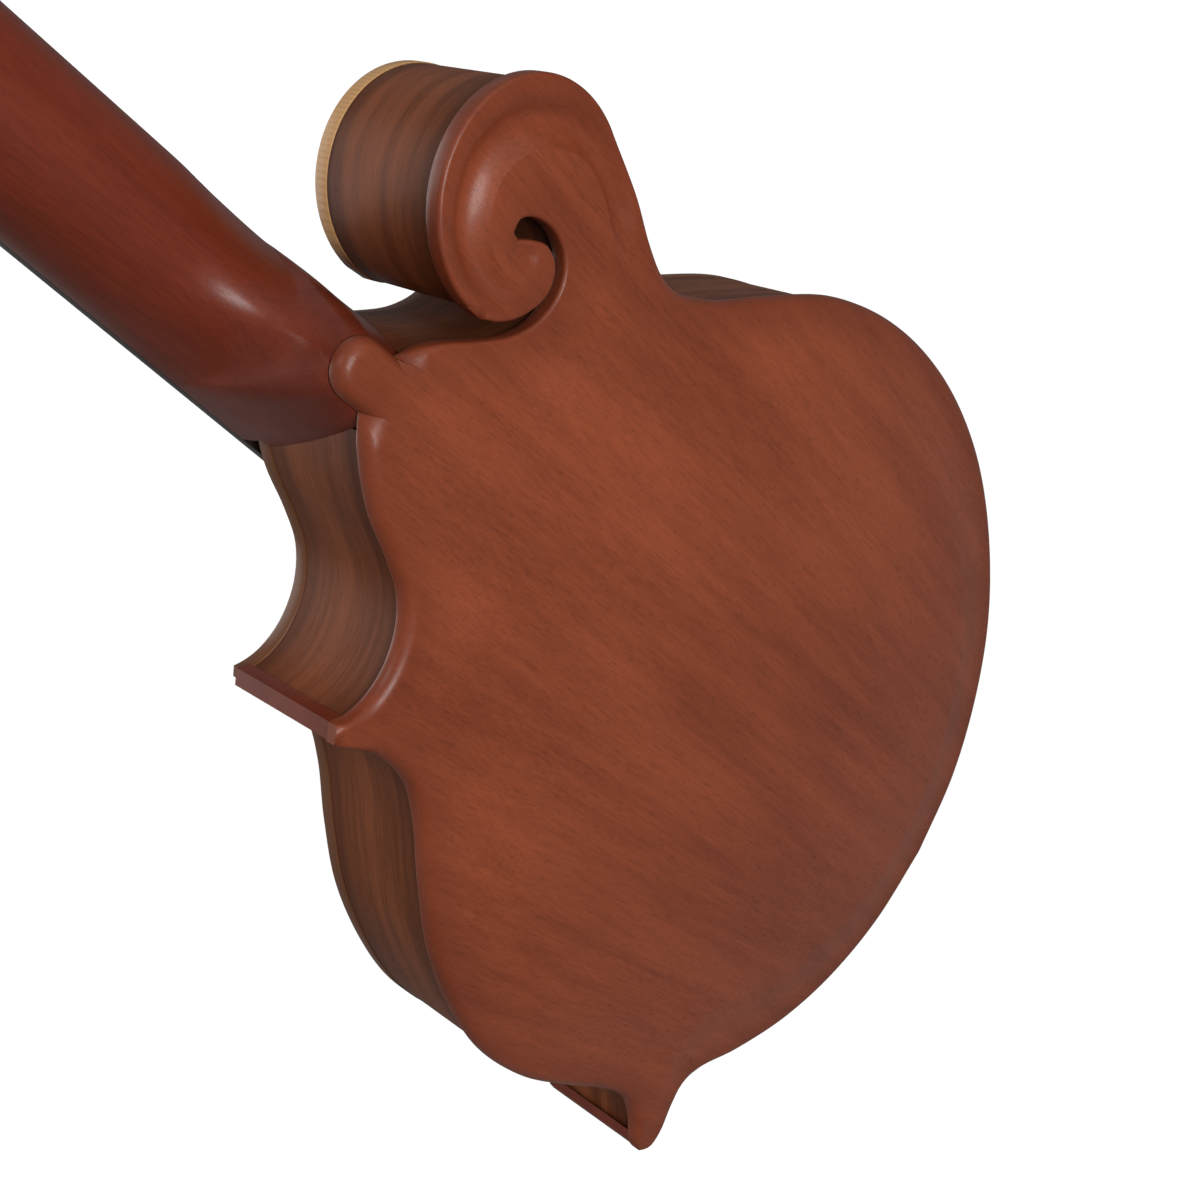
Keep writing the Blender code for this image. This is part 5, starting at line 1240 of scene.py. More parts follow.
@dataclass
class SoundBox:
    """The carved plates, the bent sides and the wood inside them."""

    step: float = 0.0020
    scroll_step: float = 0.0012
    grid_step: float = 0.0042
    groove: float = 0.0034
    groove_floor: float = 0.0062
    groove_width: float = 0.0135
    groove_rim: float = 0.0085
    under_round: float = 0.0007
    hole_round: float = 0.0006
    sheet: float = 0.0012
    # back_shade and rib_shade reach the painted shade at the back's outline and along the ribs' edges;
    # top_shade reaches the soundboard's stained rim.
    back_shade: float = 0.014
    top_shade: float = 0.013
    rib_shade: float = 0.009
    top_inset: float = 0.0015
    top_round: float = 0.0010
    back_round: float = 0.0036
    crisp_round: float = 0.0011
    tongue_depth: float = 0.0011
    tongue_width: float = 0.0034
    ridge_reaches: Tuple[float, ...] = (0.0, 0.0010, -0.0010, 0.0020, -0.0022, 0.0030, -0.0036, 0.0040,
                                        0.0051, 0.0063, 0.0076, 0.0090, 0.0105, 0.0120, 0.0136)
    tongue_reaches: Tuple[float, ...] = (0.0, 0.0009, -0.0009, 0.0019, -0.0019, 0.0029, -0.0029)
    ridge_free: Flat = (-0.0045, 0.0142)
    crisp_at_scroll: Flat = (0.050, 0.016)
    crisp_at_tip: Flat = (0.014, 0.011)
    corner_gap: float = 0.0009

    def __post_init__(self) -> None:
        """Work out the outline and the skins of both plates."""
        self.runs = self.outline_runs()
        self.outline = np.vstack(list(self.runs.values()))
        self.back_outline = np.vstack([self.button() if name == "heel" else run
                                       for name, run in self.runs.items()])
        self.top_runs = self.inset_runs(self.top_inset)
        self.top_outline = np.vstack(list(self.top_runs.values()))
        self.skin = Skin(self.outline)
        self.ridge = smooth_through(RIDGE, self.scroll_step)
        self.tongue = smooth_through(TONGUE_GROOVE, self.scroll_step)
        self.place = SIZES.plan()

    def build(self) -> None:
        """Make every piece of the box."""
        self.back()
        self.top()
        self.sides()
        self.slot_wall()
        for node in ("neck_block", "scroll_block", "tail_block", "upper_point_block", "lower_point_block",
                     "bass_tone_bar", "treble_tone_bar"):
            dress(node, INNER_WOOD)
        for side in ("bass", "treble", "lower"):
            for plate in ("back", "top"):
                dress(f"{side}_{plate}_lining", INNER_WOOD)

    def outline_runs(self) -> Dict[str, Array]:
        """The outline in runs between its corners, clockwise from the tail.

        Returns:
            Each run's corners by name.
        """
        first, last = math.radians(200.0), math.radians(2.0)
        count = int(SIZES.scroll_radius * (first - last) / self.scroll_step)
        angles = np.linspace(first, last, count + 1)
        turn = np.column_stack([np.cos(angles), np.sin(angles)])
        arc = np.array(SIZES.scroll_centre) + SIZES.scroll_radius * turn
        return {
            "bass": np.vstack([smooth_through(BASS_SIDE + (tuple(arc[0]),), self.step)[:-1], arc]),
            "curl": smooth_through(CURL_SIDE, self.scroll_step),
            "slot": smooth_through(SLOT_SIDE, self.scroll_step),
            "heel": np.array(HEEL_CHORD),
            "cutaway": smooth_through(CUTAWAY, self.step),
            "waist": smooth_through(WAIST, self.step),
            "tail": smooth_through(TAIL_SIDE, self.step)[:-1],
        }

    def button(self) -> Array:
        """The round tab of the back over the heel.

        Returns:
            The tab's corners.
        """
        left, right = np.array(HEEL_CHORD)
        centre = (left + right) / 2 + np.array([0.0, SIZES.button_reach])
        angles = np.linspace(pi, 0.0, 25)
        arc = centre + SIZES.button_radius * np.column_stack([np.cos(angles), np.sin(angles)])
        shares = np.linspace(0.0, 1.0, 4)[:-1, None]
        return np.vstack([left + shares * (arc[0] - left), arc, right + shares[::-1] * (arc[-1] - right)])

    def rise(self, points: Array, height: float, start: float) -> Array:
        """Height of a plate's arch over its edge, level up to a distance inside the outline."""
        reach = to_loop(points, self.outline)
        return height * self.skin.dome(points) * smooth_step((reach - start) / SIZES.recurve)

    def edge_radius(self, points: Array) -> Array:
        """The back's edge radius: wide, but crisp at the scroll and on the points.

        Args:
            points: Plan points.

        Returns:
            The radius for each point.
        """
        crisp = np.zeros(len(points))
        for centre, (reach, fade) in ((SIZES.scroll_centre, self.crisp_at_scroll),
                                      (WAIST[0], self.crisp_at_tip), (TAIL_SIDE[0], self.crisp_at_tip)):
            away = np.linalg.norm(points - np.array(centre), axis=1)
            crisp = np.maximum(crisp, smooth_step((reach - away) / fade))
        return self.back_round + (self.crisp_round - self.back_round) * crisp

    def fall(self, points: Array, loop: Array, radius: object) -> Array:
        """How far a rounded edge falls back beside a loop."""
        reach = np.minimum(to_loop(points, loop), radius)
        return radius - np.sqrt(np.maximum(radius ** 2 - (radius - reach) ** 2, 0.0))

    def carving(self, points: Array) -> Array:
        """Depth of the groove beside the scroll's ridge.

        Args:
            points: Plan points.

        Returns:
            The depth for each point.
        """
        side, along = to_path(points, self.ridge)
        fade = smooth_step(along / 0.25) * smooth_step((1.0 - along) / 0.18)
        wall = 1.0 - np.clip(1.0 - side / self.groove_floor, 0.0, 1.0) ** 2
        rim = smooth_step((self.groove_width - side) / (self.groove_width - self.groove_floor))
        edge = smooth_step(to_loop(points, self.back_outline) / self.groove_rim)
        ridge = self.groove * np.where(side > 0, wall * rim, 0.0) * fade * edge
        side, along = to_path(points, self.tongue)
        fade = smooth_step(along / 0.3) * smooth_step((1.0 - along) / 0.3)
        return ridge + self.tongue_depth * smooth_step(1.0 - np.abs(side) / self.tongue_width) * fade

    def back_outer(self, points: Array) -> Array:
        """Depth of the back's outer face."""
        arch = self.rise(points, SIZES.back_arch, 0.0)
        return self.fall(points, self.back_outline, self.edge_radius(points)) + self.carving(points) - arch

    def back_inner(self, points: Array) -> Array:
        """Depth of the back's inner face.

        Args:
            points: Plan points.

        Returns:
            The depth for each point.
        """
        level = SIZES.plate_edge - (SIZES.plate_edge - SIZES.plate_middle) * self.skin.dome(points)
        return (level - self.rise(points, SIZES.back_arch, SIZES.glue_edge)
                - self.fall(points, self.back_outline, self.under_round))

    def top_outer(self, points: Array) -> Array:
        """Depth of the soundboard's outer face."""
        return (SIZES.body_depth + self.rise(points, SIZES.top_arch, 0.0)
                - self.fall(points, self.top_outline, self.top_round))

    def top_face(self, points: Array) -> Array:
        """Depth of the soundboard's outer face with its rounded sound holes.

        Args:
            points: Plan points.

        Returns:
            The depth for each point.
        """
        height = self.top_outer(points)
        for hole in self.sound_holes():
            height = height - self.fall(points, hole, self.hole_round)
        return height

    def top_inner(self, points: Array) -> Array:
        """Depth of the soundboard's inner face.

        Args:
            points: Plan points.

        Returns:
            The depth for each point.
        """
        level = SIZES.plate_edge - (SIZES.plate_edge - SIZES.plate_middle) * self.skin.dome(points)
        return (SIZES.body_depth - level + self.rise(points, SIZES.top_arch, SIZES.glue_edge)
                + self.fall(points, self.top_outline, self.under_round * 0.5))

    def sound_holes(self) -> List[Array]:
        """The two sound holes."""
        right = smooth_through(F_HOLE + F_HOLE[:1], 0.0016)[:-1]
        return [right, (right * np.array([-1.0, 1.0]))[::-1]]

    def edge_rows(self, runs: Sequence[Array], loop: Array, radius: Height, count: int) -> Array:
        """Rows of corners over a rounded edge, close together where it turns fast.

        Args:
            runs: The stretches of the edge.
            loop: The whole edge.
            radius: The edge's radius at points.
            count: How many rows.

        Returns:
            The corners.
        """
        rows = []
        for index in range(1, count + 1):
            for run in runs:
                reach = radius(run) * (1 - cos(pi / 2 * index / count))
                row = shifted(run, reach)
                near = to_loop(row, loop) > reach * 0.94
                rows.append(row[near & inside(row, loop)])
        return np.vstack(rows)

    def field(self, loops: Sequence[Array], edge: float, ridge: bool) -> Array:
        """Corners over the middle of a plate.

        Args:
            loops: The outline and its holes.
            edge: How far inside the outline they start.
            ridge: Whether they gather along the scroll's ridge.

        Returns:
            The corners.
        """
        low, high = self.outline.min(axis=0), self.outline.max(axis=0)
        across = np.arange(low[0], high[0], self.grid_step)
        up = np.arange(low[1], high[1], self.grid_step * 0.87)
        grid = np.array([(x + (k % 2) * self.grid_step / 2, y) for k, y in enumerate(up) for x in across])
        grid = grid[to_loop(grid, self.outline) > edge + self.grid_step * 0.4]
        carved = NO_CORNERS
        band = self.edge_band(edge)
        if ridge:
            carved = np.vstack([shifted(self.ridge, -reach) for reach in self.ridge_reaches]
                               + [shifted(self.tongue, reach) for reach in self.tongue_reaches])
            carved = carved[to_loop(carved, self.back_outline) > self.edge_radius(carved) + 0.0005]
            grid, band = self.beside_ridge(grid), self.beside_ridge(band)
        points = np.vstack([carved, grid, band])
        points = points[inside(points, loops[0])]
        for hole in loops[1:]:
            points = points[~inside(points, hole) & (to_loop(points, hole) > 0.0018)]
        return self.thinned(points)

    def beside_ridge(self, points: Array) -> Array:
        """The points that leave the strip along the scroll's ridge free."""
        distance = to_path(points, self.ridge)[0]
        return points[(distance < self.ridge_free[0]) | (distance > self.ridge_free[1])]

    def edge_band(self, edge: float) -> Array:
        """Corners in one row just inside a plate's rounded edge.

        Args:
            edge: How far inside the outline the rounded edge ends.

        Returns:
            The row's corners.
        """
        reach = edge + self.grid_step * 0.35
        rows = np.vstack([shifted(run, reach) for run in self.runs.values()])
        keep = (to_loop(rows, self.outline) > reach * 0.97) & inside(rows, self.outline)
        return rows[keep]

    def thinned(self, points: Array) -> Array:
        """The points without those too close to one before them.

        Args:
            points: Plan points.

        Returns:
            The points that stay.
        """
        gap = self.corner_gap
        taken: Dict[Tuple[int, int], List[Array]] = {}
        kept = []
        for point in points:
            column, row = int(point[0] // gap), int(point[1] // gap)
            cells = [(column + i, row + j) for i in (-1, 0, 1) for j in (-1, 0, 1)]
            if all(np.hypot(*(point - other)) > gap for cell in cells for other in taken.get(cell, ())):
                taken.setdefault((column, row), []).append(point)
                kept.append(point)
        return np.array(kept)

    def nearness(self, shell: Shell, loop: Array, depth: float) -> Array:
        """1 at an outline to 0 at a depth inside it, for each point of a plate."""
        points = np.array(shell.points)[:, :2]
        return 1.0 - smooth_step(to_loop(points, loop) / depth)

    def back(self) -> None:
        """The carved back with its scroll and button."""
        runs = [self.button() if name == "heel" else run for name, run in self.runs.items()]
        loops = [self.back_outline]
        rim = self.edge_rows(runs, self.back_outline, self.edge_radius, 7)
        under = self.edge_rows(runs, self.back_outline, level(self.under_round), 2)
        outer = np.vstack([rim, self.field(loops, self.back_round, True)])
        inner = np.vstack([under, self.field(loops, SIZES.edge_round, False)])
        plate = plate_shell(loops, outer, self.back_outer, inner, self.back_inner, 2)
        # The back darkens towards its outline: painted shade in the recurve along its edge.
        add_piece("carved_back", plate, BACK_WOOD, "body", self.place, ["back_plate"], 33.0,
                  self.nearness(plate, self.back_outline, self.back_shade))
        # The caps close the points' ends in the darker neck wood, which stands partly for painted shade
        # there.
        for name, before, after in (("upper", "cutaway", "waist"), ("lower", "waist", "tail")):
            tip = np.vstack([self.runs[before][-3:], self.runs[after][:3]])
            cap = slab([shifted(tip, 0.0004)], SIZES.plate_edge - 0.0002, SIZES.body_depth - SIZES.plate_edge)
            add_piece(f"{name}_point_cap", cap, NECK_WOOD, "body", self.place, sharp=30.0)

    def top(self) -> None:
        """The soundboard with its two sound holes."""
        runs, outline = list(self.top_runs.values()), self.top_outline
        holes = self.sound_holes()
        loops = [outline] + holes
        rim = self.edge_rows(runs, outline, level(self.top_round), 4)
        under = self.edge_rows(runs, outline, level(self.under_round * 0.5), 2)
        beside = []
        for hole in holes:
            closed = np.vstack([hole[-1:], hole, hole[:1]])
            for reach in (0.00018, self.hole_round):
                for way in (reach, -reach):
                    row = shifted(closed, way)[1:-1]
                    keep = ~inside(row, hole) & (to_loop(row, hole) > reach * 0.94)
                    beside.append(row[keep])
        field_points = self.field(loops, SIZES.edge_round + self.top_inset, False)
        plate = plate_shell(loops, np.vstack([rim, field_points] + beside), self.top_face,
                            np.vstack([under, field_points]), self.top_inner, 2)
        points = np.array(plate.points)
        wall = to_loop(points[:, :2], outline) < 0.0002
        bare = smooth_step((points[:, 1] - 0.330) / 0.010) * ((points[:, 0] < -0.02) & wall)
        add_piece("soundboard", plate, TOP_WOOD, "body", self.place, ["top_plate"], 50.0,
                  self.nearness(plate, outline, self.top_shade) * (1.0 - bare))

    def inset_runs(self, reach: float) -> Dict[str, Array]:
        """The outline's runs moved in by a reach and trimmed at their corners.

        Args:
            reach: How far inwards, in metres.

        Returns:
            Each run's corners by name.
        """
        lines = {}
        for name, run in self.runs.items():
            line = shifted(run, reach)
            keep = (to_loop(line, self.outline) > reach * 0.985) & inside(line, self.outline)
            lines[name] = line[keep] if keep.any() else line
        return lines

    def wall_line(self, names: Sequence[str], reach: float) -> Array:
        """The outline's runs moved in by a reach, trimmed at their corners and met there.

        Args:
            names: The runs in order.
            reach: How far they move in.

        Returns:
            The line, with its end corners shared with its neighbours.
        """
        order, ends = list(self.runs), self.inset_runs(reach)
        before = ends[order[order.index(names[0]) - 1]][-1]
        after = ends[order[(order.index(names[-1]) + 1) % len(order)]][0]
        first, last = ends[names[0]][0], ends[names[-1]][-1]
        return np.vstack([[(before + first) / 2]] + [ends[name] for name in names] + [[(last + after) / 2]])

    def wall(self, name: str, names: Sequence[str], outer: float, inner: float,
             replaces: Sequence[str]) -> None:
        """One bent side of the box.

        Args:
            name: The piece's name.
            names: The runs that it follows.
            outer: How far its outer face lies inside the outline.
            inner: How far its inner face does.
            replaces: The CAD nodes that it stands for.
        """
        face = self.wall_line(names, outer)
        plan = np.vstack([face, self.wall_line(names, inner)[::-1]])
        low = SIZES.plate_edge - HAIR
        high = SIZES.body_depth - low
        shell = plate_shell([plan], NO_CORNERS, level(high), NO_CORNERS, level(low), 10)
        points = np.array(shell.points)
        mesh = shell.mesh(name)
        length = np.linalg.norm(np.diff(face, axis=0), axis=1).sum()
        along_run(mesh, to_path(points[:, :2], face)[1] * length, points[:, 2])
        # The ribs darken where they meet the plates: painted shade under the plates' overhang.
        edge = np.minimum(points[:, 2] - low, high - points[:, 2])
        near = 1.0 - smooth_step(edge / self.rib_shade)
        add_piece(name, mesh, RIB_WOOD, "body", self.place, replaces, 40.0, near)

    def sides(self) -> None:
        """The four bent ribs."""
        outer, inner = SIZES.overhang, SIZES.overhang + self.sheet
        self.wall("bass_side", ("bass", "curl"), outer, inner, ["bass_rib"])
        self.wall("cutaway_side", ("cutaway",), outer, inner, ["cutaway_rib"])
        self.wall("treble_side", ("waist",), outer, inner, ["treble_rib"])
        self.wall("lower_side", ("tail",), outer, inner, ["lower_rib"])

    def slot_wall(self) -> None:
        """The thin wall that lines the slot beside the scroll."""
        self.wall("slot_side", ("slot",), SIZES.overhang - 0.0006, SIZES.overhang - 0.0001, [])


class Maker(Tree):
    """A geometry node tree whose result becomes a plain mesh."""

    def __init__(self, name: str, inputs: Dict[str, str]) -> None:
        """Open the tree.

        Args:
            name: Its name.
            inputs: For each of its own inputs, the kind of socket.
        """
        super().__init__(bpy.data.node_groups.new(name, "GeometryNodeTree"))
        face = self.tree.interface
        face.new_socket("Geometry", in_out="OUTPUT", socket_type="NodeSocketGeometry")
        self.sockets = {label: face.new_socket(label, in_out="INPUT", socket_type=f"NodeSocket{kind}")
                        for label, kind in {"Geometry": "Geometry", **inputs, "Finish": "Material"}.items()}
        self.given = self.node("NodeGroupInput").outputs

    def close(self, geometry: Socket) -> None:
        """End the tree with real geometry in its finish.

        Args:
            geometry: The tree's result.
        """
        real = self.put("GeometryNodeRealizeInstances", {0: geometry})
        paint = self.put("GeometryNodeSetMaterial", {"Geometry": real, "Material": self.given["Finish"]})
        self.feed(self.node("NodeGroupOutput").inputs[0], paint)

    def run(self, base: Mesh, **values: object) -> Mesh:
        """Run the tree on a mesh.

        Args:
            base: The mesh that it starts from.
            values: The tree's inputs by name.

        Returns:
            The resulting mesh.
        """
        holder = linked("holder", base)
        step = holder.modifiers.new("nodes", "NODES")
        step.node_group = self.tree
        for label, value in values.items():
            step[self.sockets[label].identifier] = value
        bpy.context.view_layer.update()
        ready = holder.evaluated_get(bpy.context.evaluated_depsgraph_get())
        mesh = bpy.data.meshes.new_from_object(ready)
        bpy.data.objects.remove(holder, do_unlink=True)
        return mesh


@dataclass(frozen=True)
class Spot:
    """Where one repeated item stands."""

    place: Point
    turn: Point = (0.0, 0.0, 0.0)
    size: Point = (1.0, 1.0, 1.0)


class Repeater(Maker):
    """Puts a template on each of a set of spots."""

    def __init__(self) -> None:
        """Instances on points, turned and sized by the points' attributes."""
        super().__init__("repeat on spots", {"Template": "Object"})
        turn, size = [self.put("GeometryNodeInputNamedAttribute", {"Name": label}, data_type="FLOAT_VECTOR")
                      for label in ("turn", "size")]
        self.close(self.put("GeometryNodeInstanceOnPoints", {
            "Points": self.put("GeometryNodeMeshToPoints", {"Mesh": self.given["Geometry"]}),
            "Instance": self.put("GeometryNodeObjectInfo", {"Object": self.given["Template"]}, "Geometry"),
            "Rotation": self.put("FunctionNodeEulerToRotation", {0: turn}),
            "Scale": size}))

    def mesh(self, template: Mesh, spots: Sequence[Spot], finish: Finish) -> Mesh:
        """The template on every spot.

        Args:
            template: The mesh to repeat.
            spots: Where the copies stand.
            finish: Their finish.

        Returns:
            One mesh with all the copies.
        """
        base = bpy.data.meshes.new("spots")
        base.from_pydata([spot.place for spot in spots], [], [])
        for label, values in (("turn", [s.turn for s in spots]), ("size", [s.size for s in spots])):
            layer = base.attributes.new(label, "FLOAT_VECTOR", "POINT")
            layer.data.foreach_set("vector", np.array(values, dtype=np.float32).ravel())
        model = linked("template", template)
        mesh = self.run(base, Template=model, Finish=finish.material())
        bpy.data.objects.remove(model, do_unlink=True)
        return mesh


class Coiler(Maker):
    """Winds a round wire into a coil about the local Z axis."""

    def __init__(self) -> None:
        """A round section swept along a spiral."""
        super().__init__("wound coil", dict.fromkeys(("Turns", "Radius", "Height", "Wire"), "Float"))
        given = self.given
        spiral = self.put("GeometryNodeCurveSpiral", {
            "Resolution": 20, "Rotations": given["Turns"], "Start Radius": given["Radius"],
            "End Radius": given["Radius"], "Height": given["Height"]})
        section = self.put("GeometryNodeCurvePrimitiveCircle", {"Resolution": 7, "Radius": given["Wire"]})
        self.close(self.put("GeometryNodeCurveToMesh", {
            "Curve": spiral, "Profile Curve": section, "Fill Caps": True}))

    def mesh(self, turns: float, radius: float, height: float, wire: float, finish: Finish) -> Mesh:
        """One coil."""
        return self.run(bpy.data.meshes.new("start"), Turns=turns, Radius=radius, Height=height, Wire=wire,
                        Finish=finish.material())


REPEATER = Repeater()
COILER = Coiler()


def screw_head(radius: float) -> Mesh:
    """A domed, slotted screw head on its local Z axis.

    Args:
        radius: The head's radius.

    Returns:
        The mesh.
    """
    profile = [(radius, 0.0), (radius, radius * 0.25), (radius * 0.9, radius * 0.45),
               (radius * 0.65, radius * 0.62), (radius * 0.3, radius * 0.71), (radius * 0.05, radius * 0.73)]
    slot = slab([rectangle(radius * 1.1, radius * 0.14)], radius * 0.38, radius)
    return shaped(turned(profile, 20).mesh("screw"), cuts=[slot])


@dataclass
class Neck:
    """The neck with heel and headstock, and what is fixed to them."""

    box: SoundBox
    side_points: int = 16
    back_round: float = 0.0016
    veneer_round: float = 0.0005
    bushing_hole: float = 0.0047
    nut_rise: float = 0.0003
    cover_width: float = 0.0200
    cover_length: float = 0.0290
    cover_thickness: float = 0.0015
    pocket: float = 0.0038
    dot_radius: float = 0.0023
    nut_spread: float = 0.0066
    nut_action: float = 0.0009
    bridge_action: float = 0.0042
    string_radii: Dict[str, float] = field(
        default_factory=lambda: {"g": 0.0005, "d": 0.00033, "a": 0.00022, "e": 0.0002})

    def __post_init__(self) -> None:
        """Work out the neck's measures."""
        self.plan = SIZES.plan()
        self.place = SIZES.neck()
        self.head = SIZES.head()
        self.to_head = self.plan.inverted() @ self.head
        self.to_neck = self.plan.inverted() @ self.place

    def build(self) -> None:
        """Make the neck and every piece fixed to it."""
        self.wood()
        self.veneer()
        self.board()
        self.frets()
        self.dots()
        self.nut()
        self.cover()
        dress("fretboard_riser", NECK_WOOD)
        dress("truss_rod", STEEL)
        dress("truss_rod_nut", BRASS)

    def top_depth(self, y: float) -> float:
        """Plan depth of the gluing plane at a plan height."""
        return SIZES.body_depth + SIZES.neck_lift - (y - SIZES.joint) * math.tan(SIZES.neck_slope)

    def heel_half(self, y: float) -> float:
        """Half the heel's width at its back, at a plan height.

        Args:
            y: The plan height.

        Returns:
            Half the width there.
        """
        centre = HEEL_CHORD[0][1] + SIZES.button_reach
        above = max(0.0, y - centre)
        round_end = sqrt(max(SIZES.button_radius ** 2 - above ** 2, 0.0003 ** 2))
        flare = max(0.0, 1.0 - (y - SIZES.joint) / (centre - SIZES.joint)) ** 2
        return round_end + (SIZES.heel_cheek - SIZES.button_radius) * min(flare, 1.6)

    def section(self, y: float) -> List[Point]:
        """The neck's outline at a plan height: flat gluing face, round or heel-shaped back.

        Args:
            y: The plan height.

        Returns:
            The outline's corners.
        """
        s = y - SIZES.joint
        cap = HEEL_CHORD[0][1] + SIZES.button_reach + SIZES.button_radius - 0.0002 - SIZES.joint
        share = min(max((s - cap) / (SIZES.nut_reach - cap), 0.0), 1.0)
        plain = SIZES.neck_depth_at_heel + (SIZES.neck_depth - SIZES.neck_depth_at_heel) * share
        full = self.top_depth(y) - SIZES.plate_edge + HAIR
        sweep = min(max((SIZES.heel_length - s) / (SIZES.heel_length - cap), 0.0), 1.0)
        depth = plain + (full - plain) * (1.0 - sqrt(1.0 - sweep * sweep))
        heel = eased((SIZES.heel_length + 0.006 - s) / (SIZES.heel_length - cap + 0.010))
        half, back = SIZES.half_width(s), self.heel_half(y)
        side = []
        for index in range(self.side_points):
            angle = pi / 2 * index / (self.side_points - 1)
            fall = sin(angle)
            round_x = half * max(cos(angle), 0.0) ** 0.9
            heel_x = back + (half - back) * max(1.0 - fall ** 1.3, 0.0) ** 0.85
            x = max(round_x * (1.0 - heel) + heel_x * heel, 0.0003)
            side.append((x, self.top_depth(y) - depth * fall))
        return [(x, y, z) for x, z in side] + [(-x, y, z) for x, z in reversed(side)]

    def head_section(self, s: float, low: float, high: float, half: float) -> List[Point]:
        """A rectangle across the headstock with as many points as the neck's outline.

        Args:
            s: The distance from the nut along the headstock.
            low: Its lower face.
            high: Its upper face.
            half: Half its width.

        Returns:
            The rectangle's corners.
        """
        last = self.side_points - 1
        side = [(half, high + (low - high) * index / last) for index in range(self.side_points)]
        points = [(x, s, n) for x, n in side] + [(-x, s, n) for x, n in reversed(side)]
        return [tuple(self.to_head @ Vector(point)) for point in points]

    def nose(self, reach: float, low: float, high: float) -> Shell:
        """The body's front at the neck joint, moved in by a reach, as a cutter.

        Args:
            reach: How far inwards, in metres.
            low: The cutter's lower face.
            high: The cutter's upper face.

        Returns:
            The cutter's shell.
        """
        slot, cutaway = self.box.runs["slot"], self.box.runs["cutaway"]
        line = np.vstack([slot[-18:], self.box.runs["heel"], cutaway[:14]])
        line = shifted(line, reach)
        return slab([np.vstack([line, line.mean(axis=0) - np.array([0.0, 0.09])])], low, high)

    def head_loops(self) -> List[Array]:
        """The headstock's outline and its post holes.

        Returns:
            The outline, then the holes.
        """
        spots = SIZES.post_spots(Side.BASS) + SIZES.post_spots(Side.TREBLE)
        holes = [circle(spot, self.bushing_hole, 24)[::-1] for spot in spots]
        return [smooth_through(HEAD_OUTLINE, 0.0022)] + holes

    def rows_inside(self, loop: Array, radius: float) -> Array:
        """Corners over the rounded edge of a flat piece with an anticlockwise outline.

        Args:
            loop: The outline's corners.
            radius: The edge's radius.

        Returns:
            The rows' corners.
        """
        closed = np.vstack([loop[-1:], loop, loop[:1]])
        rows = []
        for share in (0.08, 0.32, 0.65, 1.0):
            row = shifted(closed, -radius * share)[1:-1]
            rows.append(row[(to_loop(row, loop) > radius * share * 0.94) & inside(row, loop)])
        return np.vstack(rows)

    def wood(self) -> None:
        """Neck, heel and headstock from one piece of wood."""
        near = np.arange(-0.0130, 0.0520, 0.0009)
        far = np.linspace(0.0560, SIZES.nut_reach - 0.004, 24)
        rings = [self.section(SIZES.joint + s) for s in np.concatenate([near, far])]
        for s in (SIZES.nut_reach, SIZES.nut_end):
            rings.append(self.section((self.to_neck @ Vector((0, s, 0)))[1]))
        rings.append(self.head_section(0.006, -SIZES.head_thickness + 0.0008, -0.0008, 0.0135))
        loops = self.head_loops()
        rows = self.rows_inside(loops[0], self.back_round)
        head = plate_shell(loops, NO_CORNERS, level(0.0), rows,
                           lambda p: self.box.fall(p, loops[0], self.back_round) - SIZES.head_thickness, 4)
        top = SIZES.body_depth + 0.03
        reach = self.pocket
        corners = np.array([(-reach, SIZES.nut_end + 0.0018), (reach, SIZES.nut_end + 0.0018),
                            (reach, SIZES.nut_end + 0.0150), (-reach, SIZES.nut_end + 0.0150)])
        pocket = slab([corners], -0.0104, 0.008).moved(self.to_neck)
        cuts = [self.nose(SIZES.overhang + 0.0002, SIZES.plate_edge - 0.0001, top),
                self.nose(0.0, SIZES.body_depth - SIZES.plate_edge, top), pocket]
        mesh = shaped(loft(rings).mesh("neck_wood"), joins=[head.moved(self.to_head)], cuts=cuts)
        add_piece("neck_and_heel", mesh, NECK_WOOD, "body", self.plan, ["neck"], 38.0)

    def veneer(self) -> None:
        """The dark face of the headstock, open over the truss rod's pocket."""
        loops = self.head_loops()
        rows = self.rows_inside(loops[0], self.veneer_round)
        reach = self.pocket
        loops.append(np.array([(-reach, 0.0012), (-reach, 0.0165), (reach, 0.0165), (reach, 0.0012)]))
        shell = plate_shell(
            loops, rows, lambda p: SIZES.face - self.box.fall(p, loops[0], self.veneer_round),
            NO_CORNERS, level(0.0), 1)
        add_piece("headstock_face", shell, EBONY, "body", self.head, ["headstock_veneer"])

    def board(self) -> None:
        """The fretboard, with eased edges."""
        foot = SIZES.nut_reach - SIZES.fret(SIZES.fret_count) - 0.006
        head = SIZES.nut_reach - HAIR
        corner = 0.0020
        low, high = SIZES.half_width(foot), SIZES.half_width(head)
        turn = np.linspace(0.0, pi / 2, 6)
        right = [(low - corner + corner * sin(a), foot + corner - corner * cos(a)) for a in turn]
        outline = np.array([(-x, s) for x, s in reversed(right)] + right + [(high, head), (-high, head)])
        shell = rounded_profile(outline, 0.0, SIZES.board_top, 0.0004)
        add_piece("fingerboard", shell, EBONY, "body", self.place, ["fretboard"])

    def frets(self) -> None:
        """The crowned frets."""
        half, high = SIZES.fret_width / 2, SIZES.fret_height
        rings = []
        for x, share in ((-0.5, 0.1), (-0.478, 1.0), (0.478, 1.0), (0.5, 0.1)):
            crown = [(x, half * cos(a), high * share * sin(a)) for a in np.linspace(0.0, pi, 8)]
            rings.append([(x, half, -0.0004)] + crown + [(x, -half, -0.0004)])
        spots = []
        for number in range(1, SIZES.fret_count + 1):
            s = SIZES.nut_reach - SIZES.fret(number)
            width = 2 * SIZES.half_width(s) - 0.0004
            spots.append(Spot((0.0, s, SIZES.board_top), size=(width, 1.0, 1.0)))
        mesh = REPEATER.mesh(loft(rings).mesh("fret"), spots, FRET_METAL)
        add_piece("frets", mesh, FRET_METAL, "body", self.place)

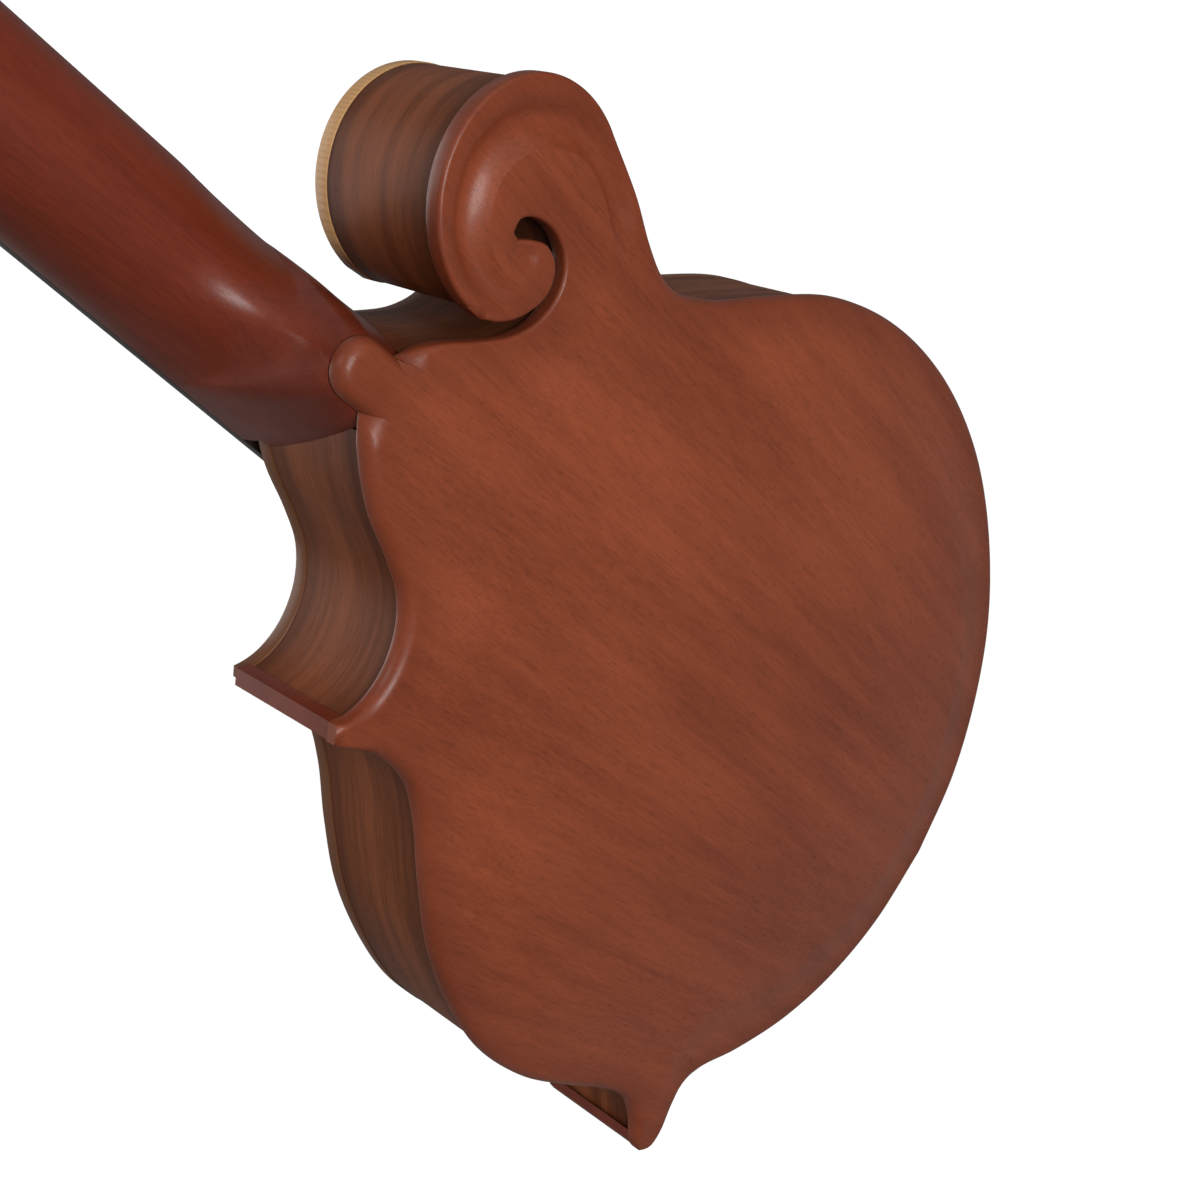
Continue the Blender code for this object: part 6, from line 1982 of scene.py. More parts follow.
    def dots(self) -> None:
        """Round position marks in the fretboard's face and its bass edge."""
        spots, marks = [], []
        for number in POSITION_DOTS:
            s = SIZES.nut_reach - (SIZES.fret(number) + SIZES.fret(number - 1)) / 2
            apart = 0.0062 if number == 12 else 0.0
            for x in {-apart, apart}:
                spots.append(Spot((x, s, SIZES.board_top - 0.0002)))
                marks.append(Spot((-SIZES.half_width(s) + 0.0002, s + x * 0.5, SIZES.board_top - 0.0018),
                                  (0.0, -pi / 2, 0.0), (0.42, 0.42, 1.0)))
        radius = self.dot_radius
        dot = turned([(radius, 0.0), (radius, 0.00022), (radius * 0.9, 0.00027)], 28).mesh("dot")
        mesh = REPEATER.mesh(dot, sorted(spots + marks, key=lambda spot: spot.place), DOT_PEARL)
        add_piece("position_marks", mesh, DOT_PEARL, "body", self.place)

    def string_plane(self, s: float) -> float:
        """Height of the strings' centres over the gluing plane.

        Args:
            s: The distance from the joint.

        Returns:
            The height there.
        """
        share = (SIZES.nut_reach - s) / SIZES.scale_length
        return (SIZES.board_top + SIZES.fret_height + self.nut_action
                + (self.bridge_action - self.nut_action) * share)

    def grooved(self, x: float, top: float, centre: float, spread: float, reach: float) -> float:
        """The height of a crest that has a groove for each string.

        Args:
            x: The place across the strings.
            top: The crest's height beside the grooves.
            centre: The height of the thickest string's middle.
            spread: The distance between the pairs of strings.
            reach: How far a groove reaches sideways, in radii of its string.

        Returns:
            The height at that place.
        """
        thickest = max(self.string_radii.values())
        for place, name in zip(string_places(spread), STRING_NAMES):
            radius, apart = self.string_radii[name], abs(x - place)
            if apart < radius * reach:
                middle = centre + radius - thickest
                top = min(top, middle - sqrt(max(radius ** 2 - min(apart, radius) ** 2, 0.0)))
        return top

    def nut(self) -> None:
        """The bone nut with a groove for each string."""
        half = SIZES.half_width(SIZES.nut_reach)
        centre = self.string_plane(SIZES.nut_reach)
        start, end = SIZES.nut_reach, SIZES.nut_end
        rings = []
        for x in np.linspace(-half, half, 231):
            top = centre + self.nut_rise - 0.0006 * eased((abs(x) - half + 0.0012) / 0.0012)
            top = self.grooved(x, top, centre, self.nut_spread, 1.15)
            rings.append([(x, start, 0.0), (x, start, top - 0.0001), (x, start + 0.0002, top),
                          (x, start + 0.0016, top - 0.0001), (x, end - 0.0006, top - 0.0009),
                          (x, end, top - 0.0016), (x, end, 0.0)])
        add_piece("bone_nut", loft(rings), BONE, "body", self.place, ["nut"], 40.0)

    def cover(self) -> None:
        """The plate over the truss rod's pocket, with its screws."""
        half = self.cover_width / 2
        outline = smooth_through(
            ((half * 0.95, 0.0012), (half, 0.0060), (half * 0.80, 0.0140), (half * 0.42, 0.0220),
             (half * 0.36, 0.0260), (0.0, self.cover_length), (-half * 0.36, 0.0260), (-half * 0.42, 0.0220),
             (-half * 0.80, 0.0140), (-half, 0.0060), (-half * 0.95, 0.0012)), 0.0012)
        top = SIZES.face + self.cover_thickness
        shell = rounded_profile(outline, SIZES.face - 0.00002, top, 0.0004)
        add_piece("rod_cover", shell, BLACK_PLASTIC, "body", self.head, ["truss_rod_cover"])
        spots = [Spot((x, s, top - 0.0001), (0.0, 0.0, turn))
                 for x, s, turn in ((-0.0068, 0.0042, 0.4), (0.0068, 0.0042, 1.3), (0.0, 0.0250, 0.1))]
        mesh = REPEATER.mesh(screw_head(0.0012), spots, NICKEL)
        add_piece("rod_cover_screws", mesh, NICKEL, "body", self.head)


@dataclass
class Tuners:
    """Two plates of four worm tuners with their posts, bushings and knobs."""

    post_radius: float = 0.0029
    post_reach: float = 0.0115
    wrap_height: float = 0.0065
    bushing_radius: float = 0.0054
    plate: float = 0.0012
    plate_width: float = 0.0150
    plate_margin: float = 0.0070
    gear_radius: float = 0.0064
    gear_tooth: float = 0.0011
    gear_teeth: int = 15
    gear_width: float = 0.0034
    worm_radius: float = 0.0022
    worm_length: float = 0.0076
    shaft_radius: float = 0.0014
    ear: float = 0.0014
    knob_start: float = 0.0340
    knob_length: float = 0.0150
    knob_width: float = 0.0175
    knob_thickness: float = 0.0070

    def __post_init__(self) -> None:
        """Place the tuners in the headstock's frame."""
        self.place = SIZES.head()
        self.plate_back = -SIZES.head_thickness - SIZES.clear - self.plate
        self.axis = self.plate_back - SIZES.clear - self.worm_radius
        self.offset = self.gear_radius + self.worm_radius + SIZES.clear

    def build(self) -> None:
        """Make every tuner."""
        for side in Side:
            for number in range(1, 5):
                self.post(side, number)
                self.gear(side, number)
                self.knob(side, number)
            self.plate_and_ears(side)
        self.bushings()

    def seat(self, side: Side, number: int) -> Matrix:
        """A post's place, as a matrix to the part's frame."""
        return self.place @ Matrix.Translation((*SIZES.post_spots(side)[number - 1], 0.0))

    def post(self, side: Side, number: int) -> None:
        """One post with its waist for the string and the slot in its top.

        Args:
            side: The headstock's side.
            number: The post, counted from the nut.
        """
        name, radius = side.name.lower(), self.post_radius
        top, wrap = SIZES.face + self.post_reach, SIZES.face + self.wrap_height
        low = self.axis - self.gear_width / 2 - 0.0012
        profile = [(radius * 0.6, low), (radius * 0.8, low + 0.0003), (radius, low + 0.0008),
                   (radius, wrap - 0.0026), (radius * 0.93, wrap - 0.0018), (radius * 0.84, wrap),
                   (radius * 0.93, wrap + 0.0018), (radius, wrap + 0.0026), (radius, top - 0.0010),
                   (radius * 0.93, top - 0.0004), (radius * 0.7, top)]
        slot = slab([rectangle(radius * 1.2, 0.0004)], top - 0.0018, top + 0.001)
        mesh = shaped(turned(profile, 28).mesh("post"), cuts=[slot])
        add_piece(f"post_{name}_{number}", mesh, NICKEL, f"{name}_capstan_{number}", self.seat(side, number),
                  [f"{name}_post_{number}"], 32.0)

    def gear(self, side: Side, number: int) -> None:
        """The toothed brass wheel on a post's foot, with its screw.

        Args:
            side: The headstock's side.
            number: The post, counted from the nut.
        """
        outline = []
        for tooth in range(self.gear_teeth):
            for half, depth in ((-0.30, 1.0), (-0.14, 0.0), (0.14, 0.0), (0.30, 1.0)):
                angle = 2 * pi * (tooth + half) / self.gear_teeth
                reach = self.gear_radius - depth * self.gear_tooth
                outline.append((reach * cos(angle), reach * sin(angle)))
        half, seat = self.gear_width / 2, self.seat(side, number)
        label, body = f"{side.name.lower()}_{number}", f"{side.name.lower()}_capstan_{number}"
        wheel = rounded_profile(np.array(outline), self.axis - half, self.axis + half, 0.00025, 2)
        add_piece(f"gear_{label}", wheel, BRASS, body, seat)
        down = Spot((0.0, 0.0, self.axis - half - 0.0010), (pi, 0.0, 0.7))
        screw = REPEATER.mesh(screw_head(0.0020), [down], NICKEL)
        add_piece(f"gear_screw_{label}", screw, NICKEL, body, seat)

    def knob(self, side: Side, number: int) -> None:
        """One worm shaft along the local X axis, with its knob.

        Args:
            side: The headstock's side.
            number: The post that it turns, counted from the nut.
        """
        name = side.name.lower()
        s = SIZES.post_spots(side)[number - 1][1]
        seat = (self.place @ Matrix.Translation((0.0, s - self.offset, self.axis))
                @ Matrix.Rotation(pi if side is Side.BASS else 0.0, 4, "Z"))
        near, far = SIZES.post_offset - self.worm_length / 2, SIZES.post_offset + self.worm_length / 2
        start, thin, core = self.knob_start, self.shaft_radius, self.worm_radius * 0.72
        profile = [(thin * 0.8, near - 0.0025), (thin, near - 0.0023), (thin, near), (core, near + 0.0002),
                   (core, far - 0.0002), (thin, far), (thin, start - 0.0016), (0.0023, start - 0.0014),
                   (0.0027, start - 0.0006), (0.0027, start + 0.0004), (0.0020, start + 0.0008)]
        thread = COILER.mesh(4.5, core + 0.0001, self.worm_length - 0.0012, 0.00042, NICKEL)
        thread.transform(Matrix.Translation((0.0, 0.0, near + 0.0006)))
        mesh = merged([turned(profile, 24).mesh("shaft"), thread])
        body = f"{name}_peg_{number}"
        add_piece(f"worm_{name}_{number}", mesh, NICKEL, body, seat @ Matrix.Rotation(pi / 2, 4, "Y"),
                  [f"{name}_knob_{number}"], 50.0)
        rings = []
        for index in range(19):
            share = index / 18
            wide = self.knob_width / 2 * sin(pi * (0.10 + 0.83 * share) ** 1.18) ** 0.62
            thick = self.knob_thickness / 2 * sin(pi * (0.13 + 0.80 * share)) ** 0.50
            x = start + self.knob_length * (1 - cos(pi * share)) / 2
            corners = [(cos(a), sin(a)) for a in np.arange(32) * 2 * pi / 32]
            rings.append([(x, wide * math.copysign(abs(c) ** 0.8, c), thick * math.copysign(abs(d) ** 0.8, d))
                          for c, d in corners])
        add_piece(f"button_{name}_{number}", loft(rings), KNOB_PEARL, body, seat, sharp=60.0)

    def plate_and_ears(self, side: Side) -> None:
        """One metal plate with the ears that carry its worm shafts, and its screws.

        Args:
            side: The headstock's side.
        """
        name = side.name.lower()
        low = SIZES.first_post - self.offset - self.worm_radius - self.plate_margin
        high = SIZES.first_post + SIZES.post_spacing * 3 + self.gear_radius + self.plate_margin
        middle, half = side.value * SIZES.post_offset, self.plate_width / 2
        corner = 0.0026
        outline = []
        for x, y, start in ((half, low, -90), (half, high, 0), (-half, high, 90), (-half, low, 180)):
            inner = (middle + x - math.copysign(corner, x), y + (corner if y == low else -corner))
            for angle in np.radians(np.linspace(start, start + 90, 7)):
                outline.append((inner[0] + corner * cos(angle), inner[1] + corner * sin(angle)))
        back = self.plate_back
        plate = rounded_profile(np.array(outline), back, back + self.plate + SIZES.clear, 0.0003, 2)
        reach = self.worm_length / 2 + SIZES.clear
        ears = [self.ear_shell(side, s - self.offset, edge) for _, s in SIZES.post_spots(side)
                for edge in (-self.worm_length / 2 - SIZES.clear - self.ear, reach)]
        add_piece(f"tuner_plate_{name}_side", plate.joined(*ears), NICKEL, "body", self.place,
                  [f"tuner_plate_{name}"], 32.0)
        places = [low + 0.0030, high - 0.0030]
        places += [s + SIZES.post_spacing * 0.34 for _, s in SIZES.post_spots(side)[:3]]
        turns = [Spot((middle, s, back + 0.0001), (pi, 0.0, 0.9 * index)) for index, s in enumerate(places)]
        mesh = REPEATER.mesh(screw_head(0.0014), turns, NICKEL)
        add_piece(f"tuner_screws_{name}", mesh, NICKEL, "body", self.place)

    def ear_shell(self, side: Side, s: float, edge: float) -> Shell:
        """One ear of a plate with a round end and a hole for the shaft.

        Args:
            side: The headstock's side.
            s: How far up the head its shaft lies.
            edge: Where it starts, beside the post's line.

        Returns:
            The ear.
        """
        half = self.shaft_radius + 0.0013
        top = self.plate_back + self.plate * 0.5
        ends = [(s - half, top), *[(s + half * cos(a), self.axis + half * sin(a))
                                   for a in np.linspace(pi, 2 * pi, 13)], (s + half, top)]
        hole = circle((s, self.axis), self.shaft_radius + SIZES.clear * 0.5, 20)[::-1]
        outline = np.array(ends)
        turn = Matrix(((0, 0, 1, 0), (1, 0, 0, 0), (0, 1, 0, 0), (0, 0, 0, 1)))
        low, high = sorted(side.value * (SIZES.post_offset + x) for x in (edge, edge + self.ear))
        return slab([outline, hole], low, high).moved(turn)

    def bushings(self) -> None:
        """The collars round the posts on the headstock's face."""
        radius, inner, height = self.bushing_radius, self.post_radius + 0.0002, 0.0014
        profile = [(inner, 0.0), (radius, 0.0), (radius, 0.0004), (radius * 0.93, 0.0007),
                   (radius * 0.80, 0.0008), (radius * 0.76, height * 0.9), (radius * 0.70, height),
                   (inner, height)]
        spots = [Spot((x, s, SIZES.face - 0.00002))
                 for side in Side for x, s in SIZES.post_spots(side)]
        mesh = REPEATER.mesh(turned(profile, 30, True).mesh("bushing"), spots, NICKEL)
        add_piece("post_bushings", mesh, NICKEL, "body", self.place, sharp=30.0)


def merged(meshes: Sequence[Mesh]) -> Mesh:
    """Several meshes as one.

    Args:
        meshes: The meshes, used up by this.

    Returns:
        The joined mesh.
    """
    edit = bmesh.new()
    for mesh in meshes:
        edit.from_mesh(mesh)
    made = bpy.data.meshes.new("merged")
    edit.to_mesh(made)
    edit.free()
    return made


STRING_NAMES = ("g", "g", "d", "d", "a", "a", "e", "e")


def string_places(spread: float, gap: float = 0.0022) -> List[float]:
    """Where the eight strings cross a line, for a distance between pairs.

    Args:
        spread: The width from the first pair to the last.
        gap: The distance inside a pair.

    Returns:
        A place for each string.
    """
    places = []
    for pair in range(4):
        middle = (pair - 1.5) * spread
        places += [middle - gap / 2, middle + gap / 2]
    return places


@dataclass
class Stringing:
    """The bridge, the tailpiece, the strings between them and the end pin."""

    box: SoundBox
    neck: Neck
    tuners: Tuners
    bridge_spread: float = 0.0120
    base_length: float = 0.1120
    base_width: float = 0.0100
    base_height: float = 0.0056
    saddle_length: float = 0.0680
    saddle_width: float = 0.0060
    stud_radius: float = 0.0016
    stud_spacing: float = 0.0460
    wheel_radius: float = 0.0050
    wheel_thickness: float = 0.0014
    wheel_lift: float = 0.0021
    tail_length: float = 0.0560
    tail_width: float = 0.0380
    tail_rise: float = 0.0052
    metal: float = 0.0010
    leg_width: float = 0.0260
    hook_height: float = 0.0036
    hook_radius: float = 0.0008
    hook_spread: float = 0.78
    hook_start: float = 0.026
    hook_stagger: float = 0.008
    turn_count: float = 3.5
    turn_pitch: float = 2.15
    bend_ease: float = 0.0006
    lid_nose: float = 0.006
    cover_rise: float = 0.0080
    pin_radius: float = 0.0072

    def __post_init__(self) -> None:
        """Work out the heights and the paths of the strings."""
        self.plan = SIZES.plan()
        self.thickest = max(self.neck.string_radii.values())
        reach = SIZES.nut_reach - SIZES.scale_length
        self.bridge = self.neck.to_neck @ Vector((0.0, reach, self.neck.string_plane(reach)))
        arch = float(self.box.top_outer(np.array([[0.0, self.bridge.y]]))[0])
        self.base_top = arch + SIZES.clear + self.base_height
        self.wheel_low = self.base_top + self.wheel_lift
        self.saddle_low = self.wheel_low + self.wheel_thickness + SIZES.clear
        self.tail_end = BASS_SIDE[0][1]
        tail = Matrix.Translation((0.0, self.tail_end + 0.0015, SIZES.body_depth + 0.0042))
        self.tail = tail @ Matrix.Rotation(math.atan2(self.tail_rise, self.tail_length), 4, "X")

    def build(self) -> None:
        """Make every piece that the strings bear on, and the strings."""
        self.foot()
        self.studs_and_wheels()
        self.saddle()
        self.tailpiece()
        self.tail_cover()
        self.strings()
        self.end_pin()

    def foot(self) -> None:
        """The bridge's foot, fitted to the soundboard."""
        rings = []
        half = self.base_length / 2
        for share in np.linspace(-1.0, 1.0, 97):
            x = half * share
            width = self.base_width / 2 * (1.0 - 0.45 * abs(share) ** 6)
            sides = np.array([(x, self.bridge.y - width), (x, self.bridge.y + width)])
            under = self.box.top_outer(sides) + 0.00003
            lift = 0.0022 * eased((0.42 - abs(share)) / 0.10)
            slope_in = eased((abs(share) - 0.58) / 0.42)
            tip = float(under.max()) + 0.0029
            top = self.base_top * (1.0 - slope_in) + min(tip, self.base_top) * slope_in
            edge = 0.0012
            y, narrow = self.bridge.y, width * 0.75
            rings.append([
                (x, sides[0][1], under[0] + lift), (x, sides[1][1], under[1] + lift),
                (x, sides[1][1], under[1] + lift + 0.0006), (x, y + narrow, top - edge),
                (x, y + narrow * 0.88, top - edge * 0.35), (x, y + narrow * 0.6, top),
                (x, y - narrow * 0.6, top), (x, y - narrow * 0.88, top - edge * 0.35),
                (x, y - narrow, top - edge), (x, sides[0][1], under[0] + lift + 0.0006)])
        add_piece("bridge_foot", loft(rings), EBONY, "body", self.plan, ["bridge_base"], 40.0)

    def studs_and_wheels(self) -> None:
        """The two threaded studs and the knurled wheels on them."""
        saddle_top = self.bridge.z - self.thickest - SIZES.clear
        stud_top = self.saddle_low + (saddle_top - self.saddle_low) * 0.5
        inner, outer, thick = self.stud_radius + 0.0002, self.wheel_radius, self.wheel_thickness
        studs = []
        for x, name in ((-self.stud_spacing / 2, "bass"), (self.stud_spacing / 2, "treble")):
            seat = Matrix.Translation((x, self.bridge.y, 0.0))
            low = self.base_top - 0.001
            rod = turned([(self.stud_radius * 0.9, low), (self.stud_radius * 0.9, stud_top)], 20).mesh("stud")
            thread = COILER.mesh((stud_top - low) / 0.0007, self.stud_radius * 0.9, stud_top - low - 0.0004,
                                 0.00018, BRASS)
            thread.transform(Matrix.Translation((0.0, 0.0, low + 0.0002)))
            stud = merged([rod, thread])
            stud.transform(seat)
            studs.append(stud)
            rim = outer * 0.97
            disc = turned([(inner, 0.0), (outer * 0.93, 0.0), (rim, 0.0001), (rim, thick - 0.0001),
                           (outer * 0.93, thick), (inner, thick)], 40, True).mesh("wheel")
            ridge = rounded_profile(circle((0.0, 0.0), 0.00022, 6), 0.0001, thick - 0.0001, 0.00005, 1)
            spots = [Spot((rim * cos(a), rim * sin(a), 0.0)) for a in np.arange(48) * 2 * pi / 48]
            mesh = merged([disc, REPEATER.mesh(ridge.mesh("ridge"), spots, BRASS)])
            place = self.plan @ seat @ Matrix.Translation((0.0, 0.0, self.wheel_low))
            add_piece(f"{name}_height_wheel", mesh, BRASS, f"{name}_wheel", place,
                      [f"{name}_thumbwheel"], 30.0)
        add_piece("bridge_studs", merged(studs), BRASS, "body", self.plan, sharp=30.0)

    def saddle(self) -> None:
        """The bridge's saddle with a groove for each string and stepped crests."""
        half, wide = self.saddle_length / 2, self.saddle_width / 2
        steps = {0: -0.0009, 1: 0.0007, 2: -0.0006, 3: 0.0009}
        rings = []
        for x in np.linspace(-half, half, 401):
            pair = min(max(int((x + 2 * self.bridge_spread) // self.bridge_spread), 0), 3)
            crest = self.bridge.y + steps[pair]
            ends = eased((abs(x) - half + 0.0030) / 0.0030)
            low = self.saddle_low + 0.0016 * ends
            high = self.bridge.z - 0.0001 - 0.0040 * eased((abs(x) - 0.022) / 0.012)
            high = self.neck.grooved(x, high, self.bridge.z, self.bridge_spread, 1.2)
            body = wide * (1.0 - 0.5 * ends)
            y = self.bridge.y
            shoulder = high - 0.0022
            rings.append([(x, y - body * 0.9, low), (x, y + body * 0.9, low), (x, y + body, low + 0.0004),
                          (x, y + body * 0.95, shoulder), (x, crest + 0.0006, high),
                          (x, crest - 0.0006, high), (x, y - body * 0.95, shoulder),
                          (x, y - body, low + 0.0004)])
        add_piece("saddle_top", loft(rings), EBONY, "saddle", self.plan, ["bridge_saddle"], 40.0)

    def hook_spots(self) -> List[Flat]:
        """Where the hooks stand on the tailpiece.

        Returns:
            Each hook's place across and along it.
        """
        places = string_places(self.bridge_spread)
        return [(x * self.hook_spread, self.hook_start + self.hook_stagger * (index % 2))
                for index, x in enumerate(places)]

    def tailpiece(self) -> None:
        """The bent metal plate over the tail, with its hooks and screws."""
        out = self.tail_end - SIZES.clear - self.metal
        leg = SIZES.body_depth / 2 + self.pin_radius + 0.0012
        bend = self.tail @ Vector((0.0, 0.0035, 0.0))
        knots = [(out, leg), (out, leg + 0.008), (out, SIZES.body_depth - 0.002),
                 (out + 0.0008, SIZES.body_depth + 0.0020), (bend.y, bend.z)]
        path = smooth_through(knots, 0.0008)
        far = self.tail @ Vector((0.0, self.tail_length, 0.0))
        path = np.vstack([path, [(far.y, far.z)]])
        rings = []
        along = np.gradient(path, axis=0)
        along /= np.linalg.norm(along, axis=1)[:, None]
        for index, (y, z) in enumerate(path):
            share = np.clip((z - leg) / 0.006, 0.0, 1.0)
            half = self.leg_width / 2 * (0.6 + 0.4 * sin(pi / 2 * share))
            if index >= len(path) - 2:
                half = self.tail_width / 2
            dy, dz = along[index][1] * self.metal, -along[index][0] * self.metal
            rings.append([(-half, y, z), (half, y, z), (half, y + dy, z + dz), (-half, y + dy, z + dz)])
        shell = loft(rings)
        size, high = self.hook_radius, self.hook_height
        hook = turned([(size, -self.metal * 0.5), (size, high * 0.85), (size * 1.5, high * 0.93),
                       (size * 1.4, high), (size * 0.6, high * 1.05)], 14)
        hooks = []
        for x, reach in self.hook_spots():
            hooks.append(hook.moved(self.tail @ Matrix.Translation((x, reach, 0.0))))
        add_piece("tailpiece", shell.joined(*hooks), NICKEL, "body", self.plan, ["tailpiece_base"], 35.0)
        spots = [Spot((x, out + 0.0001, z), (pi / 2, 0.0, 0.0))
                 for x, z in ((-0.0085, leg + 0.0105), (0.0085, leg + 0.0105), (0.0, leg + 0.0135))]
        mesh = REPEATER.mesh(screw_head(0.0016), spots, NICKEL)
        add_piece("tailpiece_screws", mesh, NICKEL, "body", self.plan)

    def arch(self, half: float, low: float, high: float, shrink: float) -> List[Flat]:
        """An arch from its right foot over to its left, drawn in towards its foot by a share.

        Args:
            half: Half its width.
            low: The foot's height.
            high: The height in its middle.
            shrink: The share by which it is drawn in.

        Returns:
            The arch's corners.
        """
        side = high * 0.45
        top = [(half * cos(a), side + (high - side) * sin(a)) for a in np.linspace(0.0, pi, 31)]
        return [(x * (1 - shrink * 0.12), low + (z - low) * (1 - shrink))
                for x, z in [(half, low), *top, (-half, low)]]

    def tail_cover(self) -> None:
        """The plated cover that slides over the tailpiece's hooks."""
        half = self.tail_width / 2 + SIZES.clear
        wall, low, high = self.metal, -1.4 * self.metal, self.cover_rise
        start, end = -0.0095, self.tail_length + 0.010
        nose = self.lid_nose
        stations = [end, end - 0.0003, *np.linspace(end - 0.002, start + nose, 14)]
        stations += [start + nose * (1 - sin(a)) for a in np.linspace(0.15, pi / 2, 9)]
        rings = []
        for y in stations:
            share = max(0.0, (start + nose - y) / nose)
            shrink = (1 - sqrt(max(1 - share * share, 0.0))) * 0.55
            outer = self.arch(half + wall, low, high, shrink)
            inner = self.arch(half, low, high - wall, shrink)
            rings.append([(x, y, z) for x, z in outer] + [(x, y, z) for x, z in reversed(inner)])
        end_plate = slab([np.array(self.arch(half + wall * 0.5, low, high - wall * 0.5, 0.55))], 0.0, wall)
        turn = Matrix(((1, 0, 0, 0), (0, 0, 1, start), (0, 1, 0, 0), (0, 0, 0, 1)))
        shell = loft(rings).joined(end_plate.moved(turn))
        add_piece("tailpiece_lid", shell, NICKEL, "tail_cover", self.plan @ self.tail,
                  ["tailpiece_cover"], 42.0)

    def strings(self) -> None:
        """Eight strings with their end loops, twists and turns round the posts."""
        order = [(Side.BASS, 0), (Side.BASS, 1), (Side.BASS, 2), (Side.BASS, 3),
                 (Side.TREBLE, 3), (Side.TREBLE, 2), (Side.TREBLE, 1), (Side.TREBLE, 0)]
        reach = SIZES.nut_reach - SIZES.scale_length
        bridge_x, nut_x = string_places(self.bridge_spread), string_places(self.neck.nut_spread)
        to_neck, to_head = self.neck.to_neck, self.neck.to_head
        for index, name in enumerate(STRING_NAMES):
            radius = self.neck.string_radii[name]
            lift = radius - self.thickest
            x, along = self.hook_spots()[index]
            loop_radius = self.hook_radius + radius * 0.8
            level = self.hook_height * 0.55
            start = self.tail @ Vector((x, along + loop_radius, level))
            bridge = to_neck @ Vector((bridge_x[index], reach, self.neck.string_plane(reach) + lift - 0.0001))
            near, far = SIZES.nut_reach, SIZES.nut_end
            front = to_neck @ Vector((nut_x[index], near, self.neck.string_plane(near) + lift))
            rear = to_neck @ Vector((nut_x[index], far, self.neck.string_plane(far) + lift - 0.0008))
            side, post = order[index]
            spot = SIZES.post_spots(side)[post]
            wrap = SIZES.face + self.tuners.wrap_height
            turn_radius = self.tuners.post_radius * 0.88 + radius
            end = to_head @ Vector((spot[0] - side.value * turn_radius, spot[1], wrap))
            path = self.filled([start, bridge, front, rear, end])
            tube = swept(path, radius, 8)
            ring = [self.tail @ Vector((x + loop_radius * sin(a), along + loop_radius * cos(a), level))
                    for a in np.linspace(0.0, 2 * pi, 17)]
            twist = swept([start, start + (bridge - start) * 0.045], radius * 2.0, 8)
            shell = tube.joined(swept(ring, radius * 0.8, 6), twist)
            finish = WOUND_STRING if name in ("g", "d") else PLAIN_STRING
            label = f"{name}_{index % 2 + 1}"
            mesh = shell.mesh(f"string_{label}")
            spots = np.array([tuple(vertex.co) for vertex in mesh.vertices])
            along_run(mesh, np.linalg.norm(spots - np.array(start), axis=1), spots[:, 0])
            add_piece(f"tuned_string_{label}", mesh, finish, "body", self.plan, [f"string_{label}"], 70.0)
            self.turns(label, finish, side, post, radius, turn_radius, wrap)

    def turns(self, label: str, finish: Finish, side: Side, post: int, radius: float, reach: float,
              wrap: float) -> None:
        """A string's turns round its post, which turn with it.

        Args:
            label: The string's name.
            finish: Its finish.
            side: The side of the headstock.
            post: Which post, from the nut up.
            radius: The string's radius.
            reach: From the post's axis to the string's middle.
            wrap: How high the string meets the post.
        """
        height = self.turn_count * radius * self.turn_pitch
        mesh = COILER.mesh(self.turn_count, reach, height, radius, finish)
        points = np.array([tuple(vertex.co) for vertex in mesh.vertices])
        for old in list(mesh.uv_layers):
            mesh.uv_layers.remove(old)
        along_run(mesh, np.arctan2(points[:, 1], points[:, 0]) * reach, points[:, 2])
        x, s = SIZES.post_spots(side)[post]
        seat = self.neck.head @ Matrix.Translation((x, s, wrap - height + radius))
        body = f"{side.name.lower()}_capstan_{post + 1}"
        add_piece(f"string_turns_{label}", mesh, finish, body, seat, sharp=70.0)

    def filled(self, knots: Sequence[Vector]) -> List[Vector]:
        """A path with its bends eased by a few more points.

        Args:
            knots: The path's bends.

        Returns:
            The fuller path.
        """
        path = [knots[0]]
        for before, knot, after in zip(knots, knots[1:], knots[2:]):
            path += [knot + (before - knot).normalized() * self.bend_ease, knot,
                     knot + (after - knot).normalized() * self.bend_ease]
        path.append(knots[-1])
        return path

    def end_pin(self) -> None:
        """The strap pin in the tail, with a flat outer face."""
        start = self.tail_end + SIZES.overhang - SIZES.clear
        reach, radius = SIZES.end_pin_reach, self.pin_radius
        profile = [(radius * 0.80, -reach), (radius * 0.92, -reach + 0.0002), (radius, -reach + 0.0010),
                   (radius, -reach + 0.0026), (radius * 0.93, -reach + 0.0034), (0.0050, -reach + 0.0046),
                   (0.0044, -reach + 0.0060), (0.0046, -0.0034), (0.0056, -0.0020), (0.0062, -0.0012),
                   (0.0062, 0.0), (0.0040, 0.0002), (0.0036, 0.018)]
        rings = [[(x, start + along, SIZES.body_depth / 2 + z) for x, z in circle((0.0, 0.0), size, 40)]
                 for size, along in profile]
        add_piece("strap_pin", loft(rings), EBONY, "body", self.plan, ["end_pin"], 35.0)


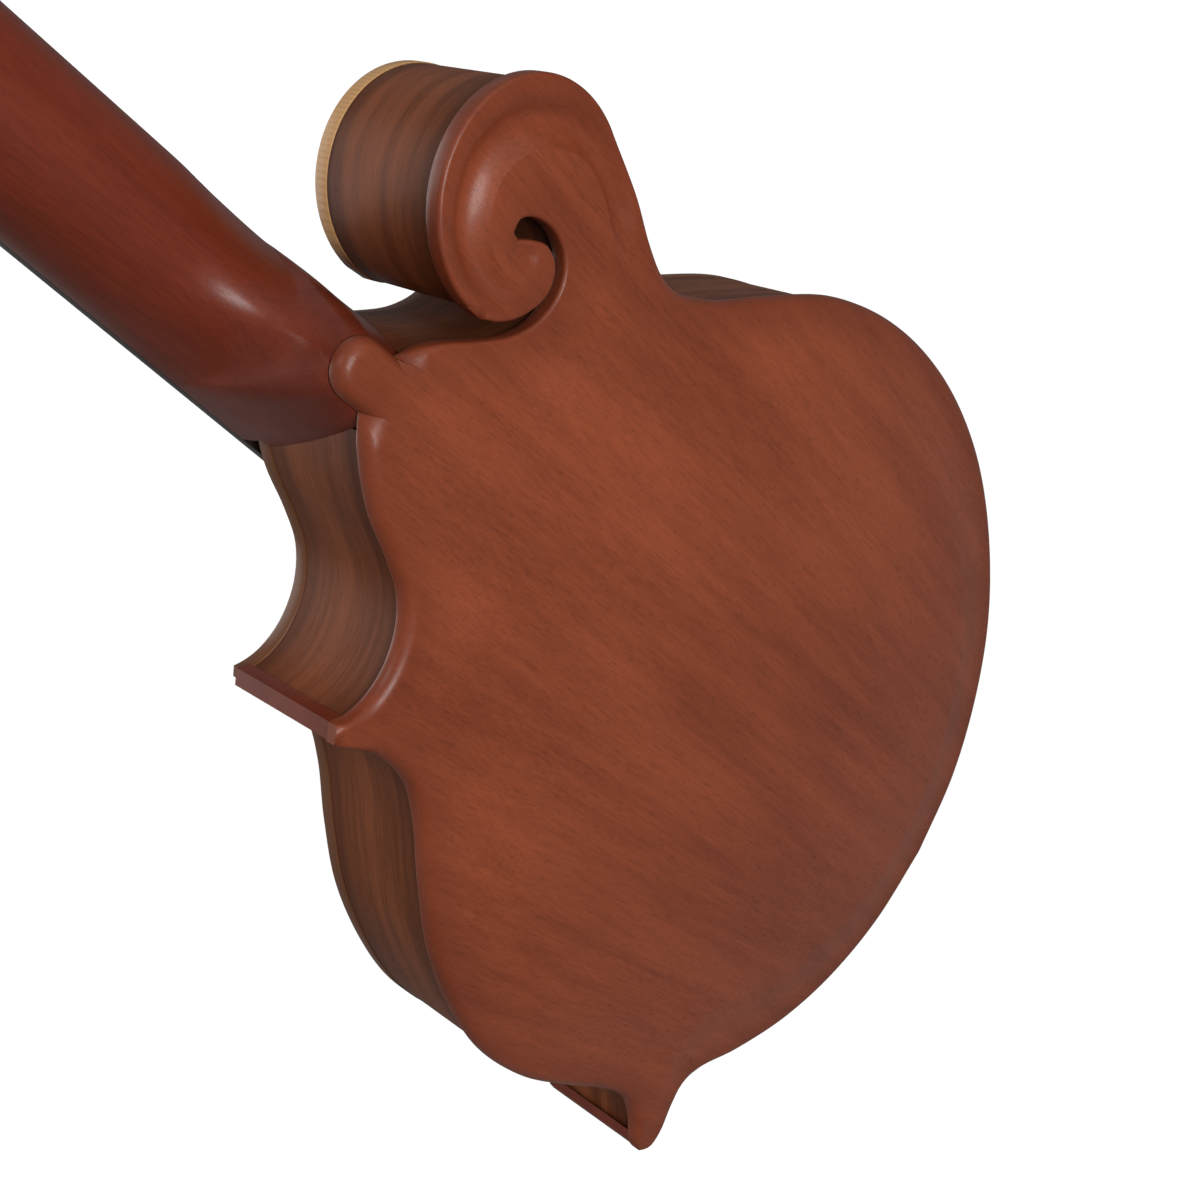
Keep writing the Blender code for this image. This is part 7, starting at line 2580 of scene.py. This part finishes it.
@dataclass
class Studio:
    """The camera at the photograph's angle, the floor and the lamps."""

    camera_place: Point = (0.0648, 0.2776, 0.5633)
    right: Point = (-0.49421, 0.71685, -0.49182)
    up: Point = (-0.85696, -0.30657, 0.41428)
    back: Point = (0.14620, 0.62621, 0.76582)
    lens: float = 47.13
    floor_gap: float = 0.090
    floor_size: float = 12.0

    def build(self) -> None:
        """Place the camera, floor, lamps and world."""
        self.camera()
        self.floor()
        self.lamp("key", (-0.02, 0.70, 0.55), 0.35, 4.9, (0.0, 0.0, 0.2))
        self.lamp("top", (0.15, 0.05, 1.55), 0.5, 4.0, (0.0, 0.0, 0.2))
        self.lamp("fill", (-1.5, 1.3, 1.4), 1.8, 6.0, (0.0, 0.0, 0.2))
        self.lamp("front", (0.4, -1.9, 1.0), 1.8, 24.0, (0.0, 0.0, 0.3))
        self.world()
        bpy.context.scene.view_settings.view_transform = "Standard"

    def camera(self) -> None:
        """The camera that the photograph's outline was measured with."""
        data = bpy.data.cameras.new("camera")
        data.lens = self.lens
        data.clip_start = 0.01
        eye = linked("camera", data)
        turn = Matrix((self.right, self.up, self.back)).transposed().to_4x4()
        eye.matrix_world = Matrix.Translation(self.camera_place) @ turn
        bpy.context.scene.camera = eye

    def floor(self) -> None:
        """A plain pale floor below the tail, which keeps the shadow."""
        half, height = self.floor_size / 2, CAD_BOX[0][2] - self.floor_gap
        mesh = bpy.data.meshes.new("floor")
        corners = ((-half, -half), (half, -half), (half, half), (-half, half))
        mesh.from_pydata([(x, y, height) for x, y in corners], [], [(0, 1, 2, 3)])
        look = bpy.data.materials.new("floor")
        look.use_nodes = True
        tree = Tree(look.node_tree)
        shader = look.node_tree.nodes["Principled BSDF"]
        tree.fill(shader.inputs, {"Base Color": (0.18, 0.18, 0.18), "Roughness": 0.9})
        spot = tree.node("ShaderNodeTexCoord").outputs["Object"]
        away = tree.put("ShaderNodeVectorMath", {0: spot}, "Value", operation="LENGTH")
        glow = {"Color": (1.0, 1.0, 1.0), "Strength": tree.span(away, 0.4, 1.8, 0.88, 1.1)}
        lit = tree.put("ShaderNodeAddShader", {0: shader.outputs[0], 1: tree.put("ShaderNodeEmission", glow)})
        choose = tree.put("ShaderNodeMixShader", {0: self.seen(tree, 0.05), 1: shader.outputs[0], 2: lit})
        tree.feed(look.node_tree.nodes["Material Output"].inputs["Surface"], choose)
        mesh.materials.append(look)
        linked("floor", mesh)

    def seen(self, tree: Tree, glossy: float) -> Socket:
        """How fully a ray sees the white surround.

        Args:
            tree: The writer of the surround's nodes.
            glossy: The share for rays off a glossy surface.

        Returns:
            1 for the camera's rays, and 0 for rays that carry light.
        """
        path = tree.node("ShaderNodeLightPath").outputs
        seen = tree.math("MAXIMUM", path["Is Camera Ray"], path["Is Transmission Ray"])
        return tree.math("MAXIMUM", seen, tree.times(path["Is Glossy Ray"], glossy))

    def lamp(self, name: str, place: Point, size: float, power: float,
             aim: Point) -> None:
        """One soft lamp.

        Args:
            name: Its name.
            place: Where it stands.
            size: Its width and height.
            power: Its power in watts.
            aim: Where it points.
        """
        data = bpy.data.lights.new(name, "AREA")
        data.size = size
        data.energy = power
        lamp = linked(name, data)
        lamp.location = place
        lamp.rotation_euler = (Vector(aim) - Vector(place)).to_track_quat("-Z", "Y").to_euler()

    def world(self) -> None:
        """An even white surround, dimmer as light than as background."""
        world = bpy.data.worlds.new("studio")
        world.use_nodes = True
        bpy.context.scene.world = world
        tree = Tree(world.node_tree)
        ground = world.node_tree.nodes["Background"].inputs
        tree.feed(ground["Color"], (1.0, 1.0, 1.0))
        tree.feed(ground["Strength"], tree.math("MAXIMUM", self.seen(tree, 0.4), 0.20))


def main() -> None:
    """Build the visual model round the frame."""
    logging.basicConfig(level=logging.INFO, format="%(name)s: %(message)s")
    box = SoundBox()
    box.build()
    neck = Neck(box)
    neck.build()
    tuners = Tuners()
    tuners.build()
    Stringing(box, neck, tuners).build()
    Studio().build()


if __name__ == "__main__":
    main()
